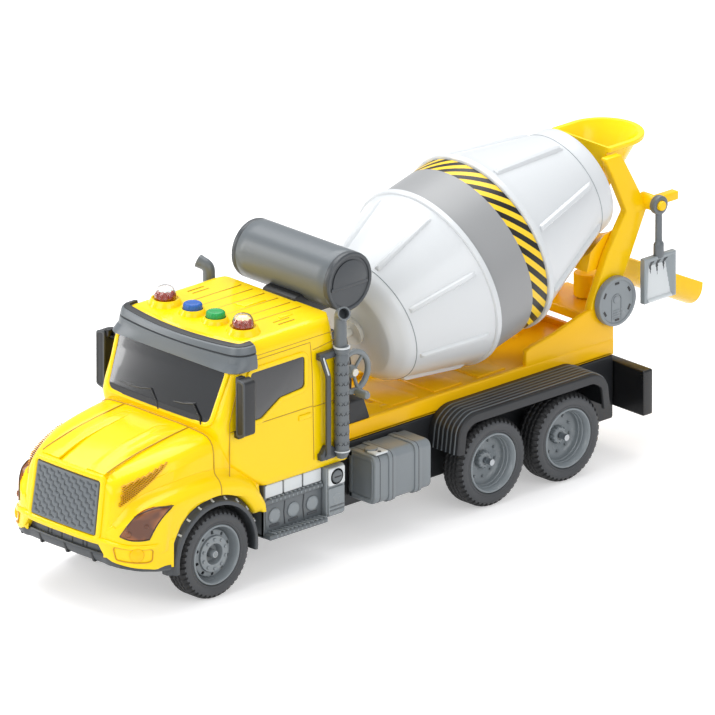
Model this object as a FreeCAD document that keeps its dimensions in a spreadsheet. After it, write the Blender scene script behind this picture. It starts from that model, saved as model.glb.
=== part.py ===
"""Toy cement mixer truck, built as separate moulded, turned and stamped pieces.

Frame: millimetres, +X to the nose, +Y to the driver's left, +Z up, origin on the floor at the
middle of the truck's box.  Every size stands once in the sheet; every place is an expression of it.
"""
import FreeCAD, Part
import math
import os
import re

import Sketcher
from FreeCAD import Placement, Rotation, Vector

# ---------------------------------------------------------------- driving sizes (mm and degrees)
SIZES = {
    "Overall": {
        "front_overhang": 57.0, "wheelbase": 175.8, "tandem_pitch": 48.0, "rear_overhang": 118.2,
        "track_half": 44.6, "wall": 2.0, "thin_wall": 1.6, "touch_gap": 0.05, "swing_gap": 0.3,
        "bearing_gap": 0.08,
    },
    "Wheels": {
        "tyre_radius": 21.5, "tyre_width": 13.8, "tyre_chamfer": 1.6, "seat_radius": 14.6,
        "rim_lip": 1.6, "rim_width": 11.5, "rim_inset": 0.8, "flange_depth": 3.4, "dish_depth": 9.0,
        "flange_thick": 2.0, "cap_radius": 4.6, "hub_radius": 3.4, "axle_radius": 1.5,
        "bolt_circle": 7.4, "bolt_radius": 0.75, "hole_circle": 10.4, "hole_radius": 1.1,
    },
    "Chassis": {
        "chassis_half": 25.0, "chassis_low": 14.0, "chassis_nose": 42.0, "chassis_tail": 48.0,
        "rail_low": 45.7, "rail_high": 54.0, "rail_wall": 3.0, "deck_thick": 2.5,
        "deck_drop": 2.5, "cheek_front": 9.0, "cheek_rise": 9.0, "cab_gap": 2.0, "screw_head": 2.6, "screw_head_high": 1.5,
        "screw_shank": 1.1, "screw_long": 14.0, "post_radius": 3.4,
    },
    "Power": {
        "cell_radius": 7.25, "cell_long": 50.5, "cell_pitch": 15.6, "cell_start": 92.0,
        "cover_thick": 1.8, "speaker_radius": 13.5, "speaker_high": 6.0, "speaker_back": 50.0,
        "case_front": 27.0, "case_back": 13.0, "case_half": 11.0, "case_low": 13.0,
        "case_high": 14.0, "flywheel_pin": 1.2, "gear_module": 1.25, "drive_teeth": 15.0, "pinion_teeth": 9.0,
        "gear_face": 3.2, "gear_backlash": 0.45, "flywheel_radius": 8.6, "flywheel_long": 6.0,
    },
    "Cab": {
        "cab_half": 41.0, "hood_half": 37.0, "roof_high": 117.6, "cab_back_top": 76.5, "cab_back_low": 87.0,
        "sill_low": 45.7, "cowl_back": 4.5, "cowl_high": 79.0, "screen_top_back": 18.0,
        "screen_top": 112.5, "hood_front": 50.0, "hood_front_high": 67.0, "chin_front": 54.5,
        "chin_high": 37.0, "bumper_high": 33.0, "cheek_low": 21.0, "arch_radius": 28.2,
        "flare_thick": 3.6, "flare_width": 5.5, "flare_half": 45.0, "arch_skirt_low": 35.5,
        "window_front": 26.0, "window_rear": 58.0, "window_low": 80.0, "window_high": 103.2,
        "window_mid": 87.6, "window_step": 40.5, "window_inset": 0.8,
        "screen_half": 33.0, "screen_low": 82.0, "screen_high": 102.5, "glass_thick": 1.4,
        "grille_half": 21.0, "grille_low": 38.6, "grille_high": 64.0, "grille_deep": 3.0,
        "lamp_low": 37.5, "lamp_high": 51.0, "lamp_deep": 1.4, "corner_start": 26.0,
        "dam_low": 18.0, "dam_front": 50.0, "dam_back": 30.0,
        "visor_half": 40.0, "visor_low": 104.8, "visor_front": 12.4, "visor_back": 24.6,
        "visor_high": 119.4, "roof_parts_back": 33.8, "beacon_side": 26.1, "beacon_radius": 5.4,
        "beacon_high": 126.3, "collar_high": 1.6, "collar_wall": 1.6, "button_side": 7.7, "button_radius": 4.5,
        "button_high": 123.8, "button_travel": 1.5, "button_flange": 1.2, "board_high": 105.0,
        "board_thick": 1.4, "board_half": 31.0, "board_long": 20.0, "switch_high": 5.0,
        "mirror_front": 12.0, "mirror_long": 8.0, "mirror_gap": 3.2, "mirror_wide": 5.5,
        "mirror_low": 75.0, "mirror_high": 105.0, "arm_radius": 1.1,
    },
    "Side fittings": {
        "stack_back": 78.5, "stack_radius": 3.9, "pipe_radius": 2.9, "stack_low": 49.0,
        "guard_high": 101.0, "stack_collar": 4.6, "stack_high": 126.0, "bar_back": 67.0,
        "bar_radius": 1.0, "bar_low": 50.0, "bar_high": 104.0, "bar_out": 3.0, "step_front": 33.0,
        "step_back": 70.0, "step_half": 45.0, "step_thick": 2.6, "step_low": 19.5,
        "step_upper": 35.8, "step_inset": 3.5, "box_back": 82.0, "box_low": 21.0,
        "fuel_front": 101.0, "fuel_back": 137.0, "fuel_low": 19.0, "fuel_high": 43.0,
        "fuel_half": 43.4, "fuel_round": 3.0, "band_wide": 4.0, "band_proud": 0.6,
        "fender_half": 45.0, "fender_high": 49.5, "fender_front": 23.8, "fender_back": 27.2,
        "fender_low": 31.0, "fender_slope": 9.6, "fender_wall": 2.0, "board_deep": 6.0,
        "tail_low": 20.0, "tail_high": 42.5, "tail_half": 45.0,
    },
    "Water tank": {
        "tank_back": 95.4, "tank_high": 127.8, "tank_radius": 14.3, "tank_half": 29.6,
        "tank_cap": 3.0, "cap_plug": 4.0, "saddle_half": 13.0, "saddle_high": 120.0, "saddle_low": 108.0,
        "saddle_front": 60.0, "saddle_back": 106.0,
    },
    "Drum": {
        "drum_tilt": 15.5, "drum_ahead": 0.8, "drum_centre_high": 101.1, "band_long": 34.7,
        "band_radius": 44.5, "ring_radius": 46.0, "ring_half": 1.6, "front_long": 44.0,
        "front_radius": 30.6, "nose_long": 6.4, "nose_radius": 24.0, "rear_long": 49.8,
        "rear_radius": 28.2, "collar_long": 9.0, "collar_radius": 27.4, "drum_wall": 2.2,
        "rib_wide": 2.6, "rib_proud": 1.5, "rib_count": 8.0, "mouth_radius": 24.6,
        "stub_radius": 2.0, "stub_hub": 7.0,
    },
    "Crank": {
        "mesh_back": 102.5, "bevel_radius": 6.6, "bevel_teeth": 9.0, "bevel_tip": 0.9,
        "bevel_root": 1.3, "bevel_inner": 0.62, "bevel_fill": 0.34, "crank_radius": 1.8,
        "crank_out": 27.7, "wheel_ring": 10.0, "wheel_tube": 1.3, "wheel_hub": 3.2,
        "handle_long": 9.0, "handle_radius": 2.1, "pedestal_half": 11.0, "pedestal_front": 93.0,
        "pedestal_back": 117.5, "pedestal_high": 92.5, "pedestal_wall": 1.8,
    },
    "Rear frame": {
        "frame_in": 20.0, "frame_out": 25.0, "leg_foot": 23.0, "leg_wide": 15.0,
        "elbow_back": 60.0, "elbow_high": 114.0, "elbow_wide": 12.0, "head_back": 44.0,
        "head_high": 143.0, "head_wide": 9.0, "cradle_low": 88.0, "cradle_high": 106.0, "cradle_front": 35.0,
        "cradle_back": 48.0, "cradle_lean": 12.0, "cradle_gap": 0.35, "peg_back": 70.7, "peg_high": 115.6, "peg_radius": 2.4,
        "peg_out": 34.2, "bracket_back": 90.0, "bracket_high": 4.0, "disc_back": 47.0,
        "disc_high": 72.9, "disc_radius": 12.0, "disc_thick": 3.6, "disc_boss": 6.5,
        "hopper_front": 50.0, "hopper_centre": 64.0, "hopper_radius": 18.2, "hopper_top": 145.5,
        "mouth_front": 50.0, "mouth_centre": 56.0, "funnel_radius": 8.5, "funnel_low": 120.0,
        "hopper_rim": 1.6, "hopper_rim_high": 2.4,
    },
    "Chute": {
        "chute_slope": 26.5, "chute_radius": 12.0, "chute_wall": 1.6, "chute_start": 59.7,
        "chute_top": 92.3, "pivot_back": 54.0, "pivot_radius": 2.5, "boss_radius": 6.0,
        "boss_low": 67.0, "boss_high": 78.5, "shelf_low": 62.0, "shelf_thick": 4.7,
        "shelf_front": 36.0, "shelf_back": 61.0,
    },
    "Shovel": {
        "ring_outer": 4.6, "ring_in": 29.4, "ring_thick": 3.4, "shaft_radius": 1.5,
        "socket_radius": 2.0, "shaft_end": 96.0, "blade_top": 91.0, "blade_low": 69.0,
        "blade_half": 10.2, "blade_thick": 1.4, "blade_edge": 3.2,
    },
}

# ---------------------------------------------------------------- places worked out from the sizes
PLACES = {
    "total_long": "(front_overhang + wheelbase + tandem_pitch + rear_overhang)",
    "front_x": "(total_long / 2 - front_overhang)",
    "drive_x": "(front_x - wheelbase)",
    "last_x": "(drive_x - tandem_pitch)",
    "axle_z": "(tyre_radius)",
    "tail_x": "(last_x - chassis_tail)",
    "cab_back_x": "(front_x - cab_back_low)",
    "drum_x": "(drive_x - drum_ahead)",
    "drum_z": "(drum_centre_high)",
    "roof_x": "(front_x - roof_parts_back)",
    "mesh_x": "(front_x - mesh_back)",
    "mesh_z": "(drum_z + (mesh_x - drum_x) * (0 - tan(drum_tilt)))",
    "collar_s": "(band_long + ring_half + rear_long)",
    "end_s": "(collar_s + collar_long)",
}

doc = FreeCAD.newDocument("toy_mixer_truck")
sheet = doc.addObject("Spreadsheet::Sheet", "Sizes")
row = 1
for group, values in SIZES.items():
    sheet.set(f"A{row}", group)
    row += 1
    for alias, value in values.items():
        sheet.set(f"A{row}", alias.replace("_", " "))
        sheet.set(f"B{row}", str(value))
        sheet.setAlias(f"B{row}", alias)
        row += 1
doc.recompute()

NAMES = {alias for values in SIZES.values() for alias in values}
NODES = {}


def expand(text):
    """Spell a place out in sheet sizes only."""
    previous = None
    while previous != text:
        previous = text
        text = re.sub(r"[a-z_]+", lambda word: PLACES.get(word.group(), word.group()), text)
    return text.replace("tan(drum_tilt)", "tan(drum_tilt * 1 deg)")


def bound(text):
    """The expression that an object keeps: sizes by their alias in the sheet."""
    return re.sub(r"[a-z_]+", lambda word: f"Sizes.{word.group()}" if word.group() in NAMES else word.group(),
                  expand(str(text)))


def size(text):
    """The present value of a size or a place, for counts, angles and shapes set by code."""
    sheet.set("D1", "=" + expand(str(text)))
    sheet.recompute()
    value = float(sheet.get("D1"))
    sheet.clear("D1")
    return value


# ---------------------------------------------------------------- building blocks
ALONG = {"X": Rotation(Vector(0, 1, 0), 90), "Y": Rotation(Vector(1, 0, 0), -90), "Z": Rotation()}


def bind(obj, **properties):
    """Tie properties of an object to expressions of the sheet."""
    for path, text in properties.items():
        obj.setExpression(path, bound(text))
    return obj


def place(obj, at, rotation=Rotation()):
    """Put an object at an expressed point."""
    obj.Placement = Placement(Vector(), rotation)
    for axis, text in zip("xyz", at):
        obj.setExpression(f"Placement.Base.{axis}", bound(text))
    return obj


def box(name, x, y, z):
    """A block between two planes each way."""
    block = doc.addObject("Part::Box", name)
    bind(block, Length=f"({x[1]}) - ({x[0]})", Width=f"({y[1]}) - ({y[0]})", Height=f"({z[1]}) - ({z[0]})")
    return place(block, (x[0], y[0], z[0]))


def starts(axis, centre, low):
    """The start point of a round piece that runs along an axis."""
    first, second = centre
    return {"X": (low, first, second), "Y": (first, low, second), "Z": (first, second, low)}[axis]


def rod(name, radius, axis, centre, span):
    """A round rod along X, Y or Z; centre holds the two other coordinates."""
    round_bar = doc.addObject("Part::Cylinder", name)
    bind(round_bar, Radius=radius, Height=f"({span[1]}) - ({span[0]})")
    return place(round_bar, starts(axis, centre, span[0]), ALONG[axis])


def taper(name, radii, axis, centre, span):
    """A cone frustum along X, Y or Z."""
    cone = doc.addObject("Part::Cone", name)
    bind(cone, Radius1=radii[0], Radius2=radii[1], Height=f"({span[1]}) - ({span[0]})")
    return place(cone, starts(axis, centre, span[0]), ALONG[axis])


def outline(body, plane, points):
    """A closed polygon in one of the body's own planes, each corner held by two bound distances."""
    sketch = body.newObject("Sketcher::SketchObject", body.Name + "_outline")
    support = [feature for feature in body.Origin.OriginFeatures if feature.Role == plane + "_Plane"][0]
    sketch.AttachmentSupport = [(support, "")]
    sketch.MapMode = "FlatFace"
    corners = [Vector(size(first), size(second), 0) for first, second in points]
    count = len(corners)
    for index in range(count):
        sketch.addGeometry(Part.LineSegment(corners[index], corners[(index + 1) % count]), False)
    for index in range(count):
        sketch.addConstraint(Sketcher.Constraint("Coincident", index, 2, (index + 1) % count, 1))
    for index, (first, second) in enumerate(points):
        for kind, text, value in (("DistanceX", first, corners[index].x), ("DistanceY", second, corners[index].y)):
            number = sketch.addConstraint(Sketcher.Constraint(kind, -1, 1, index, 1, value))
            sketch.setExpression(f"Constraints[{number}]", bound(text))
    return sketch


def prism(name, plane, points, span):
    """A polygon in plane XY, XZ or YZ, padded over a span of the third axis."""
    body = doc.addObject("PartDesign::Body", name)
    sketch = outline(body, plane, points)
    pad = body.newObject("PartDesign::Pad", name + "_pad")
    pad.Profile = sketch
    low, high = span
    bind(pad, Length=f"({high}) - ({low})")
    offset = f"0 - ({high})" if plane == "XZ" else low
    sketch.setExpression("AttachmentOffset.Base.z", bound(offset))
    return body


def spun(name, plane, points, at=("0", "0", "0"), rotation=Rotation()):
    """A polygon of (radius, height) turned about the plane's second axis."""
    body = doc.addObject("PartDesign::Body", name)
    sketch = outline(body, plane, points)
    turned = body.newObject("PartDesign::Revolution", name + "_turn")
    turned.Profile = sketch
    turned.ReferenceAxis = (sketch, ["V_Axis"])
    turned.Angle = 360
    return place(body, at, rotation)


def fuse(name, pieces):
    """One solid from several touching ones."""
    joined = doc.addObject("Part::MultiFuse", name)
    joined.Shapes = pieces
    joined.Refine = True
    return joined


def cut(name, base, tools):
    """A piece with one or more others taken out of it."""
    result = doc.addObject("Part::Cut", name)
    result.Base = base
    result.Tool = tools[0] if len(tools) == 1 else fuse(name + "_tools", tools)
    result.Refine = True
    return result


def common(name, first, second):
    """What two pieces share."""
    result = doc.addObject("Part::MultiCommon", name)
    result.Shapes = [first, second]
    result.Refine = True
    return result


def mirrored(name, piece):
    """The right-hand copy of a left-hand piece."""
    copy = doc.addObject("Part::Mirroring", name)
    copy.Source = piece
    copy.Normal = Vector(0, 1, 0)
    return copy


def group(name, pieces):
    """Several separate solids of one kind in one node."""
    together = doc.addObject("Part::Compound", name)
    together.Links = pieces
    return together


def copy_of(name, piece):
    """The same shape again, to cut with."""
    return group(name, [piece])


def node(name, piece):
    """Name a finished sub-part."""
    piece.Label = name
    NODES[name] = piece
    return piece


def both_sides(name, piece):
    """Finish a left-hand piece and its right-hand twin as two nodes."""
    node(name + "_left", piece)
    return node(name + "_right", mirrored(name + "_twin", piece))


# ---------------------------------------------------------------- wheels and axles
def ring_of(name, count, radius, circle, y_span, at):
    """Round holes or bolts on a circle round a wheel's centre; y_span is their depth."""
    pieces = []
    for index in range(count):
        angle = 360.0 * index / count
        x = f"({at[0]}) + ({circle}) * cos({angle} deg)"
        z = f"({at[2]}) + ({circle}) * sin({angle} deg)"
        pieces.append(rod(f"{name}_{index}", radius, "Y", (x, z), y_span))
    return pieces


def make_wheel(place_name, x, dish):
    """A tyre with bevelled shoulders and its rim, on the left; outer face at track_half."""
    at = (x, "track_half", "axle_z")
    tyre = spun(f"tyre_{place_name}", "XY", [
        ("seat_radius", "0 - tyre_chamfer"),
        ("seat_radius + tyre_chamfer", "0"),
        ("tyre_radius - tyre_chamfer", "0"),
        ("tyre_radius", "0 - tyre_chamfer"),
        ("tyre_radius", "tyre_chamfer - tyre_width"),
        ("tyre_radius - tyre_chamfer", "0 - tyre_width"),
        ("seat_radius + tyre_chamfer", "0 - tyre_width"),
        ("seat_radius", "tyre_chamfer - tyre_width"),
    ], at)
    rim_out = "seat_radius - touch_gap"
    inner = "0 - rim_inset - rim_width"
    hub_end = "chassis_half + swing_gap - track_half"
    rim = spun(f"rim_{place_name}", "XY", [
        ("axle_radius + touch_gap", hub_end),
        ("hub_radius", hub_end),
        ("hub_radius", f"0 - {dish} - flange_thick"),
        ("seat_radius - rim_lip", f"0 - {dish} - flange_thick"),
        ("seat_radius - rim_lip", inner),
        (rim_out, inner),
        (rim_out, "0 - rim_inset"),
        ("seat_radius - rim_lip", "0 - rim_inset"),
        ("seat_radius - rim_lip - 0.8", f"0 - {dish}"),
        ("cap_radius", f"0 - {dish}"),
        ("cap_radius - 0.8", "0 - rim_inset"),
        ("axle_radius + touch_gap", "0 - rim_inset"),
    ], at)
    flange = (f"track_half - {dish} - flange_thick - 1", f"track_half - {dish} + 1")
    holes = ring_of(f"hole_{place_name}", 10, "hole_radius", "hole_circle", flange, at)
    bolts = ring_of(f"bolt_{place_name}", 10, "bolt_radius", "bolt_circle",
                    (f"track_half - {dish} - flange_thick", f"track_half - {dish} + 0.9"), at)
    return tyre, cut(f"rim_{place_name}_whole", fuse(f"rim_{place_name}_bolted", [rim] + bolts), holes)


def make_axle(name, x, dish):
    """An axle with a pair of wheels."""
    tyre, rim = make_wheel(name, x, dish)
    both_sides(f"{name}_tyre", tyre)
    node(f"{name}_rims", group(f"{name}_rim_pair", [rim, mirrored(f"{name}_rim_twin", rim)]))
    reach = "track_half - rim_inset - 0.4"
    node(f"{name}_axle", rod(f"{name}_shaft", "axle_radius", "Y", (x, "axle_z"), (f"0 - ({reach})", reach)))


make_axle("front", "front_x", "flange_depth")
make_axle("drive", "drive_x", "dish_depth")
make_axle("last", "last_x", "dish_depth")


# ---------------------------------------------------------------- chassis, battery bay, friction motor
MIDDLE = "0"
SCREWS = [(x, y) for x in ("front_x + 34", "front_x - 80", "last_x + tandem_pitch / 2", "last_x - 33") for y in ("14", "0 - 14")]


def even(text):
    """The two sides of a span centred on the truck."""
    return f"0 - ({text})", text


def make_chassis():
    """A tray with axle bores, a floor opening each for the cells and the motor, and a speaker grid."""
    nose = "front_x + chassis_nose"
    tray = box("tray", ("tail_x", nose), even("chassis_half"), ("chassis_low", "rail_low"))
    hollow = box("tray_hollow", ("tail_x + wall", f"{nose} - wall"), even("chassis_half - wall"),
                 ("chassis_low + wall", "rail_low + 1"))
    cuts = [hollow]
    for name in ("front_x", "drive_x", "last_x"):
        cuts.append(rod(f"bearing_{name}", "axle_radius + bearing_gap", "Y", (name, "axle_z"),
                        even("chassis_half + 1")))
    shell = cut("tray_shell", tray, cuts)
    bay_x = ("front_x - cell_start - cell_long - 1", "front_x - cell_start + 1")
    bay_half = "cell_pitch / 2 + cell_radius + 0.6"
    bay_high = "chassis_low + cover_thick + 2 * cell_radius + 1.5"
    bay = box("bay", (f"{bay_x[0]} - thin_wall", f"{bay_x[1]} + thin_wall"), even(f"{bay_half} + thin_wall"),
              ("chassis_low + wall", f"{bay_high} + thin_wall"))
    solid = fuse("tray_and_bay", [shell, bay])
    openings = [box("bay_hollow", bay_x, even(bay_half), ("chassis_low - 1", bay_high))]
    openings.append(box("motor_opening", ("drive_x - case_back - touch_gap", "drive_x + case_front + touch_gap"),
                        even("case_half + touch_gap"), ("chassis_low - 1", "chassis_low + wall + 1")))
    for index, (x, y) in enumerate(SCREWS):
        openings.append(rod(f"screw_hole_{index}", "screw_shank + 0.15", "Z", (x, y),
                            ("chassis_low - 1", "chassis_low + wall + 1")))
        openings.append(rod(f"screw_seat_{index}", "screw_head + 0.1", "Z", (x, y),
                            ("chassis_low - 1", "chassis_low + screw_head_high")))
    for index in range(5):
        y = f"{(index - 2) * 4.4}"
        openings.append(box(f"sound_slot_{index}", ("front_x - speaker_back - 8", "front_x - speaker_back + 8"),
                            (f"{y} - 0.8", f"{y} + 0.8"), ("chassis_low - 1", "chassis_low + wall + 1")))
    node("chassis_frame", cut("chassis_whole", solid, openings))

    gap = "touch_gap"
    node("battery_cover", box("cover_plate", (f"{bay_x[0]} + {gap}", f"{bay_x[1]} - {gap}"),
                              even(f"{bay_half} - {gap}"), ("chassis_low", "chassis_low + cover_thick")))
    cells = []
    for side in (-1, 1):
        y = f"{side} * cell_pitch / 2"
        z = "chassis_low + cover_thick + cell_radius + touch_gap"
        tail = "front_x - cell_start - cell_long"
        can = rod(f"cell_can_{side + 1}", "cell_radius", "X", (y, z), (tail, "front_x - cell_start - 1.2"))
        tip = rod(f"cell_tip_{side + 1}", "cell_radius * 0.38", "X", (y, z),
                  ("front_x - cell_start - 1.2", "front_x - cell_start"))
        cells.append(fuse(f"cell_{side + 1}", [can, tip]))
    node("batteries", group("cell_pair", cells))
    low = "chassis_low + wall"
    speaker = spun("speaker_body", "XZ", [
        ("0", low), ("speaker_radius", low), ("speaker_radius", f"{low} + 1.6"),
        ("speaker_radius * 0.55", f"{low} + speaker_high * 0.6"),
        ("speaker_radius * 0.55", f"{low} + speaker_high"), ("0", f"{low} + speaker_high"),
    ], ("front_x - speaker_back", "0", "0"))
    node("speaker", speaker)
    screws = []
    for index, (x, y) in enumerate(SCREWS):
        head = rod(f"head_{index}", "screw_head", "Z", (x, y), ("chassis_low", "chassis_low + screw_head_high"))
        shank = rod(f"shank_{index}", "screw_shank", "Z", (x, y),
                    ("chassis_low + screw_head_high", "chassis_low + screw_long"))
        screws.append(fuse(f"screw_{index}", [head, shank]))
    node("body_screws", group("screw_set", screws))


def post(name, x, y, top):
    """A screw post that hangs from a moulding down to the chassis floor, bored for its screw."""
    column = rod(name, "post_radius", "Z", (x, y), ("chassis_low + wall", top))
    bore = rod(name + "_bore", "screw_shank + touch_gap", "Z", (x, y), ("chassis_low", "chassis_low + screw_long + 1"))
    return cut(name + "_bored", column, [bore])


def toothed(name, teeth, width, at):
    """A spur gear along Y: flat-sided teeth, thinned by the backlash, over a round root."""
    module = size("gear_module")
    backlash = size("gear_backlash")
    pitch_radius = module * teeth / 2
    step = 2 * math.pi / teeth
    half = (math.pi * module - backlash) / 4 / pitch_radius
    corners = []
    for index in range(teeth):
        middle = index * step
        for radius, share in ((pitch_radius - 1.15 * module, -1.55), (pitch_radius, -1.0),
                              (pitch_radius + 0.8 * module, -0.45), (pitch_radius + 0.8 * module, 0.45),
                              (pitch_radius, 1.0), (pitch_radius - 1.15 * module, 1.55)):
            angle = middle + share * half
            corners.append(Vector(radius * math.cos(angle), 0, radius * math.sin(angle)))
    face = Part.Face(Part.makePolygon(corners + corners[:1]))
    gear = doc.addObject("Part::Feature", name)
    gear.Shape = face.extrude(Vector(0, size(width), 0))
    return place(gear, at)


def make_motor():
    """The friction motor: two case halves, the gear on the drive axle, and the flywheel with its pinion."""
    fly_x = "drive_x + gear_module * (drive_teeth + pinion_teeth) / 2"
    x = ("drive_x - case_back", "drive_x + case_front")
    z = ("axle_z - case_low", "axle_z + case_high")
    halves = []
    for name, y_out, y_in, y_split in (("left", "case_half", "case_half - wall", "touch_gap / 2"),
                                       ("right", "0 - case_half", "wall - case_half", "0 - touch_gap / 2")):
        low, high = (y_split, y_out) if name == "left" else (y_out, y_split)
        low_in, high_in = ("0 - 1", y_in) if name == "left" else (y_in, "1")
        outer = box(f"case_{name}", x, (low, high), z)
        inner = box(f"case_{name}_hollow", (f"{x[0]} + wall", f"{x[1]} - wall"), (low_in, high_in),
                    (f"{z[0]} + thin_wall", f"{z[1]} - wall"))
        bores = [rod(f"case_{name}_axle", "axle_radius + bearing_gap", "Y", ("drive_x", "axle_z"), even("case_half + 1")),
                 rod(f"case_{name}_pin", "flywheel_pin + bearing_gap", "Y", (fly_x, "axle_z"), even("case_half + 1"))]
        halves.append(cut(f"case_{name}_whole", outer, [inner] + bores))
    node("motor_case", group("case_halves", halves))

    gear = toothed("drive_teeth_ring", int(size("drive_teeth")), "gear_face", ("drive_x", "2", "axle_z"))
    collar = rod("gear_collar", "axle_radius + 1.4", "Y", ("drive_x", "axle_z"), ("2 + gear_face", "case_half - wall - swing_gap"))
    bore = rod("gear_bore", "axle_radius + touch_gap", "Y", ("drive_x", "axle_z"), ("0", "case_half"))
    node("drive_gear", cut("drive_gear_bored", fuse("gear_blank", [gear, collar]), [bore]))

    pinion = toothed("pinion_ring", int(size("pinion_teeth")), "gear_face", (fly_x, "2", "axle_z"))
    disc = rod("flywheel_disc", "flywheel_radius", "Y", (fly_x, "axle_z"), ("1 - flywheel_long", "1"))
    neck = rod("flywheel_neck", "gear_module * pinion_teeth / 2 - gear_module * 1.4", "Y", (fly_x, "axle_z"), ("1", "2"))
    pin = rod("flywheel_shaft", "flywheel_pin", "Y", (fly_x, "axle_z"), even("case_half - 0.5"))
    node("flywheel", fuse("flywheel_whole", [pinion, disc, neck, pin]))


make_chassis()
make_motor()


# ---------------------------------------------------------------- cab
def nose_x(z):
    """The front face between the chin and the hood's front edge, at a height."""
    return (f"front_x + chin_front - (({z}) - chin_high) * (chin_front - hood_front)"
            " / (hood_front_high - chin_high)")


def back_x(z):
    """The cab's leaning back wall, at a height."""
    return (f"front_x - cab_back_low + (({z}) - sill_low) * (cab_back_low - cab_back_top)"
            " / (roof_high - sill_low)")


def cab_side(name, inset, foot):
    """The cab and hood seen from the side, moved inwards by an inset, down to a foot height."""
    i = f"({inset})"
    points = [
        (f"front_x - cab_back_low + {i}", foot[0]),
        ("front_x + swing_gap - step_front", foot[0]),
        ("front_x - 29.5", foot[1]),
        ("front_x", foot[1]),
        ("front_x", foot[2]),
        (f"front_x + hood_front - {i}", foot[2]),
        (f"front_x + front_overhang - {i}", "bumper_high"),
        (f"front_x + chin_front - {i}", "chin_high"),
        (f"front_x + hood_front - {i}", f"hood_front_high - {i}"),
        (f"front_x - cowl_back - {i}", f"cowl_high - {i}"),
        (f"front_x - screen_top_back - {i}", f"screen_top - {i}"),
        (f"front_x - 27 - {i} / 2", f"roof_high - {i}"),
        (f"front_x - cab_back_top + {i}", f"roof_high - {i}"),
    ]
    if foot[0] == foot[1]:
        points = points[:1] + points[5:]
        points.insert(1, (f"front_x + hood_front - {i}", foot[0]))
        del points[2]
    body = prism(name, "XZ", points, even(f"cab_half - {i}"))
    trims = []
    for side in ("1", "0 - 1"):
        trims.append(prism(f"{name}_shoulder_{side[-1]}{len(side)}", "YZ", [
            (f"{side} * (cab_half - {i} + 0.4)", "sill_low + 16"), (f"{side} * (hood_half - 3.4 - {i})", "cowl_high + 1"),
            (f"{side} * (cab_half + 4)", "cowl_high + 1"), (f"{side} * (cab_half + 4)", "sill_low + 16"),
        ], ("front_x - cowl_back + 1.5 - " + i, "front_x + front_overhang + 1")))
        trims.append(prism(f"{name}_corner_{side[-1]}{len(side)}", "XY", [
            (f"front_x + front_overhang - {i}", f"{side} * (corner_start - {i})"),
            (f"front_x + 53 - {i}", f"{side} * (34 - {i})"),
            (f"front_x + 40 - {i}", f"{side} * (39.8 - {i})"),
            (f"front_x + 24 - {i}", f"{side} * (cab_half - {i})"),
            (f"front_x + 24 - {i}", f"{side} * (cab_half + 4)"),
            ("front_x + front_overhang + 2", f"{side} * (cab_half + 4)"),
            ("front_x + front_overhang + 2", f"{side} * (corner_start - {i})"),
        ], ("0", "roof_high")))
        trims.append(prism(f"{name}_eave_{side[-1]}{len(side)}", "YZ", [
            (f"{side} * (cab_half - {i})", "roof_high - 6 - " + i), (f"{side} * (cab_half - 3 - {i})", f"roof_high - {i}"),
            (f"{side} * (cab_half - 3 - {i})", "roof_high + 2"), (f"{side} * (cab_half + 2)", "roof_high + 2"),
            (f"{side} * (cab_half + 2)", "roof_high - 6 - " + i),
        ], ("front_x - cab_back_low - 1", "front_x - 8")))
    return cut(name + "_trimmed", body, trims)


def side_window(name, edge, y):
    """The side window's outline, drawn in by an edge clearance, over a span of Y."""
    return prism(name, "XZ", [
        (f"front_x - window_front - {edge}", f"window_high - {edge}"),
        (f"front_x - window_rear + {edge}", f"window_high - {edge}"),
        (f"front_x - window_rear + {edge}", f"window_mid + {edge}"),
        (f"front_x - window_step - {edge} / 2", f"window_mid + {edge}"),
        (f"front_x - window_front - 4 - {edge}", f"window_low + {edge}"),
    ], y)


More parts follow.
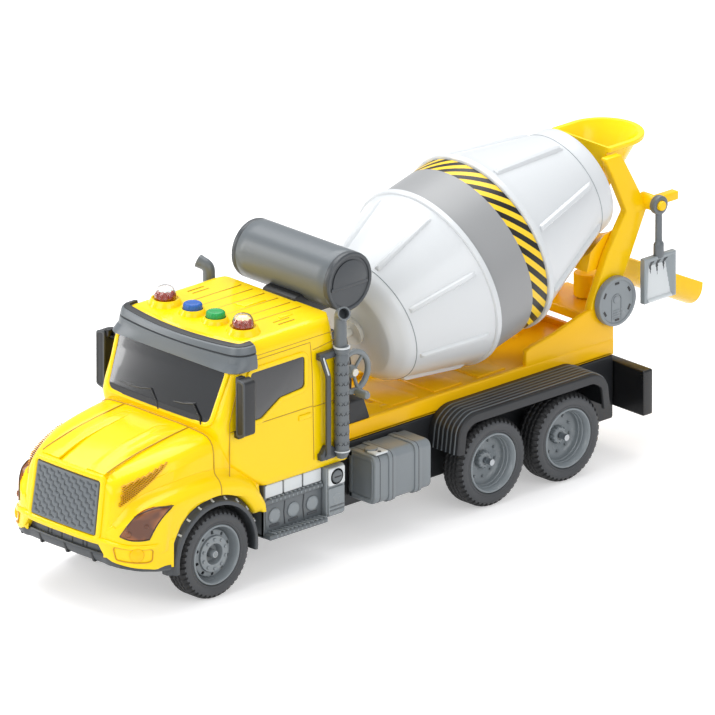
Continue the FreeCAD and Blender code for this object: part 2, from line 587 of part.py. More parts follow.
def make_cab():
    """The hollow yellow cab and hood with everything that is set into it."""
    outer = cab_side("cab_outer", "0", ("sill_low", "arch_skirt_low", "cheek_low"))
    foot = ("chassis_low - 4", "chassis_low - 4", "chassis_low - 4")
    hollow = cab_side("cab_hollow", "wall", foot)
    shell = cut("cab_shell_open", outer, [hollow])

    # lamps, grille and the bumper insert are cut into the nose and set flush in it
    lamps = []
    for side in ("1", "0 - 1"):
        lamps.append(prism(f"lamp_{side[-1]}{len(side)}", "XY", [
            ("front_x + 53.4", f"{side} * 34.4"), ("front_x + 40.4", f"{side} * 40.4"), ("front_x + 29.5", f"{side} * 41.3"),
            ("front_x + 29.5", f"{side} * (41 - lamp_deep)"), ("front_x + 39.6", f"{side} * (39.6 - lamp_deep)"),
            ("front_x + 52.4", f"{side} * (34 - lamp_deep)"),
        ], ("lamp_low", "lamp_high")))
    node("headlights", group("lamp_pair", lamps))
    proud = "0.5"
    grille = prism("grille_plate", "XZ", [
        (f"{nose_x('grille_low')} + {proud}", "grille_low"), (f"{nose_x('grille_high')} + {proud}", "grille_high"),
        (f"{nose_x('grille_high')} - grille_deep", "grille_high"), (f"{nose_x('grille_low')} - grille_deep", "grille_low"),
    ], even("grille_half"))
    node("grille", grille)
    insert = prism("dam_insert", "XZ", [
        ("front_x + dam_front - 4", "cheek_low"), ("front_x + dam_front + 0.3", "cheek_low"),
        ("front_x + front_overhang - 0.4", "bumper_high - 1"), ("front_x + front_overhang - 5", "bumper_high - 1"),
    ], even("17"))
    lip = prism("dam_lip", "XY", [
        ("front_x + dam_front", even("24")[0]), ("front_x + dam_front", "24"), ("front_x + 44", "36"),
        ("front_x + dam_back", "40.5"), ("front_x + dam_back", "36"), ("front_x + 43", "33"), ("front_x + 45.5", "22"),
        ("front_x + 45.5", "0 - 22"), ("front_x + 43", "0 - 33"), ("front_x + dam_back", "0 - 36"),
        ("front_x + dam_back", "0 - 40.5"), ("front_x + 44", "0 - 36"),
    ], ("dam_low", "cheek_low"))
    node("air_dam", fuse("dam_whole", [insert, lip]))

    arch = rod("arch", "arch_radius", "Y", ("front_x", "axle_z"), even("flare_half + 2"))
    cuts = [arch, copy_of("grille_pocket", grille), copy_of("dam_pocket", insert)]
    cuts += [copy_of(f"lamp_pocket_{index}", lamp) for index, lamp in enumerate(lamps)]
    cuts.append(side_window("side_opening", "0", even("cab_half + 1")))
    cuts.append(box("screen_opening", ("front_x - 24", "front_x + 2"), even("screen_half"), ("screen_low", "screen_high")))

    # roof fittings: collars for the beacons and buttons, posts for the circuit board and the screws
    added = [shell]
    for index, y in enumerate(("beacon_side", "0 - beacon_side")):
        added.append(taper(f"beacon_collar_{index}", ("beacon_radius + 2.2", "beacon_radius + collar_wall / 2"), "Z",
                           ("roof_x", y), ("roof_high", "roof_high + collar_high")))
        cuts.append(rod(f"beacon_hole_{index}", "beacon_radius - 2", "Z", ("roof_x", y), ("roof_high - 6", "roof_high + 6")))
    for index, y in enumerate(("button_side", "0 - button_side")):
        added.append(taper(f"button_collar_{index}", ("button_radius + 2", "button_radius + 1"), "Z",
                           ("roof_x", y), ("roof_high", "roof_high + collar_high")))
        cuts.append(rod(f"button_hole_{index}", "button_radius + bearing_gap", "Z", ("roof_x", y),
                        ("roof_high - 6", "roof_high + 6")))
    board_top = "board_high + board_thick"
    for index, (x, y) in enumerate(((-7, 18), (7, 18), (-7, -18), (7, -18))):
        added.append(rod(f"board_post_{index}", "1.8", "Z", (f"roof_x + {x}", f"{y}"), (board_top, "roof_high - wall")))
    for x, y in SCREWS[:4]:
        top = "hood_front_high + 2.4" if x.endswith("34") else "roof_high - 18"
        added.append(post(f"cab_post_{x[-2:]}_{len(y)}", x, y, top))
    node("cab_shell", cut("cab_whole", fuse("cab_fitted", added), cuts))

    # one dark moulding behind the openings: screen and both side windows
    skin = cut("pane_skin", cab_side("pane_outer", "wall + touch_gap", foot),
               [cab_side("pane_inner", "wall + touch_gap + glass_thick", foot)])
    zone = box("pane_zone", ("front_x - window_rear - 3", "front_x + 2"), even("cab_half"),
               ("window_low - 2.5", "window_high + 2.4"))
    front_skin = cut("screen_skin", cab_side("screen_outer", "window_inset", foot),
                     [cab_side("screen_inner", "wall + touch_gap + 0.4", foot)])
    front_zone = box("screen_zone", ("front_x - 24", "front_x + 2"), even("screen_half - 0.1"),
                     ("screen_low + 0.1", "screen_high - 0.1"))
    sides = [side_window("pane_left", "0.1", ("cab_half - wall - 0.4", "cab_half - window_inset")),
             side_window("pane_right", "0.1", ("window_inset - cab_half", "wall + 0.4 - cab_half"))]
    node("cab_windows", fuse("panes", [common("pane_frame", skin, zone), common("screen", front_skin, front_zone)] + sides))

    visor = prism("visor_block", "XZ", [
        ("front_x - visor_front", "visor_low"), ("front_x - visor_front", "screen_top - 1"),
        ("front_x - 19", "roof_high"), ("front_x - visor_back", "visor_high"),
        ("front_x - visor_back - 1", "roof_high - 2"), ("front_x - 24", "visor_low + 4"), ("front_x - 18", "visor_low"),
    ], even("visor_half"))
    node("visor", cut("visor_whole", visor, [cab_side("visor_seat", "0", foot)]))

    domes = []
    for index, y in enumerate(("beacon_side", "0 - beacon_side")):
        seat = "roof_high + collar_high"
        r = "beacon_radius"
        domes.append(spun(f"dome_{index}", "XZ", [
            (r, seat), (r, "beacon_high - 3.4"), (f"{r} - 1", "beacon_high - 1.4"), (f"{r} - 3", "beacon_high - 0.2"),
            ("0", "beacon_high"), ("0", "beacon_high - 1.2"), (f"{r} - 3", "beacon_high - 1.5"),
            (f"{r} - 1.4", "beacon_high - 3.4"), (f"{r} - 1.4", seat),
        ], ("roof_x", y, "0")))
    node("beacons", group("dome_pair", domes))

    board = box("board_plate", ("roof_x - board_long / 2", "roof_x + board_long / 2"), even("board_half"), ("board_high", board_top))
    board_parts = [board]
    for index, y in enumerate(("button_side", "0 - button_side")):
        board_parts.append(box(f"switch_{index}", ("roof_x - 3", "roof_x + 3"), (f"{y} - 3", f"{y} + 3"),
                               (board_top, f"{board_top} + switch_high")))
    for index, y in enumerate(("beacon_side", "0 - beacon_side")):
        board_parts.append(fuse(f"led_{index}", [
            rod(f"led_body_{index}", "2.2", "Z", ("roof_x", y), (board_top, "beacon_high - 5")),
            rod(f"led_flange_{index}", "2.7", "Z", ("roof_x", y), (board_top, f"{board_top} + 1"))]))
    node("circuit_board", group("board_set", board_parts))

    for name, y in (("green_button", "button_side"), ("blue_button", "0 - button_side")):
        under = "roof_high - wall - touch_gap"
        stem = f"{board_top} + switch_high + button_travel + 0.1"
        node(name, spun(name + "_body", "XZ", [
            ("0", stem), ("1.5", stem), ("1.5", f"{under} - button_flange"), ("button_radius + 1.2", f"{under} - button_flange"),
            ("button_radius + 1.2", under), ("button_radius", under), ("button_radius", "button_high - 1.2"),
            ("button_radius - 0.8", "button_high"), ("button_radius - 2", "button_high"),
            ("button_radius - 2.4", "button_high - 0.8"), ("0", "button_high - 0.8"),
        ], ("roof_x", y, "0")))


make_cab()


# ---------------------------------------------------------------- things on the cab's and chassis' sides
def make_side_fittings():
    """Arches, mirrors, stacks, bars, steps, fuel tanks, fenders and the tail board."""
    flare = cut("flare", rod("flare_disc", "arch_radius - touch_gap", "Y", ("front_x", "axle_z"),
                             ("flare_half - flare_width", "flare_half")),
                [rod("flare_hole", "arch_radius - flare_thick", "Y", ("front_x", "axle_z"), ("0", "flare_half + 1")),
                 box("flare_foot", ("front_x - 40", "front_x + 40"), ("0", "flare_half + 1"), ("0 - 20", "dam_low"))])
    node("wheel_arches", group("flare_pair", [flare, mirrored("flare_twin", flare)]))

    mirror_in = "cab_half + mirror_gap"
    x = "front_x - mirror_front - mirror_long / 2"
    shell = box("mirror_box", ("front_x - mirror_front - mirror_long", "front_x - mirror_front"),
                (mirror_in, f"{mirror_in} + mirror_wide"), ("mirror_low", "mirror_high"))
    arms = [rod("mirror_arm_low", "arm_radius", "Y", (x, "mirror_low + 3"), ("cab_half", f"{mirror_in} + 1")),
            rod("mirror_arm_high", "arm_radius", "Y", (x, "mirror_high - 4"), ("cab_half", f"{mirror_in} + 1"))]
    mirror = fuse("mirror_whole", [shell] + arms)
    node("mirrors", group("mirror_pair", [mirror, mirrored("mirror_twin", mirror)]))

    stack_x = "front_x - stack_back"
    stack_y = "cab_half + stack_collar + 0.1"
    stack = [rod("stack_guard", "stack_radius", "Z", (stack_x, stack_y), ("stack_low", "guard_high")),
             rod("stack_ring", "stack_collar", "Z", (stack_x, stack_y), ("guard_high", "guard_high + 3")),
             rod("stack_pipe", "pipe_radius", "Z", (stack_x, stack_y), ("guard_high + 3", "stack_high"))]
    for index, z in enumerate(("stack_low + 8", "stack_low + 38")):
        stack.append(box(f"stack_clip_{index}", (f"{stack_x} - 1", f"{stack_x} + 1"), ("cab_half", stack_y), (z, f"{z} + 3")))
    hollow = rod("stack_bore", "pipe_radius - 0.8", "Z", (stack_x, stack_y), ("guard_high + 6", "stack_high + 1"))
    stack_left = cut("stack_whole", fuse("stack_solid", stack), [hollow])
    node("exhaust_stacks", group("stack_pair", [stack_left, mirrored("stack_twin", stack_left)]))

    bar_x = "front_x - bar_back"
    bar_y = "cab_half + bar_out"
    bar = [rod("bar_rail", "bar_radius", "Z", (bar_x, bar_y), ("bar_low", "bar_high"))]
    for index, z in enumerate(("bar_low + 2", "bar_high - 2")):
        bar.append(rod(f"bar_foot_{index}", "bar_radius * 0.85", "Y", (bar_x, z), ("cab_half", bar_y)))
    bar_left = fuse("bar_whole", bar)
    node("grab_bars", group("bar_pair", [bar_left, mirrored("bar_twin", bar_left)]))

    front, back = "front_x - step_front", "front_x - step_back"
    steps = [
        box("step_back_wall", (back, front), ("chassis_half", "chassis_half + wall"), ("step_low", "sill_low")),
        box("step_lower", (back, front), ("chassis_half", "step_half"), ("step_low", "step_low + step_thick")),
        box("step_upper", (back, front), ("chassis_half", "step_half - step_inset"), ("step_upper", "step_upper + step_thick")),
        box("step_riser", (back, front), ("step_half - 6", "step_half - 4.4"), ("step_low", "step_upper + 1")),
        box("step_panel", (back, front), ("cab_half - wall", "cab_half - 0.2"), ("step_upper", "sill_low")),
        box("step_end", (f"{front} - wall", front), ("chassis_half", "step_half - 4.4"), ("step_low", "sill_low")),
        box("step_box", ("front_x - box_back", back), ("chassis_half", "step_half - 1"), ("box_low", "sill_low")),
        rod("step_cap", "4.2", "Y", ("front_x - (step_back + box_back) / 2", "box_low + 9"), ("step_half - 2", "step_half")),
    ]
    for index in range(3):
        x_disc = f"{front} - (step_back - step_front) * {index + 1} / 4"
        steps.append(rod(f"step_disc_{index}", "3.2", "Y", (x_disc, "(step_low + step_upper) / 2 + 1"), ("step_half - 5", "step_half - 3.4")))
    both_sides("step_unit", fuse("steps", steps))

    def tank_section(name, swell, x_span):
        low, high = f"fuel_low - {swell}", f"fuel_high + {swell}"
        near, far = "chassis_half", f"fuel_half + {swell}"
        return prism(name, "YZ", [
            (near, low), (f"{far} - fuel_round", low), (far, f"{low} + fuel_round"), (far, f"{high} - fuel_round"),
            (f"{far} - fuel_round", high), (near, high),
        ], x_span)

    tank = [tank_section("fuel_body", "0", ("front_x - fuel_back", "front_x - fuel_front"))]
    for index, share in enumerate((0.3, 0.74)):
        middle = f"front_x - fuel_front - (fuel_back - fuel_front) * {share}"
        tank.append(tank_section(f"fuel_band_{index}", "band_proud", (f"{middle} - band_wide / 2", f"{middle} + band_wide / 2")))
    tank.append(rod("fuel_cap", "3.2", "Z", ("front_x - fuel_front - 5", "fuel_half - 8"), ("fuel_high - 1", "fuel_high + 1.6")))
    both_sides("fuel_tank", fuse("fuel_whole", tank))

    x_front, x_back = "drive_x + fender_front", "last_x - fender_back"
    fender = prism("fender_profile", "XZ", [
        (x_front, "fender_low"), (f"{x_front} - fender_slope * 0.25", "fender_high - 5"), (f"{x_front} - fender_slope", "fender_high"),
        (f"{x_back} + fender_slope", "fender_high"), (f"{x_back} + fender_slope * 0.25", "fender_high - 5"), (x_back, "fender_low"),
        (f"{x_back} + fender_wall", "fender_low"), (f"{x_back} + fender_slope * 0.25 + fender_wall", "fender_high - 6"),
        (f"{x_back} + fender_slope + 1", "fender_high - fender_wall"), (f"{x_front} - fender_slope - 1", "fender_high - fender_wall"),
        (f"{x_front} - fender_slope * 0.25 - fender_wall", "fender_high - 6"), (f"{x_front} - fender_wall", "fender_low"),
    ], ("chassis_half", "fender_half"))
    both_sides("rear_fender", fender)
    node("tail_board", box("tail_plate", ("tail_x - board_deep", "tail_x"), even("tail_half"), ("tail_low", "tail_high")))


make_side_fittings()


# ---------------------------------------------------------------- bed, water tank
def make_bed():
    """The yellow bed: a channel with raised rails, cheeks at the rear and its screw posts."""
    x = ("tail_x", "cab_back_x - cab_gap")
    beam = box("bed_beam", x, even("chassis_half"), ("rail_low", "rail_high"))
    recess = box("bed_recess", ("tail_x + rail_wall", f"{x[1]} - rail_wall"), even("chassis_half - rail_wall"),
                 ("rail_high - deck_drop", "rail_high + 1"))
    under = box("bed_under", ("tail_x + wall", f"{x[1]} - wall"), even("chassis_half - wall"),
                ("rail_low - 1", "rail_high - deck_drop - deck_thick"))
    pieces = [cut("bed_channel", beam, [recess, under])]
    foot = "last_x - leg_foot + 1"
    for name, y in (("left", ("chassis_half - rail_wall", "chassis_half")), ("right", even("chassis_half")[:1] + ("rail_wall - chassis_half",))):
        pieces.append(prism(f"bed_cheek_{name}", "XZ", [
            ("last_x + cheek_front", "rail_high - 1"), ("last_x + cheek_front", "rail_high"), ("last_x - 12", "rail_high + cheek_rise"),
            (foot, "rail_high + cheek_rise"), (foot, "rail_high - 1"),
        ], y))
    for index, (x_post, y_post) in enumerate(SCREWS[4:]):
        pieces.append(post(f"bed_post_{index}", x_post, y_post, "rail_high - deck_drop - 1"))
    slots = []
    for index in range(4):
        x_slot = f"front_x - 118 - {index} * 9"
        slots.append(box(f"bed_slot_{index}", (x_slot, f"{x_slot} + 2.4"), ("0 - 6", "6"),
                         ("rail_high - deck_drop - 1.2", "rail_high")))
    node("bed_deck", cut("bed_whole", fuse("bed_solid", pieces), slots))


def make_tank():
    """The water tank behind the cab roof, its two end caps and its saddle."""
    at = ("front_x - tank_back", "0", "tank_high")
    r = "tank_radius"
    node("water_tank", spun("tank_body", "XY", [
        (r, "0 - tank_half"), (r, "tank_half"), (f"{r} - thin_wall", "tank_half"), (f"{r} - thin_wall", "0 - tank_half"),
    ], at))
    plug = f"{r} - thin_wall - touch_gap"
    cap = spun("cap_body", "XY", [
        ("0", "tank_half + tank_cap - 1.2"), (f"{r} - 2", "tank_half + tank_cap - 1.2"), (f"{r} - 1.6", "tank_half + tank_cap"),
        (f"{r} - 0.6", "tank_half + tank_cap"), (r, "tank_half + tank_cap - 0.8"), (r, "tank_half"),
        (plug, "tank_half"), (plug, "tank_half - cap_plug"), (f"{plug} - 1.4", "tank_half - cap_plug"),
        (f"{plug} - 1.4", "tank_half - 0.6"), ("0", "tank_half - 0.6"),
    ], at)
    bar = box("cap_bar", ("front_x - tank_back - tank_radius + 2.5", "front_x - tank_back + tank_radius - 2.5"),
              ("tank_half + tank_cap - 1.4", "tank_half + tank_cap - 0.1"), ("tank_high - 1", "tank_high + 1"))
    left = fuse("cap_left", [cap, bar])
    node("tank_end_caps", group("cap_pair", [left, mirrored("cap_right", left)]))
    block = prism("saddle_block", "XZ", [
        ("front_x - saddle_front", "roof_high"), ("front_x - saddle_front", "saddle_high"), ("front_x - saddle_back", "saddle_high"),
        ("front_x - saddle_back", "saddle_low"), (back_x("saddle_low"), "saddle_low"), (back_x("roof_high"), "roof_high"),
    ], even("saddle_half"))
    seat = rod("saddle_seat", "tank_radius + touch_gap", "Y", (at[0], at[2]), even("saddle_half + 1"))
    node("tank_bracket", cut("saddle_whole", block, [seat]))


make_bed()
make_tank()


# ---------------------------------------------------------------- drum, its shaft and the crank
def lean(piece, at):
    """Lay a piece, made along Z, on the drum's axis: Z then points up to the rear."""
    place(piece, at, Rotation(Vector(0, -1, 0), 74.5))
    piece.setExpression("Placement.Rotation.Angle", bound("90 - drum_tilt"))
    return piece


DRUM_AT = ("drum_x", "0", "drum_z")


def front_cone(s):
    """The front cone's radius at a place along the drum."""
    return f"front_radius + (({s}) + front_long) * (band_radius - front_radius) / (front_long - ring_half)"


def rear_cone(s):
    """The rear cone's radius at a place along the drum."""
    return f"rear_radius + (collar_s - ({s})) * (band_radius - rear_radius) / rear_long"


def drum_part(name, points, rib):
    """A turned shell with eight ribs along it, laid on the drum's axis."""
    pieces = [spun(f"{name}_turned", "XZ", points)]
    for index in range(int(size("rib_count")) if rib else 0):
        bar = prism(f"{name}_rib_{index}", "XZ", rib, even("rib_wide / 2"))
        bar.Placement = Placement(Vector(), Rotation(Vector(0, 0, 1), 360.0 * index / size("rib_count")))
        pieces.append(bar)
    return lean(fuse(f"{name}_whole", pieces) if rib else group(f"{name}_whole", pieces), DRUM_AT)


def bevel(name, teeth, first_tooth, back):
    """A straight bevel gear on Z with its cone's tip at the origin; every flank aims at that tip."""
    pitch, tip, root = size("bevel_radius"), size("bevel_tip"), size("bevel_root")
    inner, fill = size("bevel_inner"), size("bevel_fill")
    slant = math.sqrt(0.5)
    half_step = math.pi / teeth

    def corner(out, half_angle, scale, middle):
        radius = (pitch + out * slant) * scale
        angle = middle + half_angle
        return Vector(radius * math.cos(angle), radius * math.sin(angle), (pitch - out * slant) * scale)

    root_out = (pitch - root * slant, pitch + root * slant)
    blank = Part.makeCone(root_out[0] * inner, root_out[0], root_out[1] * (1 - inner), Vector(0, 0, root_out[1] * inner))
    blank = blank.fuse(Part.makeCylinder(root_out[0], back - root_out[1], Vector(0, 0, root_out[1])))
    for index in range(teeth):
        middle = first_tooth + 2 * half_step * index
        ends = []
        for scale in (inner, 1.0):
            ends.append([corner(-root * 1.15, -half_step * fill * 1.7, scale, middle), corner(tip, -half_step * fill * 0.6, scale, middle),
                         corner(tip, half_step * fill * 0.6, scale, middle), corner(-root * 1.15, half_step * fill * 1.7, scale, middle)])
        near, far = ends
        faces = [Part.Face(Part.makePolygon(near + near[:1])), Part.Face(Part.makePolygon(far + far[:1]))]
        for first in range(4):
            second = (first + 1) % 4
            faces.append(Part.Face(Part.makePolygon([near[first], near[second], far[second], far[first], near[first]])))
        tooth = Part.makeSolid(Part.makeShell(faces))
        blank = blank.fuse(tooth)
    gear = doc.addObject("Part::Feature", name)
    gear.Shape = blank.removeSplitter()
    return gear


def make_drum():
    """The drum's front cone, band and rear cone, and the stub shaft that turns it."""
    face = "0 - front_long - nose_long"
    node("drum_front_shell", drum_part("drum_front", [
        ("stub_radius + touch_gap", face), ("nose_radius", face), ("front_radius", "0 - front_long"),
        ("band_radius", "0 - ring_half"), ("ring_radius", "0 - ring_half"), ("ring_radius", "ring_half"),
        ("band_radius - drum_wall", "ring_half"), ("band_radius - drum_wall", "0 - ring_half"),
        ("front_radius - drum_wall", "0 - front_long"), ("nose_radius - drum_wall", f"{face} + drum_wall"),
        ("stub_radius + touch_gap", f"{face} + drum_wall"),
    ], [
        (front_cone("2.6 - front_long") + " - 1.2", "2.6 - front_long"),
        (front_cone("4.6 - front_long") + " + rib_proud", "4.6 - front_long"),
        ("band_radius + rib_proud - 0.4", "0 - ring_half"), ("band_radius - 1.2", "0 - ring_half"),
    ]))
    node("drum_band", drum_part("drum_middle", [
        ("band_radius - drum_wall", "ring_half"), ("band_radius", "ring_half"), ("band_radius", "band_long - ring_half"),
        ("band_radius - drum_wall", "band_long - ring_half"),
    ], None))
    node("drum_rear_shell", drum_part("drum_rear", [
        ("band_radius - drum_wall", "band_long - ring_half"), ("ring_radius", "band_long - ring_half"),
        ("ring_radius", "band_long + ring_half"), ("band_radius", "band_long + ring_half"), ("rear_radius", "collar_s"),
        ("collar_radius", "end_s"), ("mouth_radius", "end_s"), ("mouth_radius", "end_s - drum_wall"),
        ("collar_radius - drum_wall", "end_s - drum_wall"), ("rear_radius - drum_wall", "collar_s"),
        ("band_radius - drum_wall", "band_long + ring_half"),
    ], [
        ("band_radius - 1.2", "band_long + ring_half"), ("band_radius + rib_proud - 0.4", "band_long + ring_half"),
        (rear_cone("collar_s - 5") + " + rib_proud", "collar_s - 5"), (rear_cone("collar_s - 3") + " - 1.2", "collar_s - 3"),
    ]))
    teeth = int(size("bevel_teeth"))
    gear_back = size("bevel_radius") + 2.2
    gear = bevel("drum_bevel", teeth, math.pi / 2, gear_back)
    shaft = rod("drum_stub", "stub_radius", "Z", ("0", "0"), (f"{gear_back} - 0.4", "1.4"))
    mesh_to_drum = "(mesh_x - drum_x) / cos(drum_tilt * 1 deg)"
    bind(shaft, Height=f"{mesh_to_drum} - front_long - nose_long + drum_wall - {gear_back} + 0.4")
    hub_start = f"{mesh_to_drum} - front_long - nose_long - 2"
    hub = rod("drum_hub", "stub_hub", "Z", ("0", "0"), (hub_start, f"{hub_start} + 2"))
    node("drum_shaft", lean(fuse("drum_shaft_whole", [gear, shaft, hub]), ("mesh_x", "0", "mesh_z")))


def make_crank():
    """The pedestal with the bevel pair inside, the crank shaft and the hand wheel."""
    teeth = int(size("bevel_teeth"))
    tilt = math.radians(size("drum_tilt"))
    gear = bevel("crank_bevel", teeth, math.pi + tilt + math.pi / teeth, size("bevel_radius") + 1.6)
    place(gear, ("mesh_x", "0", "mesh_z"), ALONG["Y"])
    rod_y = ("0 - pedestal_half + 0.6", "crank_out + 1.2")
    shaft = rod("crank_rod", "crank_radius", "Y", ("mesh_x", "mesh_z"), rod_y)
    node("crank_shaft", fuse("crank_shaft_whole", [gear, shaft]))

    x = ("front_x - pedestal_back", "front_x - pedestal_front")
    low = "rail_high - deck_drop"
    tower = box("tower", x, even("pedestal_half"), (low, "pedestal_high"))
    hollow = box("tower_hollow", (f"{x[0]} + pedestal_wall", f"{x[1]} - pedestal_wall"), even("pedestal_half - pedestal_wall"),
                 (f"{low} + pedestal_wall", "pedestal_high - pedestal_wall"))
    cross = rod("tower_crank_bore", "crank_radius + bearing_gap", "Y", ("mesh_x", "mesh_z"), even("pedestal_half + 1"))
    long_bore = lean(rod("tower_drum_bore", "stub_radius + bearing_gap", "Z", ("0", "0"), ("0", "30")), ("mesh_x", "0", "mesh_z"))
    node("crank_pedestal", cut("tower_whole", tower, [hollow, cross, long_bore]))

    ring = doc.addObject("Part::Torus", "hand_ring")
    bind(ring, Radius1="wheel_ring", Radius2="wheel_tube")
    place(ring, ("mesh_x", "crank_out", "mesh_z"), ALONG["Y"])
    hub_y = ("crank_out - 2.4", "crank_out + 1.4")
    pieces = [ring, rod("hand_hub", "wheel_hub", "Y", ("mesh_x", "mesh_z"), hub_y)]
    for index in range(3):
        spoke = doc.addObject("Part::Cylinder", f"hand_spoke_{index}")
        bind(spoke, Radius="wheel_tube * 0.8", Height="wheel_ring")
        place(spoke, ("mesh_x", "crank_out", "mesh_z"), Rotation(Vector(0, 1, 0), 180 + 120 * index))
        pieces.append(spoke)
    pieces.append(rod("hand_peg", "handle_radius", "Y", ("mesh_x", "mesh_z - wheel_ring"), ("crank_out - 0.6", "crank_out + handle_long")))
    bore = rod("hand_bore", "crank_radius + touch_gap", "Y", ("mesh_x", "mesh_z"), ("crank_out - 4", "crank_out + 4"))
    node("hand_wheel", cut("hand_wheel_whole", fuse("hand_wheel_solid", pieces), [bore]))


make_drum()
make_crank()


# ---------------------------------------------------------------- rear frame, hopper, chute, shovel
def make_rear_frame():
    """Two side plates, the cradle under the drum's collar, the reel discs and the chute's shelf."""
    y = ("frame_in", "frame_out")
    leg = prism("leg_plate", "XZ", [
        ("last_x - leg_foot", "rail_high"), ("last_x - leg_foot - leg_wide", "rail_high"),
        ("last_x - elbow_back - elbow_wide", "elbow_high"), ("last_x - head_back - head_wide", "head_high"),
        ("last_x - head_back", "head_high"), ("last_x - elbow_back", "elbow_high"),
    ], y)
    boss = rod("disc_boss", "disc_boss", "Y", ("last_x - disc_back", "disc_high"), y)
    plain = fuse("side_plate", [leg, boss])
    arm = box("peg_arm", ("last_x - bracket_back", "last_x - elbow_back - 3"), y, ("peg_high - bracket_high", "peg_high + 0.6"))
    peg = rod("peg", "peg_radius", "Y", ("last_x - peg_back", "peg_high"), ("frame_in", "peg_out"))
    shoulder = rod("peg_shoulder", "peg_radius + 1.4", "Y", ("last_x - peg_back", "peg_high"), ("frame_in", "ring_in - swing_gap"))
    node("rear_frame_left", fuse("frame_left", [plain, arm, peg, shoulder]))
    node("rear_frame_right", mirrored("frame_right", plain))

    saddle = prism("cradle_block", "XZ", [
        ("last_x - cradle_front", "cradle_low"), ("last_x - cradle_back", "cradle_low"),
        ("last_x - cradle_back - cradle_lean", "cradle_high"), ("last_x - cradle_front - 4", "cradle_high"),
    ], even("frame_in"))
    room = drum_part("drum_room", [
        ("0", "0"), ("ring_radius + cradle_gap", "0"), ("ring_radius + cradle_gap", "band_long + ring_half"),
        (rear_cone("collar_s - 5") + " + rib_proud + cradle_gap", "collar_s - 5"),
        (rear_cone("collar_s - 5") + " + rib_proud + cradle_gap", "collar_s - 3"),
        (rear_cone("collar_s - 2.6") + " + cradle_gap", "collar_s - 2.6"), ("rear_radius + cradle_gap", "collar_s"),
        ("rear_radius + cradle_gap", "end_s + 4"), ("0", "end_s + 4"),
    ], None)
    node("drum_cradle", cut("cradle_whole", saddle, [room]))

    disc = spun("reel_disc", "XY", [
        ("0", "0"), ("disc_radius", "0"), ("disc_radius", "disc_thick - 0.6"), ("disc_radius - 0.6", "disc_thick"),
        ("disc_radius - 1.8", "disc_thick"), ("disc_radius - 2.2", "disc_thick - 0.6"), ("0", "disc_thick - 0.6"),
    ], ("last_x - disc_back", "frame_out", "disc_high"))
    node("reel_discs", group("disc_pair", [disc, mirrored("disc_twin", disc)]))

    shelf = box("shelf_plate", ("last_x - shelf_back", "last_x - shelf_front"), even("frame_in"), ("shelf_low", "shelf_low + shelf_thick"))
    pin = rod("chute_pin", "pivot_radius", "Z", ("last_x - pivot_back", "0"), ("shelf_low + 1", "boss_high - 2"))
    node("chute_bracket", fuse("chute_bracket_whole", [shelf, pin]))


def d_wire(front, centre, radius, z):
    """A closed D: a straight front edge, two straight sides and a half circle at the rear."""
    left, right = Vector(front, radius, z), Vector(front, -radius, z)
    turn_left, turn_right = Vector(centre, radius, z), Vector(centre, -radius, z)
    return Part.Wire([
        Part.LineSegment(right, left).toShape(), Part.LineSegment(left, turn_left).toShape(),
        Part.Arc(turn_left, Vector(centre - radius, 0, z), turn_right).toShape(), Part.LineSegment(turn_right, right).toShape(),
    ])


def make_hopper():
    """A D-shaped funnel between the heads of the side plates."""
    wall = size("thin_wall")
    top, low = size("hopper_top"), size("funnel_low")
    wide = (size("last_x - hopper_front"), size("last_x - hopper_centre"), size("hopper_radius"))
    narrow = (size("last_x - mouth_front"), size("last_x - mouth_centre"), size("funnel_radius"))
    outer = Part.makeLoft([d_wire(*wide, top), d_wire(*narrow, low)], True, True)
    inner = Part.makeLoft([d_wire(wide[0] - wall, wide[1], wide[2] - wall, top), d_wire(narrow[0] - wall, narrow[1], narrow[2] - wall, low)], True, True)
    edge = size("hopper_rim")
    rim_low = top - size("hopper_rim_high")
    rim = Part.Face(d_wire(wide[0], wide[1], wide[2] + edge, rim_low)).extrude(Vector(0, 0, top - rim_low))
    funnel = doc.addObject("Part::Feature", "funnel")
    funnel.Shape = outer.fuse(rim).cut(inner).removeSplitter()
    return node("hopper", funnel)


def slope(piece, at):
    """Lay a piece, made along Z, down the chute's slope."""
    place(piece, at, Rotation(Vector(0, -1, 0), 116.5))
    piece.setExpression("Placement.Rotation.Angle", bound("90 + chute_slope"))
    return piece


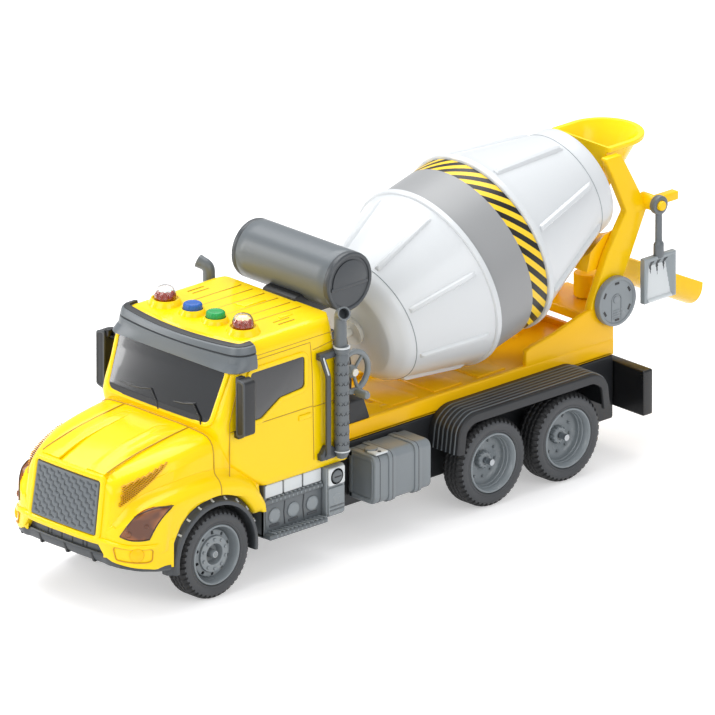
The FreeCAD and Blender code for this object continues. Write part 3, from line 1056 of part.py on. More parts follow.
def make_chute():
    """A half pipe that swivels on an upright pin."""
    start = ("last_x - pivot_back + 20", "0", "chute_top + 20 * tan(chute_slope * 1 deg)")
    pipe = slope(rod("chute_pipe", "chute_radius", "Z", ("0", "0"), ("0", "110")), start)
    bore = slope(rod("chute_bore", "chute_radius - chute_wall", "Z", ("0", "0"), ("0 - 5", "115")), start)
    lid = slope(box("chute_lid", ("0", "0 - 20"), ("0 - 20", "20"), ("0", "1")), start)
    bind(lid, Length="40", Width="40", Height="120")
    lid_at = ("last_x - pivot_back + 20 + 0.0", "0 - 20", "chute_top + 20 * tan(chute_slope * 1 deg)")
    for axis, text in zip("xyz", lid_at):
        lid.setExpression(f"Placement.Base.{axis}", bound(text))
    window = box("chute_span", ("0 - total_long / 2", "last_x - chute_start"), even("chute_radius + 2"), ("20", "120"))
    boss = rod("chute_boss", "boss_radius", "Z", ("last_x - pivot_back", "0"), ("boss_low", "boss_high"))
    channel = common("chute_channel", cut("chute_half", pipe, [lid]), window)
    hole = rod("chute_hole", "pivot_radius + bearing_gap", "Z", ("last_x - pivot_back", "0"), ("boss_low - 1", "boss_high - 2 + swing_gap"))
    rib = prism("chute_rib", "XZ", [
        ("last_x - pivot_back", "boss_low"), ("last_x - pivot_back", "boss_high"), ("last_x - chute_start - 12", "boss_low + 5"),
        ("last_x - chute_start - 6", "boss_low"),
    ], even("2"))
    node("chute", cut("chute_whole", fuse("chute_solid", [channel, boss, rib]), [bore, hole]))


def make_shovel():
    """A toy shovel that hangs by its ring on the side plate's peg."""
    x = "last_x - peg_back"
    y = ("ring_in", "ring_in + ring_thick")
    middle = "ring_in + ring_thick / 2"
    ring = rod("shovel_ring", "ring_outer", "Y", (x, "peg_high"), y)
    shaft = rod("shovel_shaft", "shaft_radius", "Z", (x, middle), ("shaft_end - 4", "peg_high - peg_radius - 1"))
    socket = rod("shovel_socket", "socket_radius", "Z", (x, middle), ("blade_top - 0.5", "shaft_end"))
    blade = box("blade", (f"{x} - blade_half", f"{x} + blade_half"), ("ring_in", "ring_in + blade_edge"), ("blade_low", "blade_top"))
    scoop = box("scoop", (f"{x} - blade_half + 1.3", f"{x} + blade_half - 1.3"), ("ring_in + blade_thick", "ring_in + blade_edge + 1"),
                ("blade_low + 1.3", "blade_top - 1.6"))
    eye = rod("shovel_eye", "peg_radius + bearing_gap", "Y", (x, "peg_high"), ("ring_in - 1", "ring_in + ring_thick + 1"))
    node("shovel", cut("shovel_whole", fuse("shovel_solid", [ring, shaft, socket, cut("blade_dished", blade, [scoop])]), [eye]))


make_rear_frame()
make_hopper()
make_chute()
make_shovel()


# ---------------------------------------------------------------- check and write
doc.recompute()
for obj in doc.Objects:
    if "Invalid" in obj.State or "Error" in obj.State:
        raise RuntimeError(f"{obj.Name} failed: {obj.State}")
for name, piece in NODES.items():
    if piece.Shape.isNull() or not piece.Shape.isValid():
        raise RuntimeError(f"{name} has no valid shape")
os.makedirs("parts", exist_ok=True)
for name, piece in NODES.items():
    piece.Shape.exportStep(f"parts/{name}.step")
    print(name, len(piece.Shape.Solids), round(piece.Shape.Volume, 1))
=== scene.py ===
# %% [markdown]
# # A toy cement mixer truck, one moulded piece at a time
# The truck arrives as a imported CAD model: its sizes, its places and its joints are settled. This
# lesson gives it its looks. Each step says what a piece is on the real toy, how it could be made
# in Blender, and why it is made the way it is here.

import math

import bmesh
import bpy
import numpy as np
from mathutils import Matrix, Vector


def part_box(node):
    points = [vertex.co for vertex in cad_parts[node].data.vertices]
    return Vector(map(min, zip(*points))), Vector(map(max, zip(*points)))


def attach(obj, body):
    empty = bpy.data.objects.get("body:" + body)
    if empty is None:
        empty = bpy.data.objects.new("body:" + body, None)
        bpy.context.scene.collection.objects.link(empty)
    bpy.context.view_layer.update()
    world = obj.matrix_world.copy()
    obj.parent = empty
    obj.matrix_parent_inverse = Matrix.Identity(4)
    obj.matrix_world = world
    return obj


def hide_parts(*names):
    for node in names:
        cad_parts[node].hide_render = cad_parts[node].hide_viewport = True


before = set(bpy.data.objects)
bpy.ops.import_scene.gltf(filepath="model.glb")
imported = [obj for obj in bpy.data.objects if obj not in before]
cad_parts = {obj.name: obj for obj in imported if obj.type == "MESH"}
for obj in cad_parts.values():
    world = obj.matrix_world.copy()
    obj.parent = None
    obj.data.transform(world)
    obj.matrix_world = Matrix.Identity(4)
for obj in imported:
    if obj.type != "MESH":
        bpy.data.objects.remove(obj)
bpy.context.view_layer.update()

# %% [markdown]
# ## Working sizes
# The CAD nodes say where things are. Reading a few of them once, in millimetres, gives names to
# the places that many pieces share: the three axles, the drum's line and the cab's planes.

# %% Name the places that pieces share
MM = 0.001


def node_box(name):
    """A CAD node's lowest and highest corners, in millimetres, as two numpy rows."""
    return np.array([list(corner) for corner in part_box(name)]) / MM


FRONT_X, DRIVE_X, LAST_X = (node_box(n).mean(0)[0] for n in ("front_axle", "drive_axle",
    "last_axle"))
AXLE_Z = node_box("front_axle").mean(0)[2]
TAIL_X = node_box("tail_board")[1][0]
DRUM_TILT = math.radians(15.5)
DRUM_AXIS = np.array([-math.cos(DRUM_TILT), 0.0, math.sin(DRUM_TILT)])
DRUM_AT = np.array([DRIVE_X - 0.8, 0.0, 101.1])
print("axles at", round(FRONT_X, 2), round(DRIVE_X, 2), round(LAST_X, 2), "height",
      round(AXLE_Z, 2))

# %% [markdown]
# ## From arrays to meshes
# Moulded parts are mostly a few families of surface: a profile turned round a line, an outline
# given thickness, a section carried along a path. Modelling them by hand would hide the sizes in
# the vertices, so each family is one formula over a grid of two parameters, worked out at once
# for the whole array. A form is a pair: its points, and its faces as lists of point numbers.

# %% A grid of points becomes faces
def grid_form(points, wrap_u=False, wrap_v=False, caps=False):
    """points[u, v] joined by quads; wrap joins last to first; caps fill the u ends."""
    rows, columns = points.shape[:2]
    u = np.arange(rows if wrap_u else rows - 1)[:, None]
    v = np.arange(columns if wrap_v else columns - 1)[None, :]
    next_u, next_v = (u + 1) % rows, (v + 1) % columns
    corners = [u * columns + v, next_u * columns + v, next_u * columns + next_v,
               u * columns + next_v]
    faces = np.stack(corners, -1).reshape(-1, 4).tolist()
    if caps:
        faces.append(list(range(columns)))
        faces.append([(rows - 1) * columns + k for k in range(columns)])
    return points.reshape(-1, 3), faces


def joined(*forms):
    """Several forms as one: points follow each other and the later faces count on."""
    points, faces, start = [], [], 0
    for some_points, some_faces in forms:
        points.append(some_points)
        faces += [[corner + start for corner in face] for face in some_faces]
        start += len(some_points)
    return np.concatenate(points), faces


def other_side(form):
    """The same form on the truck's right: every y turns to -y."""
    return form[0] * (1, -1, 1), form[1]


def both(form):
    """A form and its twin on the other side."""
    return joined(form, other_side(form))


# %% Profiles turned round a line
def basis(axis):
    """Two unit vectors square to an axis, and the axis itself."""
    axis = np.asarray(axis, float)
    axis = axis / np.linalg.norm(axis)
    helper = np.array([0.0, 1.0, 0.0]) if abs(axis[1]) < 0.9 else np.array([1.0, 0.0, 0.0])
    first = np.cross(axis, helper)
    first /= np.linalg.norm(first)
    return first, np.cross(axis, first), axis


def turned(profile, centre, axis, steps=64, loop=False, swell=None, start=0.0):
    """Point(u, v) = centre + axis * along(u) + radius(u) * (a cos v + b sin v).
    swell(radius, along, angle) may return changed radius and along, for ribs, teeth and holes."""
    first, second, line = basis(axis)
    radius, along = np.array(profile, float).T[:, :, None]
    angle = start + np.linspace(0, 2 * math.pi, steps, endpoint=False)[None, :]
    if swell:
        radius, along = swell(radius, along, angle)
    ring = np.cos(angle)[..., None] * first + np.sin(angle)[..., None] * second
    points = np.asarray(centre, float) + (radius + 0 * angle)[..., None] * ring + (along + 0 *
        angle)[..., None] * line
    return grid_form(points, wrap_u=loop, wrap_v=True)


def fine(profile, step):
    """The same profile with extra points, so that no stretch is longer than step."""
    profile = np.array(profile, float)
    out = [profile[:1]]
    for a, b in zip(profile[:-1], profile[1:]):
        count = max(1, int(math.ceil(np.linalg.norm(b - a) / step)))
        out.append(a + (b - a) * np.linspace(0, 1, count + 1)[1:, None])
    return np.concatenate(out)


# %% Outlines given thickness, with rounded edges
def rounded(corners, radius, steps=5):
    """A polygon with each corner changed for an arc; radius is one number or one a corner."""
    corners = np.array(corners, float)
    radii = np.broadcast_to(np.asarray(radius, float), len(corners))
    out = []
    for before, here, after, r in zip(np.roll(corners, 1, 0), corners, np.roll(corners, -1, 0),
                                      radii):
        to_before, to_after = before - here, after - here
        room = 0.45 * min(np.linalg.norm(to_before), np.linalg.norm(to_after))
        to_before = to_before / np.linalg.norm(to_before)
        to_after = to_after / np.linalg.norm(to_after)
        half = math.acos(np.clip(to_before @ to_after, -1, 1)) / 2
        if r <= 0 or half > 1.55:
            out.append(here)
            continue
        reach = min(r / math.tan(half), room)
        t = np.linspace(0, 1, steps)[:, None]
        out.extend(here + to_before * reach * (1 - t) ** 2 + to_after * reach * t ** 2)
    return np.array(out)


def inset(outline, distance):
    """Each point moved along the mitre of its two edges, towards the inside by distance."""
    edge = np.roll(outline, -1, 0) - outline
    edge /= np.maximum(np.linalg.norm(edge, axis=1, keepdims=True), 1e-9)
    area = 0.5 * np.sum(outline[:, 0] * np.roll(outline[:, 1], -1) - outline[:, 1] *
                        np.roll(outline[:, 0], -1))
    normal = np.stack([-edge[:, 1], edge[:, 0]], 1) * np.sign(area)
    mitre = normal + np.roll(normal, 1, 0)
    mitre /= np.maximum((mitre ** 2).sum(1, keepdims=True) / 2, 0.35)
    return outline + mitre * distance


def on_plane(flat, depth, plane):
    """Flat points (p, q) at a depth: XZ lies at y = depth, XY at z = depth and YZ at x = depth."""
    p, q = flat[..., 0], flat[..., 1]
    d = np.broadcast_to(depth, p.shape)
    order = {"XZ": (p, d, q), "XY": (p, q, d), "YZ": (d, p, q)}[plane]
    return np.stack(order, -1)


def slab(outline, span, plane, edge=0.5, steps=3):
    """An outline between two depths; the section's ends follow a quarter circle of radius edge."""
    outline = np.array(outline, float)
    low, high = span
    turn = np.linspace(0, math.pi / 2, steps + 1)
    inward = edge * (1 - np.sin(turn))
    depth = low + edge * (1 - np.cos(turn))
    rings = [on_plane(inset(outline, i), d, plane) for i, d in zip(inward, depth)]
    rings += [on_plane(inset(outline, i), low + high - d, plane) for i,
              d in zip(inward[::-1], depth[::-1])]
    return grid_form(np.array(rings), wrap_v=True, caps=True)


def frame_slab(outer, inner, span, plane, edge=0.4, steps=2):
    """A flat ring between two outlines with as many points: its section is a rounded rectangle."""
    outer, inner = np.array(outer, float), np.array(inner, float)
    low, high = span
    turn = np.linspace(0, math.pi / 2, steps + 1)
    inward, depth = edge * (1 - np.sin(turn)), edge * (1 - np.cos(turn))
    side = [(i, low + d) for i, d in zip(inward, depth)] + [(i, high - d) for i,
        d in zip(inward[::-1], depth[::-1])]
    rings = [on_plane(inset(outer, i), d, plane) for i, d in side]
    rings += [on_plane(inset(inner, -i), d, plane) for i, d in side[::-1]]
    return grid_form(np.array(rings), wrap_u=True, wrap_v=True)


def block(low, high, edge=0.6, steps=3):
    """A box with rounded edges: a sphere's points are pushed out to the nearest inner corners."""
    low, high = np.minimum(low, high).astype(float), np.maximum(low, high).astype(float)
    edge = min(edge, 0.499 * (high - low).min())
    quarter = np.linspace(0, math.pi / 2, steps + 1)
    round_angle = np.concatenate([quarter + k * math.pi / 2 for k in range(4)])
    sign_x = np.repeat([1, -1, -1, 1], steps + 1)
    sign_y = np.repeat([1, 1, -1, -1], steps + 1)
    rise = np.concatenate([quarter - math.pi / 2, quarter])
    sign_z = np.repeat([-1, 1], steps + 1)
    middle, half = (low + high) / 2, (high - low) / 2 - edge
    points = np.empty((len(rise), len(round_angle), 3))
    level = edge * np.cos(rise)[:, None]
    points[..., 0] = middle[0] + sign_x * half[0] + level * np.cos(round_angle)
    points[..., 1] = middle[1] + sign_y * half[1] + level * np.sin(round_angle)
    points[..., 2] = (middle[2] + sign_z * half[2] + edge * np.sin(rise))[:, None]
    return grid_form(points, wrap_v=True, caps=True)


# %% Sections carried along a path
def carried(path, section, loop=False, up=(0, 0, 1), scale=None, caps=True):
    """Point(u, v) = path(u) + section_p(v) * side(u) + section_q(v) * rise(u), square to it."""
    path, section = np.array(path, float), np.array(section, float)
    if loop:
        along = np.roll(path, -1, 0) - np.roll(path, 1, 0)
    else:
        along = np.gradient(path, axis=0)
    along /= np.linalg.norm(along, axis=1, keepdims=True)
    side = np.cross(along, np.array(up, float))
    side /= np.linalg.norm(side, axis=1, keepdims=True)
    rise = np.cross(side, along)
    size = np.ones(len(path)) if scale is None else np.asarray(scale, float)
    points = path[:, None, :] + size[:, None, None] * (
        section[None, :, :1] * side[:, None, :] + section[None, :, 1:] * rise[:, None, :])
    return grid_form(points, wrap_u=loop, wrap_v=True, caps=caps and not loop)


def circle(radius, steps=16, flat=1.0):
    """A closed round section; flat below 1 squeezes it."""
    angle = np.linspace(0, 2 * math.pi, steps, endpoint=False)
    return np.stack([radius * np.cos(angle), radius * flat * np.sin(angle)], 1)


def bent(corners, radius, steps=6):
    """An open path of straight runs with its inner corners rounded."""
    corners = np.array(corners, float)
    out = [corners[0]]
    for before, here, after in zip(corners[:-2], corners[1:-1], corners[2:]):
        a, b = before - here, after - here
        reach = min(radius, 0.45 * np.linalg.norm(a), 0.45 * np.linalg.norm(b))
        t = np.linspace(0, 1, steps)[:, None]
        out.extend(here + a / np.linalg.norm(a) * reach * (1 - t) ** 2 + b / np.linalg.norm(b) *
                   reach * t ** 2)
    out.append(corners[-1])
    return np.array(out)


# %% Put forms into one mesh that rides on a body
MADE = {}
MERGE_WITHIN, SLIVER = 1e-6, 1e-7


def piece(name, parts, body, nodes, sharp=34):
    """parts is a list of (form, finish) or (form, finishes, face numbers into them)."""
    mesh = bpy.data.meshes.new(name)
    points, faces = joined(*[part[0] for part in parts])
    mesh.from_pydata((points * MM).tolist(), [], faces)
    finishes = list(dict.fromkeys(f for part in parts for f in np.atleast_1d(part[1]).tolist()))
    chosen = []
    for part in parts:
        if len(part) == 3:
            chosen.append(np.array([finishes.index(f) for f in part[1]])[part[2]])
        else:
            chosen.append(np.full(len(part[0][1]), finishes.index(part[1])))
    mesh.polygons.foreach_set("material_index", np.concatenate(chosen).astype(np.int32))
    for finish in finishes:
        mesh.materials.append(FINISHES[finish])
    shape = bmesh.new()
    shape.from_mesh(mesh)
    bmesh.ops.remove_doubles(shape, verts=shape.verts, dist=MERGE_WITHIN)
    bmesh.ops.dissolve_degenerate(shape, edges=shape.edges, dist=SLIVER)
    bmesh.ops.recalc_face_normals(shape, faces=shape.faces)
    shape.to_mesh(mesh)
    shape.free()
    mesh.shade_smooth()
    mesh.set_sharp_from_angle(angle=math.radians(sharp))
    thing = bpy.data.objects.new(name, mesh)
    bpy.context.scene.collection.objects.link(thing)
    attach(thing, body)
    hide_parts(*nodes)
    MADE[name] = len(mesh.polygons)
    print(f"{name}: {len(mesh.polygons)} faces on {body}")
    return thing


def left_and_right(name, parts, node, right_parts=None):
    """Two pieces of the truck: the left one, and its mirror image on the right."""
    piece(f"{name}_l", parts, "truck", [f"{node}_left"])
    mirrored = [(other_side(form), finish) for form, finish in right_parts or parts]
    piece(f"{name}_r", mirrored, "truck", [f"{node}_right"])


def rectangle(p0, q0, p1, q1):
    """The four corners of a flat rectangle, from (p0, q0) round to (p0, q1)."""
    return [(p0, q0), (p1, q0), (p1, q1), (p0, q1)]


# %% [markdown]
# ## Finishes
# Nearly every piece is moulded plastic: one colour, but never quite even. The melt leaves faint
# clouds, the mould's texture breaks the gloss, and handling dulls it in patches. These effects are
# the same on all of them, so they are built once as a node group with named inputs, and each
# finish places that group with its own colour and strengths. The group gives back a colour, a
# roughness and a height; the shader itself stays in the material.

# %% A group for the moulded skin
def linear(colour):
    """A colour written 0 to 255 as screens show it, changed to the linear values shaders use."""
    c = np.array(colour, float) / 255
    return (*np.where(c <= 0.04045, c / 12.92, ((c + 0.055) / 1.055) ** 2.4), 1.0)


def new_group(name, inputs, outputs):
    """An empty shader group with its sockets; inputs give a type and a default value."""
    group = bpy.data.node_groups.new(name, "ShaderNodeTree")
    for label, (kind, default) in inputs.items():
        group.interface.new_socket(label, in_out="INPUT", socket_type=kind).default_value = default
    for label, kind in outputs.items():
        group.interface.new_socket(label, in_out="OUTPUT", socket_type=kind)
    return group, group.nodes.new("NodeGroupInput"), group.nodes.new("NodeGroupOutput")


def add(tree, kind, values=None, **settings):
    """A node with its settings, and values on input sockets, by name or by number."""
    node = tree.nodes.new(kind)
    for key, value in settings.items():
        setattr(node, key, value)
    for key, value in (values or {}).items():
        node.inputs[key].default_value = value
    return node


def link(tree, *pairs):
    """Join (node, output) to (node, input), given one after the other."""
    for source, output, target, entry in pairs:
        tree.links.new(source.outputs[output], target.inputs[entry])


FLOAT, COLOUR = "NodeSocketFloat", "NodeSocketColor"


def moulded_skin():
    """Clouded colour, patchy gloss and a fine mould grain, all from the piece's own coordinates."""
    group, entry, out = new_group(
        "moulded_skin",
        {"Colour": (COLOUR, (1, 1, 1, 1)), "Clouding": (FLOAT, 0.04), "Roughness": (FLOAT, 0.3),
         "Patches": (FLOAT, 0.03), "Grain size": (FLOAT, 1500.0)},
        {"Colour": COLOUR, "Roughness": FLOAT, "Height": FLOAT})
    place = add(group, "ShaderNodeTexCoord")
    clouds = add(group, "ShaderNodeTexNoise", {"Scale": 34.0, "Detail": 4.0, "Roughness": 0.55})
    patches = add(group, "ShaderNodeTexNoise", {"Scale": 95.0, "Detail": 3.0})
    grain = add(group, "ShaderNodeTexNoise", {"Detail": 2.0})
    centred = add(group, "ShaderNodeMath", {1: 0.5}, operation="SUBTRACT")
    strength = add(group, "ShaderNodeMath", operation="MULTIPLY")
    brighter = add(group, "ShaderNodeMath", {1: 1.0}, operation="ADD")
    shade = add(group, "ShaderNodeVectorMath", operation="SCALE")
    patch_centred = add(group, "ShaderNodeMath", {1: 0.5}, operation="SUBTRACT")
    patch_strength = add(group, "ShaderNodeMath", operation="MULTIPLY")
    gloss = add(group, "ShaderNodeMath", operation="ADD")
    gloss.use_clamp = True
    link(group, (place, "Object", clouds, "Vector"), (place, "Object", patches, "Vector"),
         (place, "Object", grain, "Vector"), (entry, "Grain size", grain, "Scale"),
         (clouds, 0, centred, 0), (centred, 0, strength, 0), (entry, "Clouding", strength, 1),
         (strength, 0, brighter, 0), (entry, "Colour", shade, 0), (brighter, 0, shade, "Scale"),
         (patches, 0, patch_centred, 0), (patch_centred, 0, patch_strength, 0),
         (entry, "Patches", patch_strength, 1), (patch_strength, 0, gloss, 0),
         (entry, "Roughness", gloss, 1),
         (shade, 0, out, "Colour"), (gloss, 0, out, "Roughness"), (grain, 0, out, "Height"))
    return group


SKIN = moulded_skin()
print("group", SKIN.name, "has", len(SKIN.nodes), "nodes")

# %% A group that paints shade into the hollows of a moulding
def hollow_shade():
    """A mask from ambient occlusion, 1 in the open, towards 0 in narrow corners, for painted shade.
    """
    group, entry, out = new_group("hollow_shade",
                                  {"Distance": (FLOAT, 0.006), "Depth": (FLOAT, 0.5)},
                                  {"Open": FLOAT})
    seen = add(group, "ShaderNodeAmbientOcclusion", samples=6)
    keep = add(group, "ShaderNodeMapRange", {"From Min": 0.25, "From Max": 0.95, "To Max": 1.0})
    floor = add(group, "ShaderNodeMath", {0: 1.0}, operation="SUBTRACT")
    link(group, (entry, "Distance", seen, "Distance"), (seen, "AO", keep, "Value"),
         (entry, "Depth", floor, 1), (floor, 0, keep, "To Min"), (keep, 0, out, "Open"))
    return group


PAINTED_HOLLOW_SHADE = hollow_shade()

# %% Plastic finishes
FINISHES = {}
GRAIN_DEEP = 0.0004


def new_material(name):
    """A material with an empty tree but for its shader and output."""
    material = bpy.data.materials.new(name)
    material.use_nodes = True
    tree = material.node_tree
    tree.nodes.clear()
    shader, output = add(tree, "ShaderNodeBsdfPrincipled"), add(tree, "ShaderNodeOutputMaterial")
    link(tree, (shader, 0, output, "Surface"))
    FINISHES[name] = material
    return material, tree, shader


def plastic(name, colour, roughness=0.3, grain=0.03, grain_size=1500.0, clouding=0.02, hollow=0.35,
            **values):
    """A moulded finish: the skin group gives colour, gloss and grain, and hollow sets how much
    shade the occlusion mask paints into the colour; values go on the shader.
    """
    material, tree, shader = new_material(name)
    skin = add(tree, "ShaderNodeGroup", {
        "Colour": linear(colour), "Clouding": clouding, "Roughness": roughness,
        "Grain size": grain_size},
        node_tree=SKIN)
    bump = add(tree, "ShaderNodeBump", {"Strength": grain, "Distance": GRAIN_DEEP})
    for key, value in values.items():
        shader.inputs[key.replace("_", " ")].default_value = value
    # Ambient occlusion darkens the base colour in narrow corners: painted shade, left out where
    # hollow is 0.
    unoccluded_share = add(tree, "ShaderNodeGroup", {"Depth": hollow}, node_tree=PAINTED_HOLLOW_SHADE)
    shade_painted_colour = add(tree, "ShaderNodeVectorMath", operation="SCALE")
    if hollow > 0:
        link(tree, (skin, "Colour", shade_painted_colour, 0), (unoccluded_share, "Open", shade_painted_colour, "Scale"),
             (shade_painted_colour, 0, shader, "Base Color"))
    else:
        link(tree, (skin, "Colour", shader, "Base Color"))
    link(tree,
         (skin, "Roughness", shader, "Roughness"),
         (skin, "Height", bump, "Height"), (bump, "Normal", shader, "Normal"))
    return material


plastic("yellow_gloss", (255, 216, 4), 0.2, 0.004, clouding=0.012, hollow=0.0, Coat_Weight=0.1,
        Specular_IOR_Level=0.28)
# A deeper, more orange copy of the cab's yellow: painted shade, for parts that sit under the drum
# and in the nose's pockets.
plastic("yellow_bed", (255, 196, 6), 0.26, 0.008, clouding=0.015, hollow=0.0,
        Specular_IOR_Level=0.3)
plastic("yellow_frame", (255, 206, 6), 0.24, 0.006, clouding=0.012, hollow=0.0,
        Specular_IOR_Level=0.28)
# A darker yellow for slots, vent openings and pocket rims: painted shade in recesses.
plastic("yellow_deep", (214, 150, 8), 0.4, 0.02)
plastic("yellow_line", (188, 146, 12), 0.45, 0.02, hollow=0.0)
# Pale glowing finishes for the beacon stars, warm and cool: painted glints and reflections.
plastic("spark_warm", (255, 226, 150), 0.12, 0.01, hollow=0.0, Emission_Strength=0.35)
plastic("spark_cool", (214, 240, 244), 0.12, 0.01, hollow=0.0, Emission_Strength=0.35)
plastic("lamp_deep", (158, 42, 14), 0.2, 0.02, hollow=0.0)
plastic("grey_trim", (100, 106, 110), 0.33, 0.05)
plastic("grey_dark", (66, 70, 74), 0.36, 0.06)
plastic("grey_black", (34, 36, 39), 0.42, 0.06)
plastic("grey_pale", (150, 158, 162), 0.3, 0.04)
plastic("grey_bright", (214, 219, 221), 0.22, 0.02)
plastic("drum_grey", (214, 217, 219), 0.3, 0.004, clouding=0.01, hollow=0.0, Coat_Weight=0.2)
plastic("tank_grey", (128, 135, 139), 0.24, 0.01, clouding=0.02, hollow=0.2)
plastic("black_trim", (22, 23, 25), 0.28, 0.03)
plastic("rim_grey", (136, 143, 147), 0.27, 0.03)
# A dark grey for holes, recesses and flutes: painted shade.
plastic("rim_shade", (52, 56, 60), 0.45, 0.03)
plastic("window_dark", (38, 40, 43), 0.16, 0.004, clouding=0.02, Coat_Weight=0.6)
plastic("nylon_white", (226, 224, 214), 0.42, 0.05)
plastic("cell_wrap", (40, 92, 60), 0.3, 0.02)
plastic("board_green", (18, 84, 48), 0.34, 0.05)
plastic("speaker_black", (26, 27, 29), 0.6, 0.2, 2600.0)
plastic("button_green", (22, 158, 78), 0.25, 0.02)
plastic("button_blue", (28, 92, 178), 0.25, 0.02)
plastic("tyre_rubber", (66, 68, 71), 0.5, 0.14, 1900.0, 0.1)
plastic("tread_rubber", (24, 25, 27), 0.62, 0.2, 1900.0, 0.1)
print(len(FINISHES), "moulded finishes")

# %% Steel, clear plastic and the tinted lens
plastic("steel", (176, 180, 184), 0.24, 0.04, 2600.0, 0.04, 0.2, Metallic=1.0)


CLEAR_IOR = 1.46


def clear_plastic(name, colour, roughness, transmission):
    """See-through plastic: the skin group only breaks its gloss, so what is behind stays sharp."""
    material, tree, shader = new_material(name)
    skin = add(tree, "ShaderNodeGroup", {
        "Colour": linear(colour), "Roughness": roughness, "Patches": 0.02}, node_tree=SKIN)
    shader.inputs["Transmission Weight"].default_value = transmission
    shader.inputs["IOR"].default_value = CLEAR_IOR
    link(tree, (skin, "Colour", shader, "Base Color"), (skin, "Roughness", shader, "Roughness"))
    return material


clear_plastic("dome_clear", (252, 250, 248), 0.06, 1.0)


def amber_lens():
    """The lamp's lens: two browns swirled by warped noise, under a hard clear coat."""
    material, tree, shader = new_material("lens_amber")
    place = add(tree, "ShaderNodeTexCoord")
    swirl = add(tree, "ShaderNodeTexNoise", {"Scale": 90.0, "Detail": 2.0, "Distortion": 0.6})
    ramp = add(tree, "ShaderNodeValToRGB")
    ramp.color_ramp.elements[0].position, ramp.color_ramp.elements[0].color = 0.36, linear((92, 44,
        12))
    ramp.color_ramp.elements[1].position, ramp.color_ramp.elements[1].color = 0.66, linear((204,
        126, 48))
    middle = ramp.color_ramp.elements.new(0.52)
    middle.color = linear((152, 84, 24))
    bump = add(tree, "ShaderNodeBump", {"Strength": 0.12, "Distance": GRAIN_DEEP})
    shader.inputs["Roughness"].default_value = 0.12
    shader.inputs["Coat Weight"].default_value = 0.35
    shader.inputs["Coat Roughness"].default_value = 0.04
    link(tree, (place, "Object", swirl, "Vector"), (swirl, 0, ramp, 0),
         (ramp, 0, shader, "Base Color"),
         (swirl, 0, bump, "Height"), (bump, 0, shader, "Normal"))
    return material


amber_lens()

# %% [markdown]
# ## Tyres
# A toy truck's tyre is soft rubber: a smooth, slightly bulging side wall, a shoulder with small
# notches all round, and three zigzag grooves in the tread. A texture would leave the outline
# round, so the grooves are cut in the surface: the profile is turned round the axle, and a second
# function of the angle lowers the radius where a groove runs.

# %% Turn the tyres
TYRE_OUT, TYRE_IN, TYRE_R = 44.6, 30.8, 21.45
NOTCHES = 44
GROOVES, GROOVE_HALF, GROOVE_DEEP, NOTCH_DEEP = (-2.6, 0.0, 2.6), 0.42, 0.95, 0.9
WALL_ROWS = 9


def tread(radius, along, angle):
    """Radius less a groove's depth: rings that zigzag with the angle, notches at the shoulders."""
    turn = (angle * NOTCHES / (2 * math.pi)) % 1.0
    from_middle = along - (TYRE_OUT + TYRE_IN) / 2
    zigzag = 0.35 * (np.abs(turn - 0.5) * 4 - 1)
    near_tread = np.clip((radius - 20.2) / 0.8, 0, 1)
    ring = sum(np.exp(-((from_middle + zigzag - centre) / GROOVE_HALF) ** 4) for centre in GROOVES)
    notch = np.clip((0.2 - np.abs(turn - 0.5)) / 0.05, 0,
                    1) * np.clip((np.abs(from_middle) - 4.3) / 0.4, 0, 1)
    depth = GROOVE_DEEP * near_tread * np.clip(ring, 0, 1)
    shoulder = NOTCH_DEEP * notch * np.clip((radius - 19.4) / 0.6, 0, 1)
    return radius - depth - shoulder, along + 0 * angle


TYRE_WALL = [
    (14.62, 44.0), (14.9, 44.35), (15.6, 44.5), (15.9, 44.3), (16.3, 44.35), (17.2, 44.6),
    (18.3, 44.6), (19.2, 44.4),
    (19.5, 44.15), (20.0, 43.9), (20.6, 43.4), (21.1, 42.8), (21.35, 42.2), (TYRE_R, 41.6)]


def tyre(at_x):
    """A closed profile: outer wall, tread, inner wall and the seat on the rim, turned round."""
    inner_wall = [(r, TYRE_OUT + TYRE_IN - y) for r, y in TYRE_WALL[::-1]]
    crown = fine([TYRE_WALL[-1], inner_wall[0]], 0.3)[1:-1]
    profile = np.concatenate([np.array(TYRE_WALL), crown, np.array(inner_wall)])
    form = turned(profile, (at_x, 0, AXLE_Z), (0, 1, 0), NOTCHES * 8, loop=True, swell=tread)
    rows = len(profile)
    # The tread's faces take the darker rubber.
    tread_rows = np.zeros(rows, int)
    tread_rows[WALL_ROWS:rows - WALL_ROWS] = 1
    return form, ("tyre_rubber", "tread_rubber"), np.repeat(tread_rows, NOTCHES * 8)


for axle, at_x in (("front", FRONT_X), ("drive", DRIVE_X), ("last", LAST_X)):
    left = tyre(at_x)
    piece(f"{axle}_tyre_l", [left], f"{axle}_wheels", [f"{axle}_tyre_left"], sharp=40)
    piece(f"{axle}_tyre_r", [(other_side(left[0]), *left[1:])], f"{axle}_wheels",
          [f"{axle}_tyre_right"], sharp=40)

# %% [markdown]
# ## Rims
# The front rims bulge outwards: a flange with ten hand holes, a ring of ten nuts and a hub cap.
# The rear rims are deep dishes with five large holes and a toothed hub. Both are turned profiles.
# The holes are round dips: the depth grows where a point is close to a hole's centre, so the rim
# stays one closed surface, and the faces down in the dips take a dark grey, painted shade for the
# open hole.

# %% Profiles with round dips
def dips(count, ring_radius, radius, depth, turned_by=0.0):
    """Depth at (radius, angle): full within the dip's radius of a centre, with a short slope."""
    def swell(r, along, angle):
        step = 2 * math.pi / count
        nearest = (angle - turned_by + step / 2) % step - step / 2
        distance = np.sqrt(r ** 2 + ring_radius ** 2 - 2 * r * ring_radius * np.cos(nearest))
        share = np.clip((radius + 0.12 - distance) / 0.24, 0, 1)
        return r + 0 * angle, along - depth * share * share * (3 - 2 * share)
    return swell


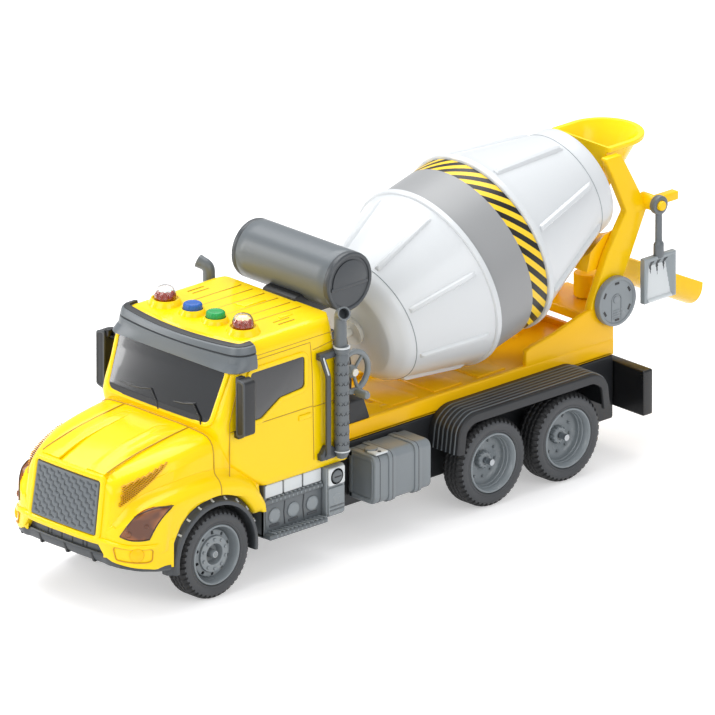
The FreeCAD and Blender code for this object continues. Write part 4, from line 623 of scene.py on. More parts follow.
def dipped(profile, zone, step, centre, count, ring_radius, radius, depth, steps, turned_by=0.0):
    """The turned profile with finer rows where zone (low radius, high radius) holds the dips."""
    profile = np.array(profile, float)
    rows = [profile[:1]]
    for a, b in zip(profile[:-1], profile[1:]):
        rows.append(fine([a, b], step if min(a[0], b[0]) > zone[0]
                         and max(a[0], b[0]) < zone[1] else 99)[1:])
    profile = np.concatenate(rows)
    swell = dips(count, ring_radius, radius, depth, turned_by)
    inside = (profile[:, 0] > zone[0]) & (profile[:, 0] < zone[1]) & (profile[:, 1] > centre[1] +
        zone[2])

    def only_zone(r, along, angle):
        changed_r, changed_along = swell(r, along, angle)
        keep = inside[:, None]
        return np.where(keep, changed_r, r + 0 * angle), np.where(keep, changed_along,
            along + 0 * angle)

    form = turned(profile, (centre[0], 0, centre[2]), (0, 1, 0), steps, swell=only_zone)
    r, along = profile[:-1, :1], profile[:-1, 1:]
    angle = np.linspace(0, 2 * math.pi, steps, endpoint=False)[None, :]
    sunk = along + 0 * angle - only_zone(profile[:, :1], profile[:, 1:], angle)[1][:-1]
    # Faces sunk past half the dip's depth take the dark grey: painted shade for the hole.
    return form, ("rim_grey", "rim_shade"), (sunk > depth * 0.55).astype(int).ravel()


FRONT_RIM = [
    (0, 33.4), (3.0, 33.4), (3.2, 36.5), (12.2, 36.5), (13.2, 33.3), (14.4, 33.3), (14.58, 33.6),
    (14.58, 43.8), (14.45, 44.2),
    (14.1, 44.5), (13.7, 44.5), (13.45, 44.2), (13.2, 43.0), (12.7, 41.3), (12.2, 40.0),
    (11.7, 39.4), (11.5, 39.6), (11.4, 40.4),
    (11.1, 40.8), (10.7, 40.95), (8.95, 41.35), (8.8, 41.5), (8.7, 42.2), (8.5, 42.5), (5.4, 42.8),
    (5.1, 42.7), (4.95, 42.4),
    (4.5, 39.9), (4.1, 39.3), (2.4, 39.1), (2.1, 39.4), (1.95, 42.7), (1.6, 43.3), (1.0, 43.5),
    (0, 43.55)]
REAR_RIM = [
    (0, 31.4), (3.0, 31.4), (3.2, 33.0), (12.2, 33.0), (13.2, 32.6), (14.4, 32.6), (14.58, 32.9),
    (14.58, 43.8), (14.45, 44.2),
    (14.1, 44.5), (13.7, 44.5), (13.4, 44.2), (13.1, 43.0), (12.75, 42.5), (12.65, 40.9),
    (12.35, 40.6), (12.2, 39.0), (11.9, 38.7),
    (11.75, 37.2), (11.4, 36.6), (10.6, 35.9), (9.6, 35.5), (4.4, 35.6), (4.1, 35.7)]


def nut(at, radius, height, sides=10):
    """A low domed nut on the rim's face, its top turned from three points."""
    profile = [(0, -0.6), (radius, -0.6), (radius, height * 0.6), (radius * 0.72, height),
               (0, height)]
    return turned(profile, at, (0, 1, 0), sides)


def ring_of(count, ring_radius, centre, start=0.0):
    """Points evenly round a circle in the wheel's plane, at the centre's y."""
    angle = start + np.arange(count) * 2 * math.pi / count
    x, z = centre[0] + ring_radius * np.cos(angle), centre[2] + ring_radius * np.sin(angle)
    return [(a, centre[1], b) for a, b in zip(x, z)]


def splined(r, along, angle):
    """The toothed hub cap: its side goes in and out twelve times a turn, its face stays flat."""
    wave = 0.28 * np.tanh(3 * np.sin(12 * angle))
    return np.where(r > 2.6, r + wave * (r > 3.2), r + 0 * angle), along + 0 * angle


def front_rim(at_x):
    """Flange, ten hand holes, ten nuts and the hub."""
    shell = dipped(FRONT_RIM, (8.9, 11.3, 39.0), 0.16, (at_x, 0, AXLE_Z), 10, 10.05, 0.72, 1.5, 240)
    nuts = [nut(p, 0.78, 0.75) for p in ring_of(10, 7.05, (at_x, 42.55, AXLE_Z), 0.31)]
    return [shell, (joined(*nuts), "rim_grey")]


def rear_rim(at_x):
    """Deep stepped dish, five large holes with a nut beside each, and the toothed hub."""
    shell = dipped(REAR_RIM + [(0, 35.75)], (4.2, 9.6, 35.0), 0.3, (at_x, 0, AXLE_Z), 5, 7.0, 1.75,
                   1.9, 200)
    hub = turned(fine([(0, 35.3), (4.0, 35.3), (4.0, 38.3), (3.5, 38.8), (2.2, 38.9), (2.0, 38.6),
                       (0, 38.6)], 9),
                 (at_x, 0, AXLE_Z), (0, 1, 0), 96, swell=splined)
    nuts = [nut(p, 0.62, 0.8) for p in ring_of(10, 8.85, (at_x, 35.7, AXLE_Z), 0.2)]
    return [shell, (joined(hub, *nuts), "rim_grey")]


def twins(parts):
    """Every part and its mirror image, with the same finishes."""
    return parts + [(other_side(part[0]), *part[1:]) for part in parts]


piece("front_rim_pair", twins(front_rim(FRONT_X)), "front_wheels", ["front_rims"])
piece("drive_rim_pair", twins(rear_rim(DRIVE_X)), "drive_wheels", ["drive_rims"])
piece("last_rim_pair", twins(rear_rim(LAST_X)), "last_wheels", ["last_rims"])

# %% [markdown]
# ## The cab and its nose
# The cab is one moulding with soft edges everywhere. Two lofts make it: the nose, whose sections
# across the truck follow the hood, the fender's crest and the wheel arch, and the cabin, whose
# sections at each height are rounded rectangles. Both are functions of two parameters, so one
# change of a knot moves a whole highlight, which is how such a part is really sculpted.

# %% Smooth curves through knots
def curve(x, knots_x, knots_y):
    """Cubic through the knots; each knot's slope is that of the line between its neighbours."""
    kx, ky = np.array(knots_x, float), np.array(knots_y, float)
    slope = np.gradient(ky, kx)
    x = np.clip(x, kx[0], kx[-1])
    at = np.clip(np.searchsorted(kx, x, side="right") - 1, 0, len(kx) - 2)
    span = kx[at + 1] - kx[at]
    t = (x - kx[at]) / span
    a, b = 2 * t ** 3 - 3 * t ** 2 + 1, t ** 3 - 2 * t ** 2 + t
    c, d = -2 * t ** 3 + 3 * t ** 2, t ** 3 - t ** 2
    return a * ky[at] + b * span * slope[at] + c * ky[at + 1] + d * span * slope[at + 1]


def eased(t):
    """0 to 1 with a level start and end."""
    t = np.clip(t, 0, 1)
    return t * t * (3 - 2 * t)


# %% The nose seen from above
F = FRONT_X
PLAN_Y = [0, 12, 21, 28.5, 34, 38, 41, 43.2, 44.1]
PLAN_X = [54.9, 54.7, 54.1, 52.8, 50.2, 46.3, 40.5, 33.0, 26.5]
NOSE_LEAN, NOSE_FOOT = 0.155, 36.0


def nose_point(y, z, out=0.0):
    """A place on the nose's skin: across y and up z, moved out along the plan's normal."""
    y, z = np.broadcast_arrays(np.asarray(y, float), np.asarray(z, float))
    side = np.abs(y)
    x = curve(side, PLAN_Y, PLAN_X)
    slope = (curve(side + 0.05, PLAN_Y, PLAN_X) - curve(side - 0.05, PLAN_Y, PLAN_X)) / 0.1
    length = np.sqrt(1 + slope ** 2)
    normal_x, normal_y = 1 / length, -slope / length * np.sign(y)
    lean = NOSE_LEAN * np.maximum(z - NOSE_FOOT, 0) * normal_x ** 2
    return np.stack([F + x - lean + out * normal_x, y + out * normal_y, z], -1)


# %% Sections of hood, shoulder and fender
ARCH_R = 28.4
HOOD_BACK = -31.5
HOOD_TOP = [-32, -5, 15, 35, 50, 55], [78.6, 77.6, 75.2, 71.6, 67.2, 64.8]
HOOD_SIDE = [-32, -4, 10, 25, 38, 49, 56], [39.0, 38.6, 38.2, 37.2, 34.6, 30.6, 27.0]
FENDER_CREST = ([-32, -27, -20, -8, 5, 20, 32, 41, 47, 51, 55],
                [40.0, 47.5, 52.6, 56.6, 57.8, 57.2, 55.8, 53.4, 49.4, 44.0, 38.0])
FENDER_OUT = 44.0
WALL_COLUMN, ARCH_COLUMN = 13, 25


def hood_section(x):
    """Half a section at each x, y and z arrays: panel, crease, shoulder, side, fender, arch."""
    top, side, crest = curve(x, *HOOD_TOP), curve(x, *HOOD_SIDE), curve(x, *FENDER_CREST)
    outer = FENDER_OUT + 0 * x
    arch = np.sqrt(np.maximum(ARCH_R ** 2 - x ** 2, 0)) + AXLE_Z
    bottom = np.where(x > 0, np.maximum(arch, 29.0), np.maximum(arch, 34.5))
    raised = eased((48 - x) / 14) * eased((x + 2) / 8)
    gap = outer - side
    rows = [
        (0 * x, top + 0.9 * raised), (9 + 0 * x, top + 0.9 * raised),
        (12.5 + 0 * x, top + 0.8 * raised),
        (14.5 + 0 * x, top + 0.1), (18 + 0 * x, top - 0.05), (20.9 + 0 * x, top - 0.15),
        (21.5 + 0 * x, top - 0.55),
        (22.2 + 0 * x, top - 0.2), (side - 7, top - 0.9), (side - 4.4, top - 1.7),
        (side - 2.4, top - 3.0),
        (side - 1.0, top - 5.0), (side - 0.3, top - 7.6), (side, (top + crest) / 2 + 0.6),
        (side + 0.2, crest + 3.8),
        (side + 0.1 * gap, crest + 1.9), (side + 0.28 * gap, crest + 0.8),
        (side + 0.52 * gap, crest - 0.1),
        (side + 0.74 * gap, crest - 1.2), (side + 0.9 * gap, crest - 2.9),
        (outer - 0.1, crest - 5.0), (outer, crest - 7.4)]
    low = np.minimum(crest - 8.4, bottom + 2.4)
    rows += [(outer - 0.3, low), (outer - 1.4, bottom + 0.5), (outer - 2.6, bottom),
             (32 + 0 * x, bottom), (0 * x, bottom)]
    y = np.stack([r[0] for r in rows], -1)
    z = np.stack([np.maximum(r[1], bottom) for r in rows], -1)
    return y, z


def nose_loft(pick, middle):
    """Sections from the cabin to the nose: pick gives (y, z) columns at each x.
    Each column's x is shared out between the cabin and the plan's reach at its y, and rings
    close the face."""
    share = np.concatenate([np.linspace(0, 0.94, 46), np.linspace(0.955, 1.0, 6)])
    columns = len(pick(np.zeros(1))[0][0])
    x = HOOD_BACK + share[:, None] * (PLAN_X[0] - HOOD_BACK) + np.zeros((1, columns))
    for _ in range(6):
        y = np.stack([pick(x[:, k])[0][:, k] for k in range(columns)], -1)
        reach = curve(np.minimum(y, PLAN_Y[-1]), PLAN_Y, PLAN_X)
        x = HOOD_BACK + share[:, None] * (reach - HOOD_BACK)
    z = np.stack([pick(x[:, k])[1][:, k] for k in range(columns)], -1)
    skin = nose_point(y, z)
    body = np.stack([F + HOOD_BACK + share[:, None] * (skin[..., 0] - F - HOOD_BACK), y, z], -1)
    rings = []
    for w in np.concatenate([[0.985, 0.96], np.linspace(0.92, 0.0, 12)]):
        ring_y, ring_z = middle[0] + (y[-1] - middle[0]) * w, middle[1] + (z[-1] - middle[1]) * w
        rings.append(nose_point(ring_y, ring_z, 0.9 * eased((1 - w) / 0.06)))
    return np.concatenate([body, np.array(rings)])


def hood_columns(x):
    """The hood alone: down its side wall to the level of the bumper's foot."""
    y, z = hood_section(x)
    side, low = y[:, WALL_COLUMN], np.where(x > 24, 35.8, 44.0)
    halfway = z[:, WALL_COLUMN] * 0.5 + low * 0.5
    y = np.concatenate([y[:, :WALL_COLUMN + 1], np.stack([side, side, side - 1.0, 0 * side], -1)],
                       -1)
    z = np.concatenate([z[:, :WALL_COLUMN + 1], np.stack([halfway, low + 0.8, low, low], -1)], -1)
    return y, z


def fender_columns(x):
    """The fender alone: from inside the hood's wall, over the crest and down to the arch."""
    y, z = hood_section(x)
    inner = y[:, WALL_COLUMN] - 3.0
    outside = slice(WALL_COLUMN + 1, ARCH_COLUMN + 1)
    y = np.concatenate([np.stack([inner, inner], -1), y[:, outside]], -1)
    z = np.concatenate([np.stack([z[:, ARCH_COLUMN], z[:, 15] + 1.0], -1), z[:, outside]], -1)
    return y, z


def nose_form():
    """The hood with its mirror image, and a fender on each side."""
    half = nose_loft(hood_columns, (0.0, 48.0))
    whole = np.concatenate([half, (half[:, ::-1] * (1, -1, 1))[:, 1:-1]], 1)
    hood, hood_faces = grid_form(whole, wrap_v=True)
    hood_faces.append(list(range(whole.shape[1])))
    fender_grid = nose_loft(fender_columns, (37.5, 38.0))
    fender, fender_faces = grid_form(fender_grid, wrap_v=True)
    fender_faces.append(list(range(fender_grid.shape[1])))
    return joined((hood, hood_faces), both((fender, fender_faces)))


nose = nose_form()
print("nose:", len(nose[0]), "points, x from", round(nose[0][:, 0].min() - F, 1), "to",
      round(nose[0][:, 0].max() - F, 1))

# %% The cabin, one rounded rectangle at each height
CABIN_Z = [45.7, 46.3, 52, 60, 70, 78.5, 84, 92, 100, 106, 110.5, 113.5, 115.4, 116.6, 117.2]
CABIN_FRONT = [-31, -30.6, -22, -12, -7.0, -4.9, -6.2, -9.3, -12.5, -14.6, -14.4, -14.4, -14.7,
               -15.8, -18.6]
CABIN_BACK = [-87, -87, -86.2, -85, -83.4, -82.2, -81.3, -80.2, -79.0, -78.1, -77.5, -77.3, -77.6,
              -78.4, -79.8]
CABIN_HALF = [40.6, 41, 41, 41, 41, 41, 41, 40.9, 40.8, 40.6, 40.2, 39.5, 38.3, 36.8, 34.8]


BROW_BACK = 4.2
ROOF_TOP = 117.2


def bowed(points, half):
    """The brow over the screen is bowed in plan: its ends lie further back than its middle."""
    x, y, z = points.T
    share = np.abs(y) / half
    back = BROW_BACK * np.clip(share, 0, 1.05) ** 2 * eased((x - F + 28) / 10)
    back = back * eased((z - 104.4) / 5.5)
    sag = (1 - np.clip(share, 0, 1) ** 2) * eased((z - 112) / 4) * eased((x - F + 30) / 14)
    return np.column_stack([x - back, y, z - sag])


def cabin_form():
    """Loops up the cabin, then loops that shrink to the middle of the slightly crowned roof."""
    rings = []
    fine_z = np.concatenate([np.linspace(45.7, 110.5, 34), np.linspace(111.2, ROOF_TOP, 12)])
    for z in fine_z:
        front, back = (np.interp(z, CABIN_Z, k) for k in (CABIN_FRONT, CABIN_BACK))
        half = curve(np.array([z]), CABIN_Z, CABIN_HALF)[0]
        corner = rectangle(F + back, -half, F + front, half)
        loop = rounded(corner, (3.0, 6.5, 6.5, 3.0), 9)
        k = int(np.argmax(np.abs(np.diff(loop[:, 1])) * (loop[:-1, 0] > F - 60)))
        loop = np.concatenate([loop[:k], np.linspace(loop[k], loop[k + 1], 30), loop[k + 2:]])
        rings.append(bowed(np.column_stack([loop, np.full(len(loop), z)]), half))
    last = rings[-1]
    middle = np.array([last[:, 0].mean(), 0, ROOF_TOP])
    for w in np.concatenate([[0.97, 0.93], np.linspace(0.85, 0, 8)]):
        ring = middle + (last - middle) * (w, w, 1)
        ring[:, 2] = ROOF_TOP + 0.45 * (1 - w ** 2)
        rings.append(ring)
    points, faces = grid_form(np.array(rings), wrap_v=True)
    faces.append(list(range(len(rings[0]))))
    return points, faces


cabin = cabin_form()
print("cabin:", len(cabin[0]), "points")


# %% The bumper follows the plan, and opens in the middle for the grey insert
def bumper_form():
    """A section carried along the plan; its foot rises slanting from the corners inwards."""
    across = np.concatenate([np.linspace(-44.05, -40, 14), np.linspace(-39, 39, 313),
                             np.linspace(40, 44.05, 14)])
    foot = np.interp(np.abs(across), [23.4, 26.8, 30, 36, 41, 44],
                     [35.0, 30.0, 28.2, 26.4, 24.4, 22.6])
    top = 36.3 + 2.4 * eased((43.0 - np.abs(across)) / 18)
    rows = [(-3.0, foot, 0.0), (0.9, foot, 0.0), (1.3, foot, 0.35), (1.45, foot, 1.0),
            (1.45, top, -2.6), (2.0, top, -1.9),
            (2.05, top, -1.0), (1.7, top, -0.2), (0.9, top, 0.0), (-3.0, top, 0.0)]
    tuck = eased((44.05 - np.abs(across)) / 2.5)
    points = np.stack([nose_point(across, level + rise, out * tuck if out > 0 else out) for out,
                       level, rise in rows], 1)
    return grid_form(points, wrap_v=True, caps=True)


bumper = bumper_form()

# %% Fog lamps in their pockets
def outward(y):
    """The direction the nose's skin faces at a place across, level with the ground."""
    step = nose_point(y, 30.0, 1.0) - nose_point(y, 30.0, 0.0)
    return step / np.linalg.norm(step)


def stud(y, z, out, profile, steps=28):
    """A small turned part standing on the nose's skin."""
    return turned(profile, nose_point(y, z, out), outward(y), steps)


def skin_strip(path_yz, out, width=0.3, closed=False):
    """A fine round cord along the nose's skin through the given places, half sunk."""
    path = np.array(path_yz, float)
    if closed:
        path = np.concatenate([path, path[:1]])
    dense = fine(path, 1.0)
    if closed:
        dense = dense[:-1]
    points = nose_point(dense[:, 0], dense[:, 1], out)
    return carried(points, circle(width, 8), loop=closed, up=(0.3, 0.2, 1))


fog_lamps = [stud(y, 32.0, 1.6, [(0, -1), (3.4, -1), (3.4, 0.4), (3.0, 0.9), (2.7, 1.0), (1.4, 1.5),
                                 (0, 1.7)]) for y in (38.6, -38.6)]
# A cord round each fog lamp's pocket, in the darker yellow: painted shade along the recess.
pocket = rounded([(32.2, 29.6), (41.6, 27.6), (41.8, 34.2), (30.8, 35.9)], 1.4)
pockets = [skin_strip([(side * y, z) for y, z in pocket], 1.68, 0.28, closed=True)
           for side in (1, -1)]
print("bumper with", len(fog_lamps), "fog lamps")

# %% [markdown]
# ## Seams, frames and vents on the cab
# Doors, panels and hood lines are narrow grooves in the real moulding. They catch no light, so a
# fine cord in a deeper yellow, sunk into the skin, gives the same line for a few hundred faces
# where cutting the grooves would need the whole skin very fine. Frames stand proud as real rings.

# %% Cords on the cabin's flat side
def side_seam(path_xz, y=41.0, width=0.26, closed=False):
    """A cord along the cabin's left side through places (x behind the axle, z)."""
    path = np.array(path_xz, float)
    dense = fine(np.concatenate([path, path[:1]]) if closed else path, 2.0)
    dense = dense[:-1] if closed else dense
    y = np.interp(dense[:, 1], CABIN_Z, CABIN_HALF) if y is None else np.full(len(dense), y)
    points = np.column_stack([F + dense[:, 0], y - 0.05, dense[:, 1]])
    return carried(points, circle(width, 8), loop=closed, up=(0, 1, 0))


DOOR = [(-11.2, 56.0), (-11.2, 82.0), (-14.8, 93.0), (-19.8, 108.6), (-62.5, 108.6), (-63.4, 95),
        (-64.4, 50.5)]
seams = [
    both(side_seam(DOOR, None)),
    both(side_seam([(-11.2, 77.4), (-64.0, 77.4)], None)),
    both(side_seam([(-64.0, 76.8), (-82.0, 76.8)], None)),
    both(side_seam([(-64.0, 104.6), (-77.5, 106.2)], None)),
    both(side_seam([(-20.5, 110.4), (-77.2, 110.4)], None, 0.2)),
]
print(len(seams), "pairs of seams on the cabin's sides")


# %% Seams over the hood
def hood_cord(x, column, lift=0.0, width=0.26):
    """A cord along one column of the hood's sections, on both sides."""
    y, z = hood_section(np.asarray(x, float))
    points = np.column_stack([F + x, y[:, column], z[:, column] + lift])
    return both(carried(points, circle(width, 8), up=(0, 0, 1)))


def across_hood(x, lift=0.0, width=0.26, until=21):
    """A cord across the hood at one place along, from fender to fender."""
    y, z = hood_section(np.full(1, float(x)))
    half = np.column_stack([np.full(until, F + x), y[0, :until], z[0, :until] + lift])
    whole = np.concatenate([(half * (1, -1, 1))[::-1], half[1:]])
    return carried(whole, circle(width, 8), up=(1, 0, 0))


hood_lines = [hood_cord(np.linspace(-4, 47.6, 40), 6, 0.12, 0.3), across_hood(-3.4, 0.0, 0.3, 22)]

# %% Raised bumps and the cowl
def hood_blister(x0, x1, y0, y1, rise):
    """A long soft bump on the hood: the skin's own height plus a level-edged rise."""
    s, t = np.linspace(0, 1, 25)[:, None], np.linspace(0, 1, 15)[None, :]
    x = x0 + (x1 - x0) * s + 0 * t
    y = y0 + (y1 - y0) * (t + 0.0 * s)
    section_y, section_z = hood_section(x[:, 0])
    base = np.stack([np.interp(y[k], section_y[k, :13], section_z[k, :13]) for k in range(len(x))])
    edge = eased((s + 0 * t) / 0.35) * eased((1 - s + 0 * t) / 0.42) * eased((t + 0 * s) /
        0.34) * eased((1 - t + 0 * s) / 0.2)
    top = base - 0.3 + (rise + 0.3) * edge
    upper = np.stack([F + x, y, top], -1)
    lower = np.stack([F + x, y, base - 1.4], -1)
    return closed_sheet(upper, lower)


def closed_sheet(upper, lower):
    """Two grids with the same edges become one closed skin: over the top, and back underneath."""
    loop = np.concatenate([upper, lower[:, ::-1]], 1)
    points, faces = grid_form(loop, wrap_v=True)
    rows, columns = loop.shape[:2]
    half = upper.shape[1]
    for row in (0, rows - 1):
        start = row * columns
        for k in range(half - 1):
            faces.append([start + k, start + k + 1, start + columns - 2 - k,
                          start + columns - 1 - k])
    return points, faces


blister = both(hood_blister(-2.5, 49.0, 9.5, 21.0, 1.3))

def sheet_marks(chosen, faces):
    """Finish numbers for a closed sheet's faces: chosen on its upper side, 0 elsewhere."""
    rows, columns = chosen.shape
    marks = np.zeros(faces, int)
    marks[:rows * 2 * (columns + 1)].reshape(rows, -1)[:, :columns] = chosen
    return marks


# %% The side vents: rows of small dark diamonds inside a triangle, painted shade for the openings
def vent_holes():
    """Diamonds on a slanted lattice; those outside the triangle are left out."""
    tip, low, high = np.array([20.0, 71.5]), np.array([48.6, 53.2]), np.array([46.6, 63.4])
    u, v = np.meshgrid(np.arange(-4, 32), np.arange(-2, 20))
    centre = np.stack([24 + 0.86 * u.ravel(), 54 + 1.12 * v.ravel() + 0.56 * (u.ravel() % 2)], 1)
    sign = []
    for a, b in ((tip, low), (low, high), (high, tip)):
        sign.append((b[0] - a[0]) * (centre[:, 1] - a[1]) - (b[1] - a[1]) * (centre[:, 0] - a[0]))
    inside = np.all(np.array(sign) > 0.4, 0) | np.all(np.array(sign) < -0.4, 0)
    forms = []
    for x, z in centre[inside]:
        y, height = hood_section(np.array([x]))
        on_skin = np.interp(-z, -height[0, 8:16], y[0, 8:16])
        ring = np.array([[0.56, 0], [0, 0.36], [-0.56, 0], [0, -0.36]])
        outer = np.column_stack([F + x + ring[:, 0], np.full(4, on_skin + 0.16), z + ring[:, 1]])
        inner = outer - (0, 1.0, 0)
        forms.append(grid_form(np.stack([outer, inner]), wrap_v=True, caps=True))
    return joined(*forms)


vents = both(vent_holes())
print("vents:", len(vents[1]) // 6, "openings")

# %% Collars on the roof, roof panels and the door handle
ROOF_X, ROOF_Z = F - 33.8, 117.45
BEACON_Y, BUTTON_Y = 26.1, 7.7
collars = []
for y in (BEACON_Y, -BEACON_Y):
    collars.append(turned([(0, -3), (8.6, -3), (8.3, -0.3), (7.3, 1.4), (6.9, 2.5), (6.5, 2.9),
                           (6.0, 2.7), (5.8, 1.9), (0, 1.6)],
                          (ROOF_X, y, ROOF_Z), (0, 0, 1), 48))
for y in (BUTTON_Y, -BUTTON_Y):
    collars.append(turned([(0, -3), (7.0, -3), (6.8, -0.2), (5.9, 1.5), (5.6, 2.3), (5.2, 2.6),
                           (4.8, 2.4), (4.7, -2.5), (0, -2.6)],
                          (ROOF_X, y, ROOF_Z), (0, 0, 1), 48))


def roof_strip(y, x0=-43, x1=-76, width=0.24):
    """A seam along the roof, a little above its crown."""
    x = np.linspace(x0, x1, 14)
    return carried(np.column_stack([F + x, np.full(14, y), np.full(14, 117.46)]), circle(width, 8))


roof_lines = [roof_strip(y) for y in (-20, -12.5, -4.5, 4.5, 12.5, 20)]
roof_lines += [roof_strip(y, -52, -62, 0.2) for y in (-27, -30.5, 27, 30.5)]
roof_pads = [block((F - 70, -3.4, 117.0), (F - 56, 3.4, 118.1), 0.5),
             block((F - 66, 22.5, 116.8), (F - 58, 25.5, 117.9), 0.4)]
handle = both(block((F - 62.4, 40.6, 72.2), (F - 54.6, 41.9, 74.8), 0.6))

# %% The window frames stand proud of the skin
SIDE_WINDOW = [(-24.6, 103.2), (-58.3, 103.3), (-58.3, 88.0), (-43.0, 86.8), (-31.0, 79.6),
               (-20.2, 79.6)]
pane_outline = rounded([(F + x, z) for x, z in SIDE_WINDOW], (1.6, 2.2, 2.2, 4.0, 3.0, 1.2), 6)
frame_outer = inset(pane_outline, -2.3)
window_rings = both(frame_slab(frame_outer, pane_outline, (40.2, 41.75), "XZ", 0.5, 3))


def on_screen(form, lift=0.0):
    """Lay a form drawn in the plane x = 0 on the sloping screen: x follows the cabin's front."""
    points, faces = form
    slope_x = np.interp(points[:, 2], CABIN_Z, CABIN_FRONT)
    moved = points.copy()
    moved[:, 0] = points[:, 0] + F + slope_x + lift
    return moved, faces


SCREEN = [(-33.6, 81.6), (33.6, 81.6), (35.6, 105.5), (-35.6, 105.5)]
screen_outline = rounded(SCREEN, (4.0, 4.0, 2.0, 2.0), 7)
screen_ring = on_screen(frame_slab(inset(screen_outline, -2.4), screen_outline, (-1.5, 1.1), "YZ",
                                   0.6, 3))


# %% [markdown]
# ## Grille, lamps and the air dam
# The grille is a flat grey plate moulded as rows of little woven bars. Its relief is a height
# above the nose's own skin, worked out for every point of a grid: a pillow for each bar, and
# deep slits between them. The lenses and the lower lip are drawn the same way, as places across
# and up the nose, so they follow its curve without any fitting.

# %% Weave the grille's relief
def on_nose(form):
    """Bend a form drawn flat (x is how far out, y across, z up) onto the nose's skin."""
    points, faces = form
    return nose_point(points[:, 1], points[:, 2], points[:, 0]), faces


GRILLE_LOW, GRILLE_HIGH = 38.9, 64.0
BAR_WIDE, BAR_HIGH = 4.9, 2.28


def grille_form():
    """Height = a pillow for each bar of a staggered lattice, level near the plate's edge."""
    z = np.linspace(GRILLE_LOW, GRILLE_HIGH, 131)[:, None]
    share = np.linspace(-1, 1, 201)[None, :]
    half = 21.2 - 0.6 * (z - GRILLE_LOW) / 25.1
    y = share * half
    row = (z - GRILLE_LOW) / BAR_HIGH
    shift = 0.5 * (np.floor(row) % 2)
    across = (y / BAR_WIDE + shift + 40.25) % 1.0 - 0.5
    up = row % 1.0 - 0.5 + 0 * y
    tilt = 0.16 * np.sin(2 * math.pi * across)
    pillow = 1 - np.clip((np.abs(across) / 0.48) ** 9 + (np.abs(up + tilt) / 0.5) ** 7, 0, 1)
    edge = np.minimum.reduce([z - GRILLE_LOW + 0 * y, GRILLE_HIGH - z + 0 * y, half - np.abs(y)])
    inner = eased((edge - 1.0) / 0.5)
    height = inner * (0.75 * pillow - 0.1) + (1 - inner) * 0.75 * eased(edge / 0.35)
    y = np.broadcast_to(y, height.shape)
    z = np.broadcast_to(z, height.shape)
    upper, lower = nose_point(y, z, 1.1 + height), nose_point(y, z, -2.0)
    points, faces = closed_sheet(upper, lower)
    # Faces down in the slits take near black: painted shade between the bars.
    deep = (inner > 0.9) & (pillow < 0.2) & (np.abs(across) > 0.34)
    marks = sheet_marks(deep[:-1, :-1] & deep[1:, 1:], len(faces))
    return (points, faces), ("grey_trim", "grey_black"), marks


piece("grille_plate", [grille_form()], "truck", ["grille"], sharp=60)
grille_edge = rounded([(-21.4, 38.6), (21.4, 38.6), (20.8, 64.4), (-20.8, 64.4)], 1.6, 6)


def dense_loop(outline, step=1.2):
    """A closed outline with points at least every step, so that it can follow a curve."""
    return fine(np.concatenate([outline, outline[:1]]), step)[:-1]


grille_edge = dense_loop(grille_edge)
surround_flat = frame_slab(inset(grille_edge, -2.6), grille_edge, (-1.0, 2.0), "YZ", 0.8, 3)
surround = on_nose(surround_flat)

# %% One cab from all of these
piece("cab_body", [
    (nose, "yellow_gloss"), (cabin, "yellow_gloss"), (bumper, "yellow_gloss"),
    (joined(*fog_lamps), "yellow_bed"),
    (blister, "yellow_gloss"), (joined(*collars), "yellow_gloss"),
    (joined(*roof_pads), "yellow_gloss"),
    (handle, "yellow_gloss"), (window_rings, "yellow_gloss"), (screen_ring, "yellow_gloss"),
    (surround, "yellow_gloss"),
    (joined(*seams, *hood_lines, *roof_lines), "yellow_line"), (joined(*pockets), "yellow_deep"),
    (vents, "yellow_deep"),
], "truck", ["cab_shell"], sharp=40)

# %% The amber lenses
def patch(low, high, rows=26, columns=34, thick=0.8, sink=1.6):
    """A pillow between two curves on the nose: places share(low, high), raised in the middle."""
    low, high = np.array(low, float), np.array(high, float)
    u = np.linspace(0, 1, columns)
    ends = np.linspace(0, 1, len(low)), np.linspace(0, 1, len(high))
    low = np.stack([curve(u, ends[0], low[:, k]) for k in (0, 1)], -1)
    high = np.stack([curve(u, ends[1], high[:, k]) for k in (0, 1)], -1)
    v = np.linspace(0, 1, rows)[:, None, None]
    places = low[None] * (1 - v) + high[None] * v
    edge = np.minimum(np.minimum(u, 1 - u)[None] * 2.2, np.minimum(v[..., 0], 1 - v[..., 0]) * 1.4)
    rise = thick * np.sqrt(1 - (1 - np.clip(edge / 0.22, 0, 1)) ** 2)
    upper = nose_point(places[..., 0], places[..., 1], 0.7 + rise)
    lower = nose_point(places[..., 0], places[..., 1], -sink)
    return closed_sheet(upper, lower)


LENS_LOW = [(33.2, 40.6), (36.4, 39.2), (39.4, 38.6), (41.2, 38.7)]
LENS_HIGH = [(33.2, 40.9), (38.0, 50.2), (41.9, 53.6), (43.95, 53.0)]
lens = patch(LENS_LOW, LENS_HIGH, thick=0.7)
lamp_bulbs = [stud(36.2, 42.2, 1.1, [(0, 0), (1.6, 0), (1.5, 0.5), (0.9, 0.9), (0, 1.0)], 20),
              stud(40.6, 45.4, 1.1, [(0, 0), (1.2, 0), (1.1, 0.5), (0.6, 0.8), (0, 0.9)], 20)]
lens_round = np.concatenate([np.column_stack([curve(np.linspace(0, 1, 20), np.linspace(0, 1, 4),
    np.array(side)[:, k]) for k in (0, 1)])[::step]
                             for side, step in ((LENS_LOW, 1), (LENS_HIGH, -1))])
lens_edge = skin_strip(lens_round, 0.95, 0.26, closed=True)
piece("headlight_pair", [(both(lens_edge), "grey_black"), (both(lens), "lens_amber"),
                         (both(joined(*lamp_bulbs)), "lens_amber")],
      "truck", ["headlights"], sharp=50)

